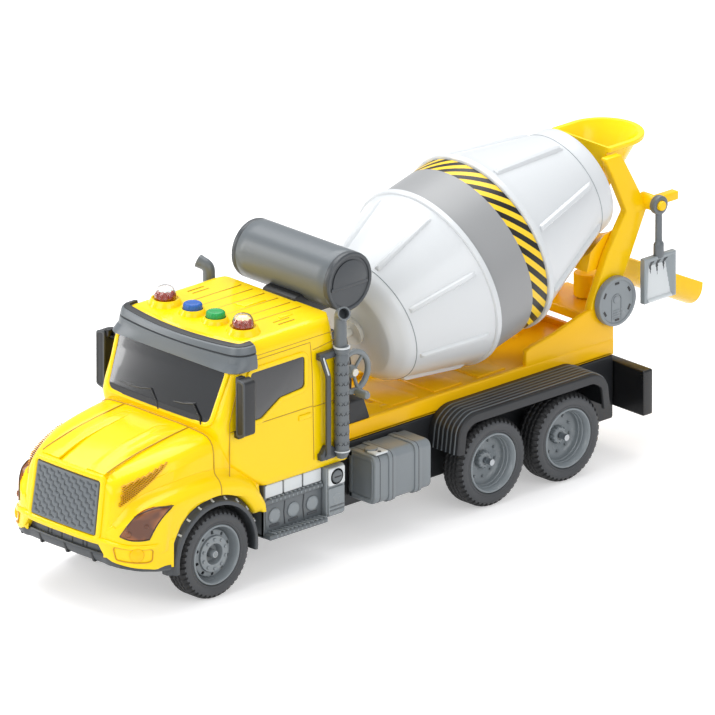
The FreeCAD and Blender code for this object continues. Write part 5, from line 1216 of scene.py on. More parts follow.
# %% The grey air dam under the bumper
def dam_form():
    """A band along the plan: a set-back insert over a ledge that bulges and curls under."""
    across = np.concatenate([np.linspace(-43.8, -40, 12), np.linspace(-39, 39, 79),
                             np.linspace(40, 43.8, 12)])
    side = np.abs(across)
    foot = np.interp(side, [0, 20, 30, 37, 42, 44], [25.9, 25.6, 25.2, 24.0, 22.2, 21.0])
    ledge = np.interp(side, [0, 24, 30, 44], [30.4, 30.4, 28.6, 24.0])
    top = np.interp(side, [0, 25, 30, 44], [35.6, 35.6, 29.6, 25.0])
    proud = -0.4 + 1.2 * eased((side - 24) / 5)
    rows = [(-5.0 + 0 * proud, foot), (proud - 1.6, foot), (proud - 0.7, foot + 0.4),
            (proud - 0.15, foot + 1.3), (proud, ledge - 1.4), (proud - 0.1, ledge - 0.5),
            (proud - 0.5, ledge), (-2.2 + 0 * proud, ledge + 0.1), (-2.2 + 0 * proud, top),
            (-5.0 + 0 * proud, top)]
    points = np.stack([nose_point(across, level, out) for out, level in rows], 1)
    return grid_form(points, wrap_v=True, caps=True)


def on_dam(y, z0, z1, width, out, deep, lean=0.0):
    """A small upright bar on the air dam's face, leaning sideways by lean at its foot."""
    points, faces = block((out - deep, y - width / 2, z0), (out, y + width / 2, z1), 0.2, 2)
    points = points + (0, 1, 0) * (lean * (z1 - points[:, 2:3]) / (z1 - z0))
    return on_nose((points, faces))


# Slits and notches are near black bars on the dam's face: painted shade for the openings.
dam_slits = [on_dam(side * y, 30.7, 35.4, 0.75, -2.0, 1.0) for side in (1, -1)
             for y in (3.6, 10.6, 13.0)]
dam_notches = [on_dam(y, 25.4, 29.6, 1.5, -0.25 + 0.9 * (abs(y) > 30), 2.0, 1.8)
               for y in (-32.5, -17.5, 0.0, 17.5, 32.5)]
piece("air_dam_lip", [(dam_form(), "grey_dark"), (joined(*dam_slits, *dam_notches), "grey_black")],
      "truck", ["air_dam"])

# %% [markdown]
# ## Glass, wipers and the sun visor
# One dark moulding shows in the windscreen and the doors. The windscreen is a grid laid on the
# cabin's slope, and a side pane is its outline with thickness. The wipers are bent black wires.
# The visor is a section carried round the cabin's front edge, shaped once for its whole length.

# %% Lay the dark panes
def screen_sheet():
    """The glass as a grid: each row up the screen spans the outline's width there."""
    edge = inset(screen_outline, -0.6)
    right = edge[edge[:, 0] > 0]
    right = right[np.argsort(right[:, 1])]
    z = np.linspace(right[0, 1], right[-1, 1], 60)
    half = np.interp(z, right[:, 1], right[:, 0])
    y = half[:, None] * np.linspace(-1, 1, 49)[None, :]
    x = F + np.interp(z, CABIN_Z, CABIN_FRONT)[:, None] + 1.2 * (1 - (y / 40) ** 2)
    flat = np.stack([x, y, z[:, None] + 0 * y], -1)
    return closed_sheet(flat + (0.3, 0, 0), flat - (1.2, 0, 0))


screen_pane = screen_sheet()
side_pane = both(slab(inset(pane_outline, -0.6), (39.6, 41.15), "XZ", 0.2, 2))


def wiper(base_y, elbow_y, tip_y):
    """Arm up from the cowl, then the long blade low along the glass."""
    def at(y, z, lift):
        return (F + np.interp(z, CABIN_Z, CABIN_FRONT) + lift, y, z)
    arm = bent([at(base_y, 80.2, 1.0), at(base_y - 0.8, 83.4, 1.7), at(elbow_y, 88.0, 1.7)], 2.0)
    blade = np.array([at(elbow_y + 0.8, 88.4, 1.2), at(elbow_y - 3, 87.6, 1.0),
                      at(tip_y, 86.0, 0.9)])
    spine = np.array([at(elbow_y, 88.0, 1.7), at(elbow_y - 7, 86.6, 1.4), at(tip_y + 4, 85.6, 1.0)])
    return joined(carried(arm, circle(0.42, 10), up=(1, 0, 0.2)),
                  carried(blade, circle(0.3, 8), up=(1, 0, 0.2)),
                  carried(spine, circle(0.3, 8), up=(1, 0, 0.2)))


wipers = joined(wiper(29.0, 22.4, 1.5), wiper(0.4, -6.0, -27.0))
piece("cab_glass", [(screen_pane, "window_dark"), (side_pane, "window_dark"),
                    (wipers, "black_trim")],
      "truck", ["cab_windows"])

# %% Carry the visor round the front of the roof
def visor_form(section):
    """Section points (out, height) carried round the cabin's own front edge in plan."""
    half = curve(np.array([110.0]), CABIN_Z, CABIN_HALF)[0]
    plan = fine(bent([(-26.8, half), (-14.4, half), (-14.4, 0)], 6.5, 12), 1.2)
    plan = np.concatenate([plan, (plan * (1, -1))[::-1][1:]])
    along = np.gradient(plan, axis=0)
    along /= np.linalg.norm(along, axis=1, keepdims=True)
    out_x, out_y = -along[:, 1], along[:, 0]
    if out_x[len(plan) // 2] < 0:
        out_x, out_y = -out_x, -out_y
    rows = [np.column_stack([F + plan[:, 0] + out_x * out, plan[:, 1] + out_y * out,
                             np.full(len(plan), height)]) for out, height in section]
    return grid_form(np.stack([bowed(row, half) for row in rows], 1), wrap_v=True, caps=True)


visor = visor_form([(-1.0, 105.0), (1.8, 105.0), (2.8, 105.5), (3.0, 106.4), (2.7, 109.0),
                    (2.2, 112.2), (1.5, 112.4), (1.5, 113.0), (2.0, 113.2),
                    (1.5, 115.2), (1.0, 116.2), (0.3, 116.6), (-3.4, 116.6), (-3.4, 112.0)])
visor_top = visor_form([(0.2, 116.5), (0.1, 116.9), (-0.3, 117.1), (-2.4, 117.7), (-2.9, 117.6),
                        (-3.0, 116.5)])
# The visor's groove is filled near black: painted shade.
visor_slot = visor_form(rectangle(1.3, 112.45, 1.65, 112.95))
print("visor spans", (visor[0].min(0) - (F, 0, 0)).round(1), (visor[0].max(0) - (F, 0, 0)).round(1))
piece("sun_visor", [(visor, "grey_trim"), (joined(visor_top, visor_slot), "grey_black")], "truck",
      ["visor"], sharp=28)


# %% [markdown]
# ## Wheel arches
# Each front arch is a grey flare: an outer rim, a step, and an inner lip over the tyre, with small
# bright tabs on the step. Its section is turned round the axle through the open part of the
# circle, so the ends are capped and the mesh is closed.

# %% Turn the flares through part of a circle
def part_turned(profile, centre, start, end, steps=72):
    """A closed (radius, y) profile turned round the wheel's centre, start to end in degrees."""
    profile = np.array(profile, float)
    angle = np.radians(np.linspace(start, end, steps))[:, None]
    r, y = profile[:, 0][None, :], profile[:, 1][None, :]
    points = np.stack([centre[0] + r * np.cos(angle), y + 0 * angle, centre[2] + r * np.sin(angle)],
                      -1)
    return grid_form(points, wrap_v=True, caps=True)


FLARE = [(28.35, 37.6), (28.35, 40.6), (28.0, 41.3), (26.9, 42.3), (26.5, 42.8), (26.2, 44.0),
         (25.7, 44.7), (24.7, 45.0), (24.0, 44.9), (23.7, 44.3),
         (23.6, 43.0), (23.6, 30.0), (25.8, 30.0), (25.8, 37.6)]
flare = part_turned(FLARE, (FRONT_X, 0, AXLE_Z), -8, 188)
tabs = []
for angle in np.radians(np.arange(34, 172, 17.5)):
    path = np.array([(FRONT_X + r * math.cos(angle), y, AXLE_Z + r * math.sin(angle)) for r,
                     y in ((27.2, 42.15), (26.5, 42.9), (26.2, 43.9))])
    tabs.append(carried(path, circle(0.55, 8), up=(0.1, 1, 0.1)))
piece("wheel_flares", [(both(flare), "grey_dark"), (both(joined(*tabs)), "grey_bright")], "truck",
      ["wheel_arches"])

# %% [markdown]
# ## Lights and buttons on the roof
# The beacons are clear domes over a deep red toothed base with a small pale star on it, so the
# dome needs real thickness and the base needs its own relief. The buttons are toothed caps that
# sink into their collars when pressed, and each rides its own moving body.

# %% Beacons
def waved(centre, rows, teeth, steps):
    """Rows of (radius, height, wave): the radius varies round the cap by wave times a cosine."""
    angle = np.linspace(0, 2 * math.pi, steps + 1)[:-1]
    loops = []
    for radius, height, wave in rows:
        r = radius + wave * np.cos(teeth * angle)
        loops.append(np.column_stack([centre[0] + r * np.cos(angle), centre[1] + r * np.sin(angle),
                                      np.full(steps, centre[2] + height)]))
    return grid_form(np.stack(loops), wrap_v=True, caps=True)


beacon_parts = []
dome_line = [(5.35 * math.cos(a) ** 0.62, 0.4 + 6.3 * math.sin(a) ** 0.9)
             for a in np.radians(np.linspace(0, 89.9, 19))]
dome_inner = [(r * 0.9, h - 0.45) for r, h in dome_line[::-1]]
for y in (BEACON_Y, -BEACON_Y):
    centre = (ROOF_X, y, 119.4)
    dome = turned([(5.35, 0.1)] + dome_line + dome_inner + [(4.8, 0.1)], centre, (0, 0, 1), 48,
                  loop=True)
    base = waved(centre, [(0.2, -0.1, 0), (4.6, -0.1, 0.0), (4.7, 1.0, 0.1), (4.65, 2.4, 0.2),
                          (4.3, 3.4, 0.3), (3.3, 4.1, 0.3), (0.2, 4.2, 0)], 12, 72)
    # The star's faint glow, warm on the near beacon and cool on the far one, is a painted glint.
    star = waved(centre, [(0.2, 3.9, 0), (2.6, 3.9, 0.5), (2.9, 4.5, 0.8), (2.0, 5.1, 0.5),
                          (1.0, 5.5, 0.2), (0.2, 5.6, 0)], 8, 64)
    beacon_parts += [(dome, "dome_clear"), (base, "lamp_deep"),
                     (star, "spark_warm" if y > 0 else "spark_cool")]
piece("beacon_pair", beacon_parts, "truck", ["beacons"])

# %% Buttons
def button_form(y):
    """A toothed cap: a plain stem, a skirt of teeth, and a dished top."""
    low = 113.05
    rows = [(0.3, 0, 0), (5.6, 0, 0), (5.65, 0.3, 0), (5.65, 0.9, 0), (4.45, 1.2, 0),
            (4.45, 6.2, 0.0), (4.45, 6.4, 0.08), (4.4, 8.4, 0.14),
            (4.25, 9.1, 0.16), (3.7, 9.6, 0.16), (3.1, 9.75, 0.1), (2.7, 9.6, 0), (0.3, 9.5, 0)]
    return waved((ROOF_X, y, low), rows, 18, 108)


piece("button_green_cap", [(button_form(BUTTON_Y), "button_green")], "green_button",
      ["green_button"])
piece("button_blue_cap", [(button_form(-BUTTON_Y), "button_blue")], "blue_button", ["blue_button"])

# %% [markdown]
# ## Things that hang on the cab
# Mirrors, stacks and grab bars are separate grey mouldings. The stack is a turned part: a rounded
# foot, a guard pressed with rows of dimples and a collar. Its pipe is carried up a path that
# turns outward. A dimple is a low bead over a dark crescent, painted shade under the bead, which
# keeps the guard simple.

# %% Mirrors on their arms
def mirror_form():
    """A slab with a soft outline seen from the front, slimmer toward the top of its outer edge."""
    x0, x1, y0, y1 = F - 19.9, F - 12.2, 44.3, 49.6
    outline = rounded([(y0, 75.8), (y1, 77.2), (y1, 103.4), (y0, 104.8)], (1.6, 1.8, 1.8, 1.6), 5)
    return slab(outline, (x0, x1), "YZ", 1.1, 4)


mirror_arms = []
for z in (78.6, 100.6):
    path = bent([(F - 18.5, 40.6, z), (F - 17.4, 43.6, z), (F - 16.2, 46.2, z)], 1.0)
    mirror_arms.append(carried(path, circle(1.1, 12), up=(0, 0, 1)))
    mirror_arms.append(block((F - 20.4, 40.8, z - 2.1), (F - 15.6, 41.9, z + 2.1), 0.4))
    low, high = ((126.9, 42.6, 75.1), (130.3, 46.0, 78.6)) if z < 88 else ((125.2, 42.6, 101.4),
        (129.4, 45.6, 104.9))
    mirror_arms.append(block(low, high, 0.6))
mirror_rim = frame_slab(rounded([(44.2, 75.7), (49.7, 77.1), (49.7, 103.5), (44.2, 104.9)], 1.7, 5),
                        rounded([(45.2, 77.1), (48.7, 78.2), (48.7, 102.4), (45.2, 103.4)], 1.2, 5),
                        (F - 12.9, F - 12.0), "YZ", 0.25, 2)
piece("mirror_pair", [(both(mirror_form()), "grey_black"), (both(mirror_rim), "grey_dark"),
                      (both(joined(*mirror_arms)), "black_trim")],
      "truck", ["mirrors"])

# %% Exhaust stacks
STACK_X, STACK_Y = F - 78.5, 44.8
stack_line = [(0, 49.0), (1.4, 49.05), (2.4, 49.6), (3.0, 50.6), (3.4, 52.0), (3.75, 52.2),
              (3.75, 53.6), (3.45, 54.0), (3.45, 99.6),
              (3.2, 100.2), (3.2, 100.8), (3.75, 101.1), (3.9, 101.6), (3.9, 103.4), (3.6, 104.0),
              (2.6, 104.3), (0, 104.4)]
stack_body = turned(fine(stack_line, 3.0), (STACK_X, STACK_Y, 0), (0, 0, 1), 40)
stack_rings = [turned([(3.3, z), (3.95, z + 0.2), (3.95, z + 0.7), (3.3, z + 0.9)],
                      (STACK_X, STACK_Y, 0), (0, 0, 1), 40, loop=True) for z in (52.6, 103.2)]


def elbow_pipe():
    """The upright pipe turns outward at its top; its mouth flares a little and is hollow."""
    line = bent([(STACK_X, STACK_Y - 0.7, 103.0), (STACK_X + 0.3, STACK_Y - 0.7, 119.6),
                 (STACK_X + 2.4, 49.0, 121.6)], 4.6, 10)
    line = fine(line, 1.2)
    way = line[-1] - line[-2]
    way /= np.linalg.norm(way)
    outer = np.concatenate([line, line[-1:]])
    radius = np.full(len(outer), 2.95)
    radius[-4:] = (3.0, 3.15, 3.2, 2.9)
    inner = np.concatenate([line[-1:] - 0.05 * way, line[::-1][1:7]])
    angle = np.linspace(0, 2 * math.pi, 29)[:-1]
    rows = []
    places = np.concatenate([outer, inner])
    sizes = np.concatenate([radius, [2.5] + [2.3] * 6])
    steps = np.gradient(line, axis=0)
    steps = np.concatenate([steps, steps[-1:], steps[-1:], steps[::-1][1:7]])
    for place, size, step in zip(places, sizes, steps):
        step = step / np.linalg.norm(step)
        across = np.cross(step, (1.0, 0, 0))
        across /= np.linalg.norm(across)
        other = np.cross(step, across)
        ring = np.cos(angle)[:, None] * across + np.sin(angle)[:, None] * other
        rows.append(place + size * ring)
    return grid_form(np.stack(rows), wrap_v=True, caps=True)


dimples, shade_crescents = [], []
for angle in np.radians(np.arange(0, 360, 40)):
    for row in range(9):
        turn = angle + math.radians(20) * (row % 2)
        ray = np.array([math.cos(turn), math.sin(turn), 0])
        at = np.array([STACK_X, STACK_Y, 57.0 + 4.9 * row]) + ray * 3.36
        shade_crescents.append(turned([(0, 0.12), (1.1, 0.06), (1.16, -0.3), (0, -0.4)], at, ray, 12))
        dimples.append(turned([(0, 0.24), (0.8, 0.2), (0.95, 0.0), (0, -0.3)], at + (0, 0, 0.24),
                              ray, 12))
mounts = [block((STACK_X, 40.8, 99.2), (F - 65.6, 44.2, 102.6), 0.7),
          block((STACK_X, 40.8, 50.0), (F - 66.4, 43.8, 53.4), 0.7)]
piece("stack_pair", [(both(joined(stack_body, elbow_pipe())), "grey_trim"),
                     (both(joined(*stack_rings)), "grey_bright"),
                     (both(joined(*shade_crescents)), "grey_black"),
                     (both(joined(*dimples)), "grey_trim"), (both(joined(*mounts)), "grey_dark")],
      "truck", ["exhaust_stacks"])

# %% Grab bars
bar_path = bent([(F - 66.6, 43.4, 101.6), (F - 67.2, 44.2, 99.6), (F - 70.4, 44.3, 91.0),
                 (F - 70.4, 44.3, 52.4), (F - 69.4, 43.0, 50.4)], 2.0, 7)
bar_section = rounded(rectangle(-1.35, -0.7, 1.35, 0.7), 0.35, 3)
bars = carried(fine(bar_path, 3.0), bar_section, up=(0, 1, 0))
bar_foot = slab(rounded([(F - 76.0, 49.9), (F - 66.0, 49.9), (F - 67.0, 53.0), (F - 69.6, 56.5),
                         (F - 73.0, 56.5), (F - 76.0, 54.0)], 0.8, 3), (41.0, 44.0), "XZ", 0.5, 2)
# A pale stripe along the bar's outer face: a painted highlight.
bar_painted_highlight = carried(np.array([(F - 66.9, 44.9, 101.0), (F - 70.2, 45.0, 91.8)]),
                    circle(0.45, 8, 0.5), up=(0, 1, 0))
piece("grab_bar_pair", [(both(joined(bars, bar_foot)), "grey_dark"),
                        (both(bar_painted_highlight), "grey_bright")], "truck", ["grab_bars"])

# %% [markdown]
# ## Steps, tanks, fenders and the tail board
# These bolt to the chassis sides. The steps have ribs pressed slantwise for grip, half-round
# bosses between them and an end box with a round cap. The fuel tanks are rounded boxes held by
# two straps. The rear fenders follow both wheels in one bent sheet with fine ridges on its back.

# %% One step unit, and its mirror image
X_IN, X_OUT = F - 33.2, F - 70.0
step_dark = [
    block((X_OUT, 25.3, 19.7), (X_IN, 44.9, 22.0), 0.7),
    block((X_OUT, 25.3, 35.9), (X_IN, 41.4, 38.3), 0.6),
    block((X_OUT, 25.1, 19.7), (X_IN, 27.0, 45.6), 0.3),
    block((X_OUT, 38.6, 21.0), (X_IN, 40.4, 36.6), 0.3),
    block((X_IN - 2.0, 25.1, 19.7), (X_IN, 40.6, 45.6), 0.4)]
step_ribs = []
for k in range(13):
    x = X_IN - 3.0 - 2.62 * k
    for y0, y1, z in ((40.2, 44.3, 22.15), (38.6, 41.0, 38.45)):
        path = np.array([(x, y0, z), (x - 1.5, y1, z)])
        step_ribs.append(carried(path, circle(0.65, 8, 0.9), up=(0, 0, 1)))
    step_ribs.append(block((x - 2.0, 44.6, 20.2), (x - 1.2, 45.0, 21.5), 0.15, 2))
    step_ribs.append(block((x - 2.0, 41.2, 36.4), (x - 1.2, 41.6, 37.8), 0.15, 2))
step_discs, step_marks = [], []
for k in range(3):
    x = X_IN - 6.5 - 12.0 * k
    rounded_disc = fine([(0, 41.3), (3.0, 41.25), (3.55, 40.9), (3.7, 40.0), (3.7, 39.4)],
                        1.0)[::-1]
    step_discs.append(turned([(r, y - 40.0) for r, y in rounded_disc], (x, 40.0, 29.6), (0, 1, 0),
                             36))
    step_marks.append(carried(np.array([(x + 5.2, 40.5, 24.0), (x + 5.8, 40.5, 30.0),
                                        (x + 5.2, 40.5, 35.2)]), circle(0.28, 8), up=(0, 1, 0)))
    step_marks.append(block((x - 3.0, 40.3, 24.4), (x + 3.0, 40.75, 25.5), 0.2))
bright = []
for k in range(3):
    x0 = X_IN - 0.6 - 12.2 * k
    bright.append(block((x0 - 11.4, 38.9, 39.0), (x0, 40.7, 45.5), 0.6))
box_outline = rounded(rectangle(F - 82.0, 21.1, F - 70.2, 45.6), (2.0, 0.6, 0.6, 1.6), 4)
end_box = slab(box_outline, (25.2, 43.4), "XZ", 0.9, 3)
upper_face = slab(rounded(rectangle(F - 81.2, 36.4, F - 71.0, 45.0), 0.9, 4), (42.6, 44.3), "XZ",
                  0.5, 3)
lower_face = slab(rounded(rectangle(F - 81.2, 22.0, F - 71.0, 35.4), 0.9, 4), (42.6, 44.1), "XZ",
                  0.5, 3)
cap_face = turned([(0, 0.75), (2.3, 0.72), (2.9, 0.5), (3.1, 0.1), (3.9, 0.1), (4.2, -0.3),
                   (4.2, -1.2)][::-1], (F - 76, 44.2, 40.6), (0, 1, 0), 36)
# The cap's slot is a near black block: painted shade.
cap_slot = block((F - 78.2, 44.7, 40.2), (F - 73.8, 45.0, 41.0), 0.12, 2)
box_lines = [block((F - 80.6, 44.0, z), (F - 71.6, 44.35, z + 0.7), 0.15, 2) for z in (24.0, 25.8)]
step_parts = [(joined(*step_dark), "grey_trim"), (joined(*step_ribs), "rim_grey"),
              (joined(*step_discs), "rim_grey"),
              (joined(*step_marks), "grey_dark"), (joined(*bright), "grey_bright"),
              (joined(end_box, lower_face), "rim_grey"),
              (upper_face, "grey_bright"), (joined(cap_face, *box_lines), "grey_trim"),
              (cap_slot, "grey_black")]
left_and_right("step_unit", step_parts, "step_unit")

# %% One fuel tank, and its mirror image
def tank_section(swell):
    """The tank's rounded outline across the truck, swollen by a little for the straps."""
    return rounded(rectangle(25.1, 19.0 - swell, 43.4 + swell, 43.0 + swell),
                   (1.0, 4.2, 4.2, 1.0), 9)


FUEL_FRONT, FUEL_BACK = F - 101.0, F - 137.0
tank_body = slab(tank_section(0), (FUEL_BACK, FUEL_FRONT), "YZ", 1.0, 4)
straps, strap_marks = [], []
for share in (0.3, 0.76):
    middle = FUEL_FRONT - 36.0 * share
    straps.append(slab(tank_section(0.6), (middle - 2.3, middle + 2.3), "YZ", 0.35, 2))
    strap_marks.append(slab(tank_section(0.66), (middle - 0.16, middle + 0.16), "YZ", 0.05, 2))
end_ring = frame_slab(inset(tank_section(0), 1.4), inset(tank_section(0), 3.0),
                      (FUEL_FRONT - 0.6, FUEL_FRONT + 0.35), "YZ", 0.2, 2)
tank_seam = slab(tank_section(0.08), (FUEL_FRONT - 3.4, FUEL_FRONT - 3.1), "YZ", 0.04, 2)
filler = turned([(0, 44.6), (2.6, 44.55), (3.1, 44.2), (3.2, 43.4), (3.2, 42.0)][::-1],
                (FUEL_FRONT - 5, 35.4, 0), (0, 0, 1), 32)
tab = slab(rounded(rectangle(FUEL_FRONT - 9.5, 36.0, FUEL_FRONT - 1.5, 42.4), 0.8, 3), (43.0, 44.0),
           "XY", 0.3, 2)
# The tab's holes are near black discs: painted shade.
tab_holes = [turned([(0, 0.25), (0.9, 0.2), (1.0, -0.4)][::-1], (FUEL_FRONT - 5.4, y, 44.0),
                    (0, 0, 1), 16) for y in (37.9, 40.6)]
fuel_parts = [(joined(tank_body, end_ring), "tank_grey"), (joined(*straps), "tank_grey"),
              (joined(*strap_marks, tank_seam), "grey_black"),
              (filler, "tank_grey"), (tab, "grey_bright"), (joined(*tab_holes), "grey_black")]
left_and_right("fuel_tank", fuel_parts, "fuel_tank")

# %% Rear fenders: a bent sheet with ridges
FENDER_FRONT, FENDER_BACK = DRIVE_X + 23.7, LAST_X - 27.1
fender_line = bent([(FENDER_FRONT, 0, 31.1), (FENDER_FRONT - 1.6, 0, 44.0),
                    (FENDER_FRONT - 9.0, 0, 49.3), (FENDER_BACK + 9.0, 0, 49.3),
                    (FENDER_BACK + 1.6, 0, 44.0), (FENDER_BACK, 0, 31.1)], 5.0, 9)
fender_line = fine(fender_line, 3.0)
sheet = [(25.1, -2.0), (25.1, 0.0), (30.0, 0.0), (43.2, 0.0), (44.3, -0.25), (44.9, -0.9),
         (45.0, -1.8), (45.0, -4.6), (44.3, -4.9), (43.2, -4.6),
         (43.0, -2.6), (42.4, -2.1)]


def along_fender(section):
    """Carry (y, height over the sheet) round the fender, square to its line."""
    step = np.gradient(fender_line, axis=0)
    step /= np.linalg.norm(step, axis=1, keepdims=True)
    normal = np.column_stack([step[:, 2], 0 * step[:, 0], -step[:, 0]])
    rows = [fender_line + normal * h + (0, y, 0) for y, h in section]
    return grid_form(np.stack(rows, 1), wrap_v=True, caps=True)


# The ridges take a lighter grey than the black sheet: painted highlights along them.
ridge_highlights = [along_fender([(y - 0.45, -0.3), (y - 0.25, 0.35), (y + 0.25, 0.35), (y + 0.45, -0.3)])
          for y in (28.6, 31.4, 34.2, 37.0, 39.8, 42.6)]
fender_parts = [(along_fender(sheet), "grey_black"), (joined(*ridge_highlights), "grey_trim")]
left_and_right("rear_fender", fender_parts, "rear_fender")

# %% The tail board
board_outline = rounded(rectangle(-44.9, 20.1, 44.9, 42.4), 1.0, 4)
board = slab(board_outline, (TAIL_X - 5.9, TAIL_X - 0.05), "YZ", 0.6, 3)
board_rim = frame_slab(inset(board_outline, 0.5), inset(board_outline, 2.2),
                       (TAIL_X - 6.0, TAIL_X - 4.8), "YZ", 0.25, 2)
tail_pockets = [frame_slab(rounded([(s * 26, 24.5), (s * 41, 24.5), (s * 41, 38),
                                    (s * 26, 38)][::s], 1.4, 4),
                           rounded([(s * 27, 25.5), (s * 40, 25.5), (s * 40, 37),
                                    (s * 27, 37)][::s], 0.9, 4), (TAIL_X - 6.0, TAIL_X - 5.0), "YZ",
                                    0.2, 2)
                for s in (1, -1)]
piece("tail_plate", [(joined(board, board_rim, *tail_pockets), "black_trim")], "truck",
      ["tail_board"])

# %% [markdown]
# ## The bed, the crank's pedestal and its hand wheel
# The bed is a long yellow channel: level rails with soft edges, a floor a little lower, slots
# near the cab and cheeks that rise beside the rear frame. The hand wheel is three turned or
# carried parts, and it rides with the crank, which turns the drum.

# %% The bed
BED_FRONT = F - 89.1
BED_BACK = TAIL_X + 0.05
rail_section = rounded([(21.9, 46.4), (25.0, 45.8), (25.0, 54.0), (21.9, 54.0)],
                       (0.4, 0.5, 0.8, 0.8), 4)
bed_rails = both(slab(rail_section, (BED_BACK, BED_FRONT), "YZ", 0.6, 3))
bed_floor = block((BED_BACK + 0.4, -23.0, 46.6), (BED_FRONT - 0.4, 23.0, 51.5), 0.3)
bed_ends = [block((BED_BACK, -24.6, 46.2), (BED_BACK + 3.0, 24.6, 53.8), 0.6),
            block((BED_FRONT - 3.0, -24.6, 46.2), (BED_FRONT, 24.6, 53.8), 0.6)]
cheek_flat = rounded([(LAST_X + 8.5, 53.0), (LAST_X + 8.5, 61.0), (LAST_X + 4.0, 62.6),
                      (LAST_X - 9.5, 65.0), (LAST_X - 31.0, 71.0), (TAIL_X + 0.1, 72.0),
                      (TAIL_X + 0.1, 53.0)][::-1], (0.5, 0.8, 2.0, 2.0, 2.0, 1.5, 0.4), 5)
cheeks = both(slab(cheek_flat, (22.0, 24.9), "XZ", 0.6, 3))
bed_pads = [block((x - 9, -16, 50.9), (x + 9, 16, 52.2), 0.6)
            for x in (DRIVE_X + 30, DRIVE_X + 2, DRIVE_X - 26)]
bed_lips = both(block((BED_BACK + 2, 24.4, 46.0), (BED_FRONT - 2, 25.0, 47.2), 0.25))
# Slots in the floor and rails are thin darker yellow blocks: painted shade in the slots.
bed_slots = [block((F - 118 - 9 * k, -6, 50.9), (F - 115.6 - 9 * k, 6, 51.62), 0.15, 2)
             for k in range(4)]
rail_slots = [block((x, y - 1.2, 53.2), (x + 5.2, y + 1.2, 54.02), 0.15, 2)
              for x in (F - 101, F - 110) for y in (23.4, -23.4)]
post_rings = [turned([(0, 0.5), (2.2, 0.5), (2.8, 0.2), (3.0, -0.3)][::-1], (x, y, 51.5), (0, 0, 1),
                     24)
              for x in (DRIVE_X + 40, LAST_X - 20) for y in (-14, 14)]
piece("bed_channel", [(joined(bed_rails, bed_floor, *bed_ends, cheeks, bed_lips, *bed_pads,
                              *post_rings), "yellow_bed"),
                      (joined(*bed_slots, *rail_slots), "yellow_deep")], "truck", ["bed_deck"])

# %% The pedestal and the hand wheel
PED_FRONT, PED_BACK = F - 93.1, F - 117.4
ped_outline = rounded([(PED_BACK, 51.6), (PED_FRONT, 51.6), (PED_FRONT, 90.5),
                       (PED_BACK + 3.4, 92.4), (PED_BACK, 76.0)], (0.8, 0.8, 2.0, 2.0, 2.0), 5)
pedestal = slab(ped_outline, (-10.9, 10.9), "XZ", 0.9, 3)
ped_foot = slab(rounded([(PED_BACK + 1.5, 53.8), (PED_FRONT - 4.0, 53.8), (PED_FRONT - 6.0, 64.6),
                         (PED_BACK + 5.5, 64.6)], 0.8, 3), (10.0, 24.6), "XZ", 0.7, 3)
ped_ribs = [block((PED_BACK + 4 + 6 * k, 10.4, 54), (PED_BACK + 5.4 + 6 * k, 11.0, 74), 0.2)
            for k in range(3)]
piece("pedestal_block", [(joined(pedestal, ped_foot, *ped_ribs), "grey_black")], "truck",
      ["crank_pedestal"])

WHEEL_AT = np.array([F - 102.5, 26.8, node_box("crank_shaft").mean(0)[2]])
ring_section = circle(1.45, 14)
angle = np.linspace(0, 2 * math.pi, 49)[:-1]
ring_path = WHEEL_AT + np.column_stack([9.6 * np.cos(angle), 0 * angle, 9.6 * np.sin(angle)])
wheel_ring = carried(ring_path, ring_section, loop=True, up=(0, 1, 0))
wheel_hub = turned([(0, -2.2), (2.4, -2.2), (3.1, -1.6), (3.2, -0.4), (2.6, 0.8), (1.9, 1.3),
                    (1.6, 1.9), (0, 2.0)], WHEEL_AT, (0, 1, 0), 32)
spokes = []
for k in range(3):
    turn = math.radians(12 + 120 * k)
    ray = np.array([math.cos(turn), 0, math.sin(turn)])
    spokes.append(carried(np.array([WHEEL_AT + ray * 2.2, WHEEL_AT + ray * 6,
                                    WHEEL_AT + ray * 9.6]), circle(0.85, 12), up=(0, 1, 0)))
peg = math.radians(-98)
peg_at = WHEEL_AT + np.array([10 * math.cos(peg), 0, 10 * math.sin(peg)])
handle_peg = turned([(0, 0), (1.3, 0), (1.4, 1.4), (2.0, 1.9), (2.1, 3.2), (2.05, 7.6), (1.6, 8.6),
                     (0.9, 8.95), (0, 9.0)], peg_at, (0, 1, 0), 28)
piece("crank_wheel", [(joined(wheel_ring, *spokes), "tank_grey"),
                      (joined(wheel_hub, handle_peg), "tank_grey")], "crank",
      ["hand_wheel"])

# %% [markdown]
# ## The chassis
# Under everything lies a dark tray that holds the cells and the motor. From outside only its
# sides, its stepped nose and its screw bosses show, so it is an outline with thickness, and the
# bosses and ribs are added where they can be seen from below.

# %% The tray, its nose and its ribs
tray_line = [(TAIL_X + 0.2, 14.2), (FRONT_X - 32.0, 14.2), (FRONT_X - 29.0, 16.0),
             (FRONT_X + 6.0, 16.0), (FRONT_X + 10.0, 27.0), (FRONT_X + 41.5, 27.4),
             (FRONT_X + 41.5, 36.0), (FRONT_X - 24.0, 45.5), (TAIL_X + 0.2, 45.5)]
tray = slab(rounded(tray_line, 1.2, 4), (-24.8, 24.8), "XZ", 0.8, 3)
tray_ribs = [block((TAIL_X + 4, y - 0.7, 13.6 + 0.45), (LAST_X - 22, y + 0.7, 15.0), 0.2, 2)
             for y in (-18, -9, 0, 9, 18)]
screw_bosses = [turned([(1.6, 14.05), (3.4, 14.05), (3.7, 14.4), (3.7, 16.0), (1.6, 16.0)],
                       (x, y, 0), (0, 0, 1), 24, loop=True)
                for x in (LAST_X - 34, DRIVE_X + 22, FRONT_X - 40) for y in (-20.0, 20.0)]
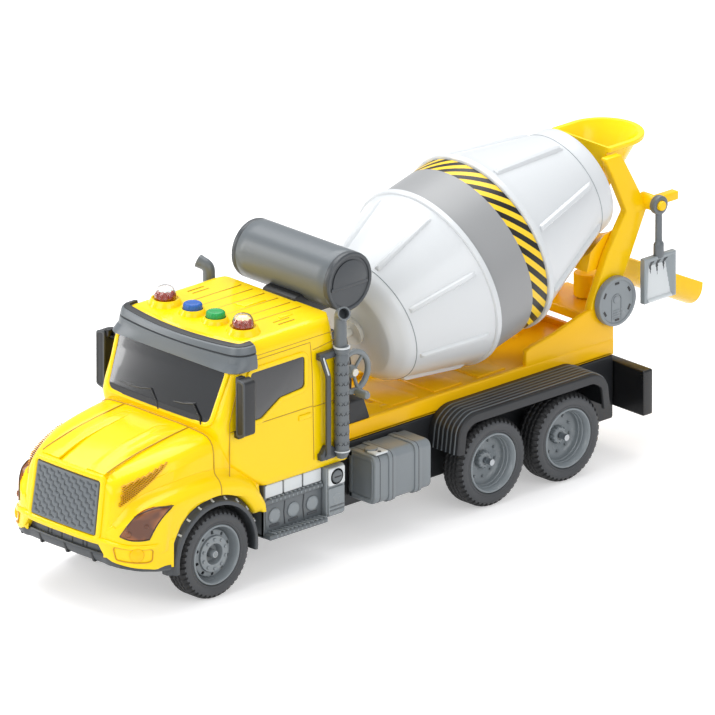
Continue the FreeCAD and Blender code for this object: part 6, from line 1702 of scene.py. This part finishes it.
axle_blocks = [both(block((x - 4.0, 22.0, 15.6), (x + 4.0, 28.6, 27.0), 0.8))
               for x in (FRONT_X, DRIVE_X, LAST_X)]
piece("chassis_tray", [(joined(tray, *tray_ribs, *screw_bosses, *axle_blocks), "grey_black")],
      "truck", ["chassis_frame"])

# %% Eight screws hold the mouldings down; the front pair sits in the raised nose
def screw_form(x, y, seat):
    """A pan head with a cross recess, then its shank up to where the modelled screws end."""
    head = turned([(0, seat + 0.75), (0.5, seat + 0.7), (1.7, seat + 0.02), (2.3, seat + 0.1),
                   (2.55, seat + 0.5), (2.55, seat + 1.5),
                   (1.1, seat + 1.55), (1.1, 27.9), (0, 28.0)], (x, y, 0), (0, 0, 1), 32)
    # The cross recess is a dark block: painted shade.
    cross = [block((x - w, y - d, seat + 0.02), (x + w, y + d, seat + 0.9), 0.05, 1) for w,
             d in ((1.5, 0.3), (0.3, 1.5))]
    return head, joined(*cross)


SCREW_PLACES = [(x, y) for x in (FRONT_X + 34, FRONT_X - 80, (DRIVE_X + LAST_X) / 2,
                                 LAST_X - 33) for y in (14.0, -14.0)]
screws = [screw_form(x, y, 26.2 if x > FRONT_X else 14.02) for x, y in SCREW_PLACES]
piece("body_screw_set", [(joined(*[s[0] for s in screws]), "steel"),
                         (joined(*[s[1] for s in screws]), "rim_shade")],
      "truck", ["body_screws"])

# %% [markdown]
# ## The water tank and its saddle
# The tank is a grey drum across the truck with a flat pressed end: a raised rim, a lower disc and
# an arched ledge. One turned profile makes the shell, and another makes an end and its rim.

# %% Turn the tank
TANK_AT = np.array([F - 95.4, 0.0, 127.8])


def end_ledge(side):
    """A half-moon pressed on the tank's end: a low step under an arch."""
    outline = [(TANK_AT[0] + 10.6 * math.cos(a), TANK_AT[2] + 10.6 * math.sin(a))
               for a in np.radians(np.linspace(-8, 188, 29))]
    y = sorted((side * 31.6, side * 32.5))
    return slab(np.array(outline), y, "XZ", 0.25, 2)


def end_bar(side):
    """The level ridge across the tank's end."""
    y = sorted((side * 31.6, side * 32.58))
    return block((TANK_AT[0] - 11.6, y[0], 125.2), (TANK_AT[0] + 11.6, y[1], 126.9), 0.3)


piece("tank_shell",
      [(turned(fine([(0, -29.6), (14.05, -29.6), (14.3, -29.2), (14.3, 29.2), (14.05, 29.6),
                     (0, 29.6)], 5.0), TANK_AT, (0, 1, 0), 96), "grey_trim")],
      "truck", ["water_tank"])
cap_profile = [(0, 29.2), (14.0, 29.2), (14.25, 29.7), (14.28, 31.2), (14.1, 32.1), (13.5, 32.6),
               (12.7, 32.6), (12.3, 32.4), (12.1, 31.9), (0, 31.9)]
cap_form = turned(fine(cap_profile, 4.0), TANK_AT, (0, 1, 0), 96)
piece("tank_ends", [(both(joined(cap_form, end_ledge(1), end_bar(1))), "grey_dark")], "truck",
      ["tank_end_caps"])

# %% The saddle that holds it
saddle_line = [(F - 79.0, 117.0), (F - 79.0, 118.4), (F - 81.0, 119.2), (F - 84.5, 119.6),
               (F - 100.0, 114.4), (F - 105.6, 114.4), (F - 105.6, 108.4),
               (F - 79.6, 108.4), (F - 78.6, 117.0)]
saddle = slab(rounded(saddle_line, 0.8, 3), (-9.0, 12.8), "XZ", 0.6, 3)
piece("tank_saddle", [(saddle, "grey_black")], "truck", ["tank_bracket"])

# %% [markdown]
# ## The mixing drum
# The drum is two light cones and a grey band, all turned about one tilted line. The ribs on the
# cones are separate lofts laid along the slope. The warning stripes are a generic pattern: the
# band's texture coordinates run round and across it, and a node slants and divides them.

# %% Drum helpers: places along and around its line
def drum_turned(profile, steps=128):
    """Turn (radius, distance to the rear) about the drum's line."""
    return turned(profile, DRUM_AT, DRUM_AXIS, steps)


DRUM_UP = np.array([DRUM_AXIS[2], 0, -DRUM_AXIS[0]])
DRUM_SIDE = np.array([0.0, 1.0, 0.0])


def drum_point(radius, s, angle):
    """A place at a radius, a distance along, and an angle round from the side toward the top."""
    ray = np.cos(angle)[..., None] * DRUM_SIDE + np.sin(angle)[..., None] * DRUM_UP
    return DRUM_AT + np.asarray(s)[..., None] * DRUM_AXIS + np.asarray(radius)[..., None] * ray


def drum_rib(s0, r0, s1, r1, angle, wide=1.35, proud=1.45):
    """A bar along the cone: a trapezium section, sinking into the cone at both ends."""
    s = np.array([s0, s0 + 0.6, s0 + 1.8, s1 - 3.6, s1 - 1.2, s1])
    radius = np.interp(s, sorted((s0, s1)), (r0, r1) if s0 < s1 else (r1, r0))
    lift = np.array([-0.4, 0.5, 1.0, 1.0, 0.35, -0.4]) * proud
    shape = [(-1.25, -0.6), (-0.86, 0.62), (-0.5, 1.0), (0.5, 1.0), (0.86, 0.62), (1.25, -0.6)]
    rows = []
    for across, up in shape:
        r = radius + np.where(up > 0, lift * up, -0.6)
        rows.append(drum_point(r, s, angle + across * wide / radius))
    return grid_form(np.stack(rows, 1), wrap_v=True, caps=True)


def groove_shade_cord(radius, s, width):
    """A fine cord round the drum at one place along: painted shade for a groove."""
    turn = np.linspace(0, 2 * math.pi, 97)[:-1]
    path = drum_point(np.full(96, radius), np.full(96, s), turn)
    return carried(path, circle(width, 8), loop=True, up=DRUM_AXIS)


RIB_TURNS = np.radians(22.5 + 45 * np.arange(8))

# %% Front cone
front_line = [(0, -50.3), (22.8, -50.3), (23.8, -49.9), (25.6, -48.4), (28.4, -45.9), (30.2, -43.9),
              (30.9, -42.4), (44.3, -2.4), (44.6, -1.6),
              (45.4, -1.55), (45.9, -1.2), (46.0, 0.0), (45.9, 1.2), (45.4, 1.55), (44.2, 1.6),
              (0, 1.6)]
front_cone = drum_turned(fine(front_line, 6.0))
front_ribs = [drum_rib(-39.0, 32.1, -4.0, 43.8, np.float64(t)) for t in RIB_TURNS]
piece("drum_front", [(front_cone, "drum_grey"), (joined(*front_ribs), "drum_grey"),
                     (groove_shade_cord(31.6, -40.4, 0.22), "grey_pale")],
      "drum", ["drum_front_shell"], sharp=28)

# %% Rear cone, mouth and collar
rear_line = [(0, 33.1), (44.2, 33.1), (45.4, 33.15), (45.9, 33.5), (46.0, 34.7), (45.9, 35.9),
             (45.4, 36.25), (44.6, 36.3), (44.2, 37.0), (28.5, 85.6),
             (28.2, 86.6), (27.4, 94.4), (27.0, 95.0), (25.4, 95.05), (25.0, 94.6), (24.8, 88.0),
             (0, 80.0)]
rear_cone = drum_turned(fine(rear_line, 6.0))
rear_ribs = [drum_rib(38.2, 43.85, 84.6, 29.2, np.float64(t), 1.5, 1.45) for t in RIB_TURNS]
piece("drum_rear", [(rear_cone, "drum_grey"), (joined(*rear_ribs), "drum_grey"),
                    (groove_shade_cord(28.4, 86.2, 0.15), "grey_pale")],
      "drum", ["drum_rear_shell"], sharp=28)

# %% The band and its stripes
def striped(name, count=29.0, slant=1.7, edge=(0.665, 0.945)):
    """UV u is the turn round the band, v the way across; count slanted bars lie between edges."""
    material, tree, shader = new_material(name)
    uv = add(tree, "ShaderNodeUVMap", uv_map="UVMap")
    split = add(tree, "ShaderNodeSeparateXYZ")
    turn = add(tree, "ShaderNodeMath", {1: count}, operation="MULTIPLY")
    lean = add(tree, "ShaderNodeMath", {1: count * slant / 9.0}, operation="MULTIPLY")
    total = add(tree, "ShaderNodeMath", operation="ADD")
    part = add(tree, "ShaderNodeMath", operation="FRACT")
    bar = add(tree, "ShaderNodeMath", {1: 0.5}, operation="LESS_THAN")
    above = add(tree, "ShaderNodeMath", {1: edge[0]}, operation="GREATER_THAN")
    below = add(tree, "ShaderNodeMath", {1: edge[1]}, operation="LESS_THAN")
    inside = add(tree, "ShaderNodeMath", operation="MULTIPLY")
    link(tree, (uv, "UV", split, 0), (split, "X", turn, 0), (split, "Y", lean, 0),
         (turn, 0, total, 0), (lean, 0, total, 1),
         (total, 0, part, 0), (part, 0, bar, 0), (split, "Y", above, 0), (split, "Y", below, 0),
         (above, 0, inside, 0), (below, 0, inside, 1))
    pair = add(tree, "ShaderNodeMix", {6: linear((246, 205, 34)), 7: linear((14, 12, 10))},
               data_type="RGBA")
    skin = add(tree, "ShaderNodeMix", {6: linear((150, 151, 152))}, data_type="RGBA")
    noise = add(tree, "ShaderNodeTexNoise", {"Scale": 900.0, "Detail": 2.0})
    rough = add(tree, "ShaderNodeMapRange", {3: 0.34, 4: 0.42})
    place = add(tree, "ShaderNodeTexCoord")
    link(tree, (place, "Object", noise, "Vector"), (noise, 0, rough, 0),
         (rough, 0, shader, "Roughness"),
         (bar, 0, pair, 0), (inside, 0, skin, 0), (pair, 2, skin, 7),
         (skin, 2, shader, "Base Color"))
    return material


BAND_WIDE = 34.7


def band_uv(points):
    """Texture places from the drum's own line: u round it, v across the band."""
    points = points - DRUM_AT
    turn = np.arctan2(points @ DRUM_UP, points @ DRUM_SIDE) / (2 * math.pi) % 1.0
    return turn, points @ DRUM_AXIS / BAND_WIDE


striped("warning_stripes")
band = drum_turned(fine([(0, 1.6), (44.3, 1.6), (44.5, 1.8), (44.5, 32.9), (44.3, 33.1), (0, 33.1)],
                        6.0), 144)
band_thing = piece("drum_girdle", [(band, "warning_stripes")], "drum", ["drum_band"])
band_layer = band_thing.data.uv_layers.new(name="UVMap")
corner_points = np.array([band_thing.data.vertices[loop.vertex_index].co
                          for loop in band_thing.data.loops]) / MM
turn, across = band_uv(corner_points)
starts = np.array([polygon.loop_start for polygon in band_thing.data.polygons])
sizes = np.array([polygon.loop_total for polygon in band_thing.data.polygons])
owner = np.repeat(np.arange(len(starts)), sizes)
wide = np.maximum.reduceat(turn, starts) - np.minimum.reduceat(turn, starts) > 0.5
turn = np.where(wide[owner] & (turn < 0.5), turn + 1, turn)
band_layer.data.foreach_set("uv", np.column_stack([turn, across]).ravel().astype(np.float32))
print("stripe coordinates on", len(turn), "corners")

# %% [markdown]
# ## The rear frame, hopper and chute
# Two bent plates carry the hopper, the drum's cradle and the peg for the shovel. Each plate is an
# outline with real thickness and soft edges. The hopper is a funnel of D shapes, closed inside
# and out, and the chute is a half pipe that rides its own moving body.

# %% Side plates
def at_last(points):
    """Places given behind the last axle, as (back, height), to x and z."""
    return [(LAST_X - back, z) for back, z in points]


leg_line = at_last([(27.6, 54.0), (34.6, 75.0), (44.2, 95.5), (56.4, 114.0), (43.0, 142.9),
                    (53.2, 142.9), (69.8, 113.4), (58.8, 90.6), (47.9, 70.0), (47.9, 54.0)])
leg_outline = rounded(leg_line, (1.0, 2.0, 2.0, 2.0, 1.2, 1.2, 1.6, 3.0, 3.0, 1.0), 5)
leg_plate = slab(leg_outline, (20.1, 24.55), "XZ", 0.7, 3)
leg_boss = turned([(0, -2.3), (9.5, -2.3), (10.0, -1.8), (10.0, 1.8), (9.5, 2.3), (0, 2.3)],
                  (LAST_X - 47, 22.5, 72.9), (0, 1, 0), 40)
arm_outline = rounded(at_last(rectangle(62.0, 111.9, 89.8, 116.1)), 0.6, 3)
arm_plate = slab(arm_outline, (20.3, 24.7), "XZ", 0.5, 2)
peg_pin = turned([(0, 20.1), (3.7, 20.1), (3.7, 28.7), (3.5, 29.0), (2.4, 29.1), (2.4, 33.5),
                  (2.0, 34.1), (0, 34.2)], (LAST_X - 70.7, 0, 115.6), (0, 1, 0), 32)
left_and_right("rear_plate", [(joined(leg_plate, leg_boss, arm_plate, peg_pin), "yellow_frame")],
               "rear_frame",
               [(joined(leg_plate, leg_boss), "yellow_frame")])

# %% The hopper
def d_loop(front, centre, radius, z, steps=40):
    """A closed D seen from above: a straight front edge with soft corners, half a circle behind."""
    angle = np.radians(np.linspace(90, 270, steps))
    arc = np.column_stack([LAST_X - centre + radius * np.cos(angle), radius * np.sin(angle)])
    corner = [(LAST_X - front - 0.5, -radius), (LAST_X - front, -radius + 0.5),
              (LAST_X - front, radius - 0.5), (LAST_X - front - 0.5, radius)]
    loop = np.concatenate([arc, corner])
    return np.column_stack([loop, np.full(len(loop), z)])


HOPPER_FOOT, HOPPER_TALL = 120, 25.5


def hopper_form():
    """Loops up the outside, over the rim, and down the inside, wider toward the top."""
    def funnel(front, throat, heights):
        share = [(z - HOPPER_FOOT) / HOPPER_TALL for z in heights]
        return [d_loop(front, 56 + 8 * t, throat + 9.7 * t ** 0.9, z) for t,
                z in zip(share, heights)]

    rows = funnel(50, 8.5, (120.05, 120.3, 125, 130, 135, 140, 143.0))
    rows += [d_loop(50, 64, 19.2, 143.1), d_loop(50, 64, 19.75, 143.5), d_loop(50, 64, 19.8, 145.1),
             d_loop(50, 64, 19.5, 145.5),
             d_loop(51.2, 64, 17.0, 145.5), d_loop(51.5, 64, 16.7, 145.2)]
    rows += funnel(51.6, 6.9, (141, 136, 131, 126, 121.5, 120.4, 120.05))
    return grid_form(np.stack(rows), wrap_u=True, wrap_v=True)


gusset_line = at_last([(50.4, 121.0), (50.4, 142.8), (54.5, 142.8), (62.5, 133.0), (57.5, 121.0)])
gussets = both(slab(rounded(gusset_line, 0.8, 3), (9.0, 11.4), "XZ", 0.4, 2))
piece("hopper_bowl", [(joined(hopper_form(), gussets), "yellow_gloss")], "truck", ["hopper"])

# %% Cradle under the drum's end, and the chute's shelf
def cradle_form():
    """A block between the plates whose top follows the drum's collar, sampled across and along."""
    y = np.linspace(-19.9, 19.9, 41)
    rows = []
    for back, lean in ((35.2, 4.0), (41.5, 8.0), (47.8, 12.0)):
        x = LAST_X - back - lean * 0.6
        top = np.full(len(y), 105.8)
        for k, across in enumerate(y):
            s = np.linspace(30, 95, 200)
            radius = np.interp(s, [30, 36.3, 36.9, 85.6, 94.4, 95],
                               [46.6, 46.6, 46.0, 30.4, 28.2, 28.0]) + 0.5
            inside = np.abs(across) < radius
            drop = np.sqrt(np.maximum(radius ** 2 - across ** 2, 0))
            low = DRUM_AT + s[:, None] * DRUM_AXIS - drop[:, None] * DRUM_UP
            order = np.argsort(low[inside, 0])
            height = np.interp(x, low[inside, 0][order], low[inside, 2][order])
            top[k] = np.clip(height - 0.6, 89.5, 105.8)
        foot = np.full(len(y), 88.1)
        rows.append(np.concatenate([np.column_stack([np.full(41, x), y, top]),
                                    np.column_stack([np.full(41, LAST_X - back), y, foot])[::-1]]))
    return grid_form(np.stack(rows), wrap_v=True, caps=True)


piece("cradle_block", [(cradle_form(), "yellow_bed")], "truck", ["drum_cradle"])
shelf_outline = rectangle(LAST_X - 61.0, -19.9, LAST_X - 36.0, 19.9)
shelf = slab(rounded(shelf_outline, 0.8, 3), (62.05, 66.65), "XY", 0.5, 3)
shelf_pin = turned([(0, 63), (2.5, 63), (2.5, 75.6), (2.1, 76.3), (0, 76.5)], (LAST_X - 54, 0, 0),
                   (0, 0, 1), 28)
piece("chute_shelf", [(joined(shelf, shelf_pin), "yellow_bed")], "truck", ["chute_bracket"])

# %% The chute
CHUTE_DOWN = math.radians(26.5)
CHUTE_DIR = np.array([-math.cos(CHUTE_DOWN), 0.0, -math.sin(CHUTE_DOWN)])
CHUTE_UP = np.array([-math.sin(CHUTE_DOWN), 0.0, math.cos(CHUTE_DOWN)])
CHUTE_AT = np.array([LAST_X - 54.0, 0.0, 92.3])
CHUTE_OUT, CHUTE_MIDDLE, CHUTE_IN = 12.0, 11.2, 10.4


def chute_form():
    """A half pipe: for each place along the slope, an outer arc, two lips and an inner arc."""
    x_start, x_end = LAST_X - 59.8, -199.4
    arc = np.radians(np.linspace(181, 359, 33))
    section = [(CHUTE_OUT * math.cos(a), CHUTE_OUT * math.sin(a)) for a in arc]
    section += [(CHUTE_OUT, -0.15), (11.6, 0.0), (10.8, 0.0), (CHUTE_IN, -0.15)]
    section += [(CHUTE_IN * math.cos(a), CHUTE_IN * math.sin(a)) for a in arc[::-1]]
    section += [(-CHUTE_IN, -0.15), (-10.8, 0.0), (-11.6, 0.0), (-CHUTE_OUT, -0.15)]
    rows = []
    for x, shrink in ((x_start, 0.92), (x_start - 0.5, 1.0),
                      *((x, 1.0) for x in np.linspace(x_start - 4, x_end + 4, 12)),
                      (x_end + 0.5, 1.0), (x_end, 0.96)):
        ring = []
        for y, up in section:
            middle = CHUTE_MIDDLE * np.array([y, up]) / max(math.hypot(y, up), 1e-6)
            y2, up2 = middle + (np.array([y, up]) - middle) * shrink
            lift = CHUTE_UP * up2
            t = (x - CHUTE_AT[0] - lift[0]) / CHUTE_DIR[0]
            ring.append(CHUTE_AT + CHUTE_DIR * t + lift + (0, y2, 0))
        rows.append(np.array(ring))
    return grid_form(np.array(rows), wrap_v=True, caps=True)


chute_boss = turned([(2.62, 67.1), (5.6, 67.1), (6.0, 67.5), (6.0, 78.0), (5.6, 78.4), (0, 78.45),
                     (0, 77.0), (2.62, 76.9)], (LAST_X - 54, 0, 0), (0, 0, 1), 36)
chute_rib = slab(rounded(at_last([(54.5, 67.2), (54.5, 78.2), (74.0, 79.2), (71.6, 72.0),
                                  (65.6, 67.2)]), 0.5, 3), (-1.9, 1.9), "XZ", 0.4, 2)
piece("chute_pipe", [(joined(chute_form(), chute_boss, chute_rib), "yellow_frame")], "chute",
      ["chute"])

# %% [markdown]
# ## The shovel and the reel discs
# Both are grey, hung on the plates' outer faces. The blade is a dished sheet: its depth is a
# function over the outline, flat at the rim, sloping down the sides to the middle, with three
# flutes pressed at the top. The disc's small relief is generic: slots round a rim, and an arch.

# %% The blade as a height over a grid
PEG_X = LAST_X - 70.7
BLADE_HALF, BLADE_LONG, BLADE_FOOT = 10.2, 22.0, 69.0


def blade_form():
    """Depth = rim level, then a slope to the pan; flutes are narrow triangles pressed deeper."""
    u = np.concatenate([[-1, -0.975], np.linspace(-0.95, 0.95, 61), [0.975, 1]])[None, :]
    v = np.concatenate([[0, 0.02], np.linspace(0.04, 0.97, 61), [0.985, 1]])[:, None]
    x, z = PEG_X + BLADE_HALF * u + 0 * v, BLADE_FOOT + BLADE_LONG * v + 0 * u
    side = BLADE_HALF * (1 - np.abs(u)) + 0 * v
    top, low = BLADE_LONG * (1 - v) + 0 * u, BLADE_LONG * v + 0 * u
    wall = np.minimum(side, top)
    slope = np.clip((wall - 1.1) / (1.4 + 3.0 * v), 0, 1)
    deep = np.minimum(slope, np.clip((low - 1.1) / 0.8, 0, 1)) * (1.0 + 1.9 * v)
    flutes = 0 * x
    for centre, long in ((-4.3, 7.6), (0.0, 8.6), (4.3, 7.6)):
        half = 1.5 * np.clip(1 - (top - 2.2) / long, 0, 1)
        flutes = np.maximum(flutes, eased((half - np.abs(x - PEG_X - centre)) / 0.3) * (top > 2.2))
    y = 32.55 - deep - 0.08 * flutes
    rim = np.minimum(side, np.minimum(top, low))
    y = y - 0.35 * (1 - eased(rim / 0.4))
    upper = np.stack([x, y, z], -1)
    lower = np.stack([x, 0 * x + 29.2 + 0.3 * (1 - eased(rim / 0.4)), z], -1)
    points, faces = closed_sheet(upper, lower)
    # The pan takes a brighter grey, a painted highlight, and the flutes a dark grey, painted shade.
    pan = 2 * (slope[:-1, :-1] > 0.99)
    marks = sheet_marks(np.where(flutes[:-1, :-1] > 0.4, 1, pan), len(faces))
    return (points, faces), ("grey_pale", "rim_shade", "grey_bright"), marks


ring_profile = [(2.5, -1.5), (2.9, -1.7), (3.6, -1.7), (4.4, -1.5), (4.6, -0.9), (4.6, 0.9),
                (4.4, 1.5), (3.6, 1.7), (2.9, 1.7), (2.5, 1.5)]
ring_eye = turned(ring_profile, (PEG_X, 31.1, 115.6), (0, 1, 0), 40, loop=True)
shaft_line = fine([(0, 89.6), (2.6, 89.8), (2.85, 91.2), (2.85, 96.2), (2.6, 96.9), (1.95, 97.6),
                   (1.9, 111.4), (2.1, 112.2), (0, 112.4)], 3.0)
shaft = turned(shaft_line, (0, 0, 0), (0, 0, 1), 28)
shaft = (shaft[0] * (1, 0.72, 1) + (PEG_X, 31.1, 0), shaft[1])
piece("toy_shovel", [blade_form(), (joined(ring_eye, shaft), "grey_trim")], "shovel", ["shovel"],
      sharp=40)

# %% The reel discs
DISC_AT = np.array([LAST_X - 47.0, 25.05, 72.9])
disc_profile = [(0, 0), (11.6, 0), (12.0, 0.4), (12.0, 2.9), (11.8, 3.35), (11.3, 3.5), (10.7, 3.5),
                (10.4, 3.3), (10.2, 2.9), (0, 2.85)]
disc_body = turned(fine(disc_profile, 2.0), DISC_AT, (0, 1, 0), 72)
slots, relief = [], []
for k in range(6):
    turn = math.radians(30 + 60 * k)
    ray = np.array([math.cos(turn), 0, math.sin(turn)])
    side = np.array([-math.sin(turn), 0, math.cos(turn)])
    corners = [DISC_AT + ray * r + side * s for r, s in ((8.3, -1.4), (9.5, -1.4), (9.5, 1.4),
        (8.3, 1.4))]
    low = np.array(corners) + (0, 2.4, 0)
    # Each slot is a thin near black plate: painted shade for the opening.
    slots.append(grid_form(np.stack([low, low + (0, 0.55, 0)]), wrap_v=True, caps=True))
arch_line = [(DISC_AT[0] - 2.6, DISC_AT[2] - 9.2), (DISC_AT[0] - 2.6, DISC_AT[2] + 0.6)]
arch_line += [(DISC_AT[0] + 3.0 * math.cos(a) + 0.4, DISC_AT[2] + 0.6 + 3.0 * math.sin(a))
              for a in np.radians(np.linspace(180, 0, 17))]
arch_line += [(DISC_AT[0] + 3.4, DISC_AT[2] - 9.0)]
arch_path = np.array([(x, DISC_AT[1] + 2.95, z) for x, z in arch_line])
relief.append(carried(fine(arch_path, 1.2), circle(0.22, 8), up=(0, 1, 0)))
relief.append(turned([(0, 2.6), (1.7, 2.6), (1.7, 3.1), (1.4, 3.2), (0, 3.2)],
                     DISC_AT + (0.6, 0, 1.0), (0, 1, 0), 24))
for k in range(4):
    z = DISC_AT[2] - 4.6 - 1.25 * k
    relief.append(block((DISC_AT[0] - 1.6, DISC_AT[1] + 2.7, z),
                        (DISC_AT[0] + 2.6, DISC_AT[1] + 3.1, z + 0.5), 0.12, 2))
piece("reel_disc_pair", [(both(joined(disc_body, *relief)), "rim_grey"),
                         (both(joined(*slots)), "grey_black")], "truck", ["reel_discs"])

# %% [markdown]
# ## Finishes for the CAD nodes that stay
# Inner pieces such as the axles, the cells and the gears already have their shape. They keep
# their CAD mesh and only take a finish on their own slot.

# %% Dress the CAD nodes that are still shown
KEPT_FINISHES = {
    "steel": ("_axle",), "cell_wrap": ("batteries",), "board_green": ("circuit_board",),
    "nylon_white": ("drive_gear", "flywheel", "motor_case", "crank_shaft", "drum_shaft"),
    "speaker_black": ("speaker",), "grey_black": ("battery_cover",),
}
for name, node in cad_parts.items():
    if node.hide_render:
        continue
    finish = next((f for f, ends in KEPT_FINISHES.items() if name.endswith(ends)), None)
    if finish is None:
        finish = "grey_black"
        print("no finish named for", name)
    node.data.materials.clear()
    node.data.materials.append(FINISHES[finish])

# %% [markdown]
# ## Floor, light and camera
# The toy stands on a plain pale floor that runs out to white. The floor is plain diffuse, so that
# it keeps the soft shadow, and gives a little light of its own to the camera and to reflections
# only, so that it fades to white without any more light on the truck.

# %% Lay the floor
def pale_floor():
    """Diffuse plus a faint glow that only the camera, reflections and clear plastic see."""
    material = bpy.data.materials.new("floor_pale")
    material.use_nodes = True
    tree = material.node_tree
    tree.nodes.clear()
    diffuse = add(tree, "ShaderNodeBsdfDiffuse", {"Color": (0.80, 0.79, 0.79, 1)})
    glow = add(tree, "ShaderNodeEmission")
    rays = add(tree, "ShaderNodeLightPath")
    seen = add(tree, "ShaderNodeMath", operation="MAXIMUM")
    through = add(tree, "ShaderNodeMath", operation="MAXIMUM")
    share = add(tree, "ShaderNodeMath", {1: 0.40}, operation="MULTIPLY")
    total, output = add(tree, "ShaderNodeAddShader"), add(tree, "ShaderNodeOutputMaterial")
    link(tree, (rays, "Is Camera Ray", seen, 0), (rays, "Is Glossy Ray", seen, 1),
         (seen, 0, through, 0),
         (rays, "Is Transmission Ray", through, 1), (through, 0, share, 0),
         (share, 0, glow, "Strength"),
         (diffuse, 0, total, 0), (glow, 0, total, 1), (total, 0, output, "Surface"))
    return material


floor_mesh = bpy.data.meshes.new("floor")
FLOOR_HALF = 6.0
corners = [(x * FLOOR_HALF, y * FLOOR_HALF, 0.0) for x, y in ((-1, -1), (1, -1), (1, 1), (-1, 1))]
floor_mesh.from_pydata(corners, [], [(0, 1, 2, 3)])
floor_mesh.materials.append(pale_floor())
floor = bpy.data.objects.new("floor", floor_mesh)
bpy.context.scene.collection.objects.link(floor)

# %% Light it softly
world = bpy.data.worlds.new("studio")
bpy.context.scene.world = world
world.use_nodes = True
sky = world.node_tree
sky.nodes.clear()
ambient = add(sky, "ShaderNodeBackground", {"Color": (0.95, 0.97, 1.0, 1), "Strength": 0.60})
white = add(sky, "ShaderNodeBackground", {"Color": (1, 1, 1, 1), "Strength": 1.0})
rays = add(sky, "ShaderNodeLightPath")
choose, sky_out = add(sky, "ShaderNodeMixShader"), add(sky, "ShaderNodeOutputWorld")
any_seen = add(sky, "ShaderNodeMath", operation="MAXIMUM")
link(sky, (rays, "Is Camera Ray", any_seen, 0), (rays, "Is Transmission Ray", any_seen, 1),
     (any_seen, 0, choose, 0), (ambient, 0, choose, 1), (white, 0, choose, 2),
     (choose, 0, sky_out, 0))


def softbox(name, at, aim, width, height, power):
    """A rectangular area lamp at a point, turned to face another."""
    lamp = bpy.data.lights.new(name, "AREA")
    lamp.shape, lamp.size, lamp.size_y, lamp.energy = "RECTANGLE", width, height, power
    holder = bpy.data.objects.new(name, lamp)
    holder.location = at
    holder.rotation_euler = (Vector(aim) - Vector(at)).to_track_quat("-Z", "Y").to_euler()
    holder.visible_camera = False
    bpy.context.scene.collection.objects.link(holder)
    return holder


softbox("overhead", (-0.25, -0.45, 1.35), (0, 0, 0.06), 1.5, 1.2, 19.0)
softbox("nose_side", (1.45, 0.1, 0.75), (0, 0, 0.06), 0.9, 0.9, 7.0)
softbox("near_side", (0.2, 1.55, 0.8), (0, 0, 0.08), 1.6, 0.8, 8.5)
softbox("far_front", (0.73, -0.856, 0.439), (0.13, 0, 0.095), 0.2, 0.6, 3.2)

# %% Stand the camera where the toy is seen from
AIM = Vector((11.5, 0.0, 73.1)) * MM
AZIMUTH, ELEVATION = math.radians(136.5), math.radians(20.2)
LENS, SENSOR, SEEN_WIDTH = 1500.0, 36.0, 0.3306
DISTANCE = SEEN_WIDTH * LENS / SENSOR
away = Vector((math.sin(AZIMUTH) * math.cos(ELEVATION), -math.cos(AZIMUTH) * math.cos(ELEVATION),
               math.sin(ELEVATION)))
lens = bpy.data.cameras.new("camera")
lens.lens, lens.sensor_width = LENS, SENSOR
camera = bpy.data.objects.new("camera", lens)
camera.location = AIM + away * DISTANCE
camera.rotation_euler = (-away).to_track_quat("-Z", "Y").to_euler()
bpy.context.scene.collection.objects.link(camera)
bpy.context.scene.camera = camera
bpy.context.scene.view_settings.view_transform = "Standard"

# %% Measure and finish
print(len(MADE), "new pieces,", sum(MADE.values()), "faces")
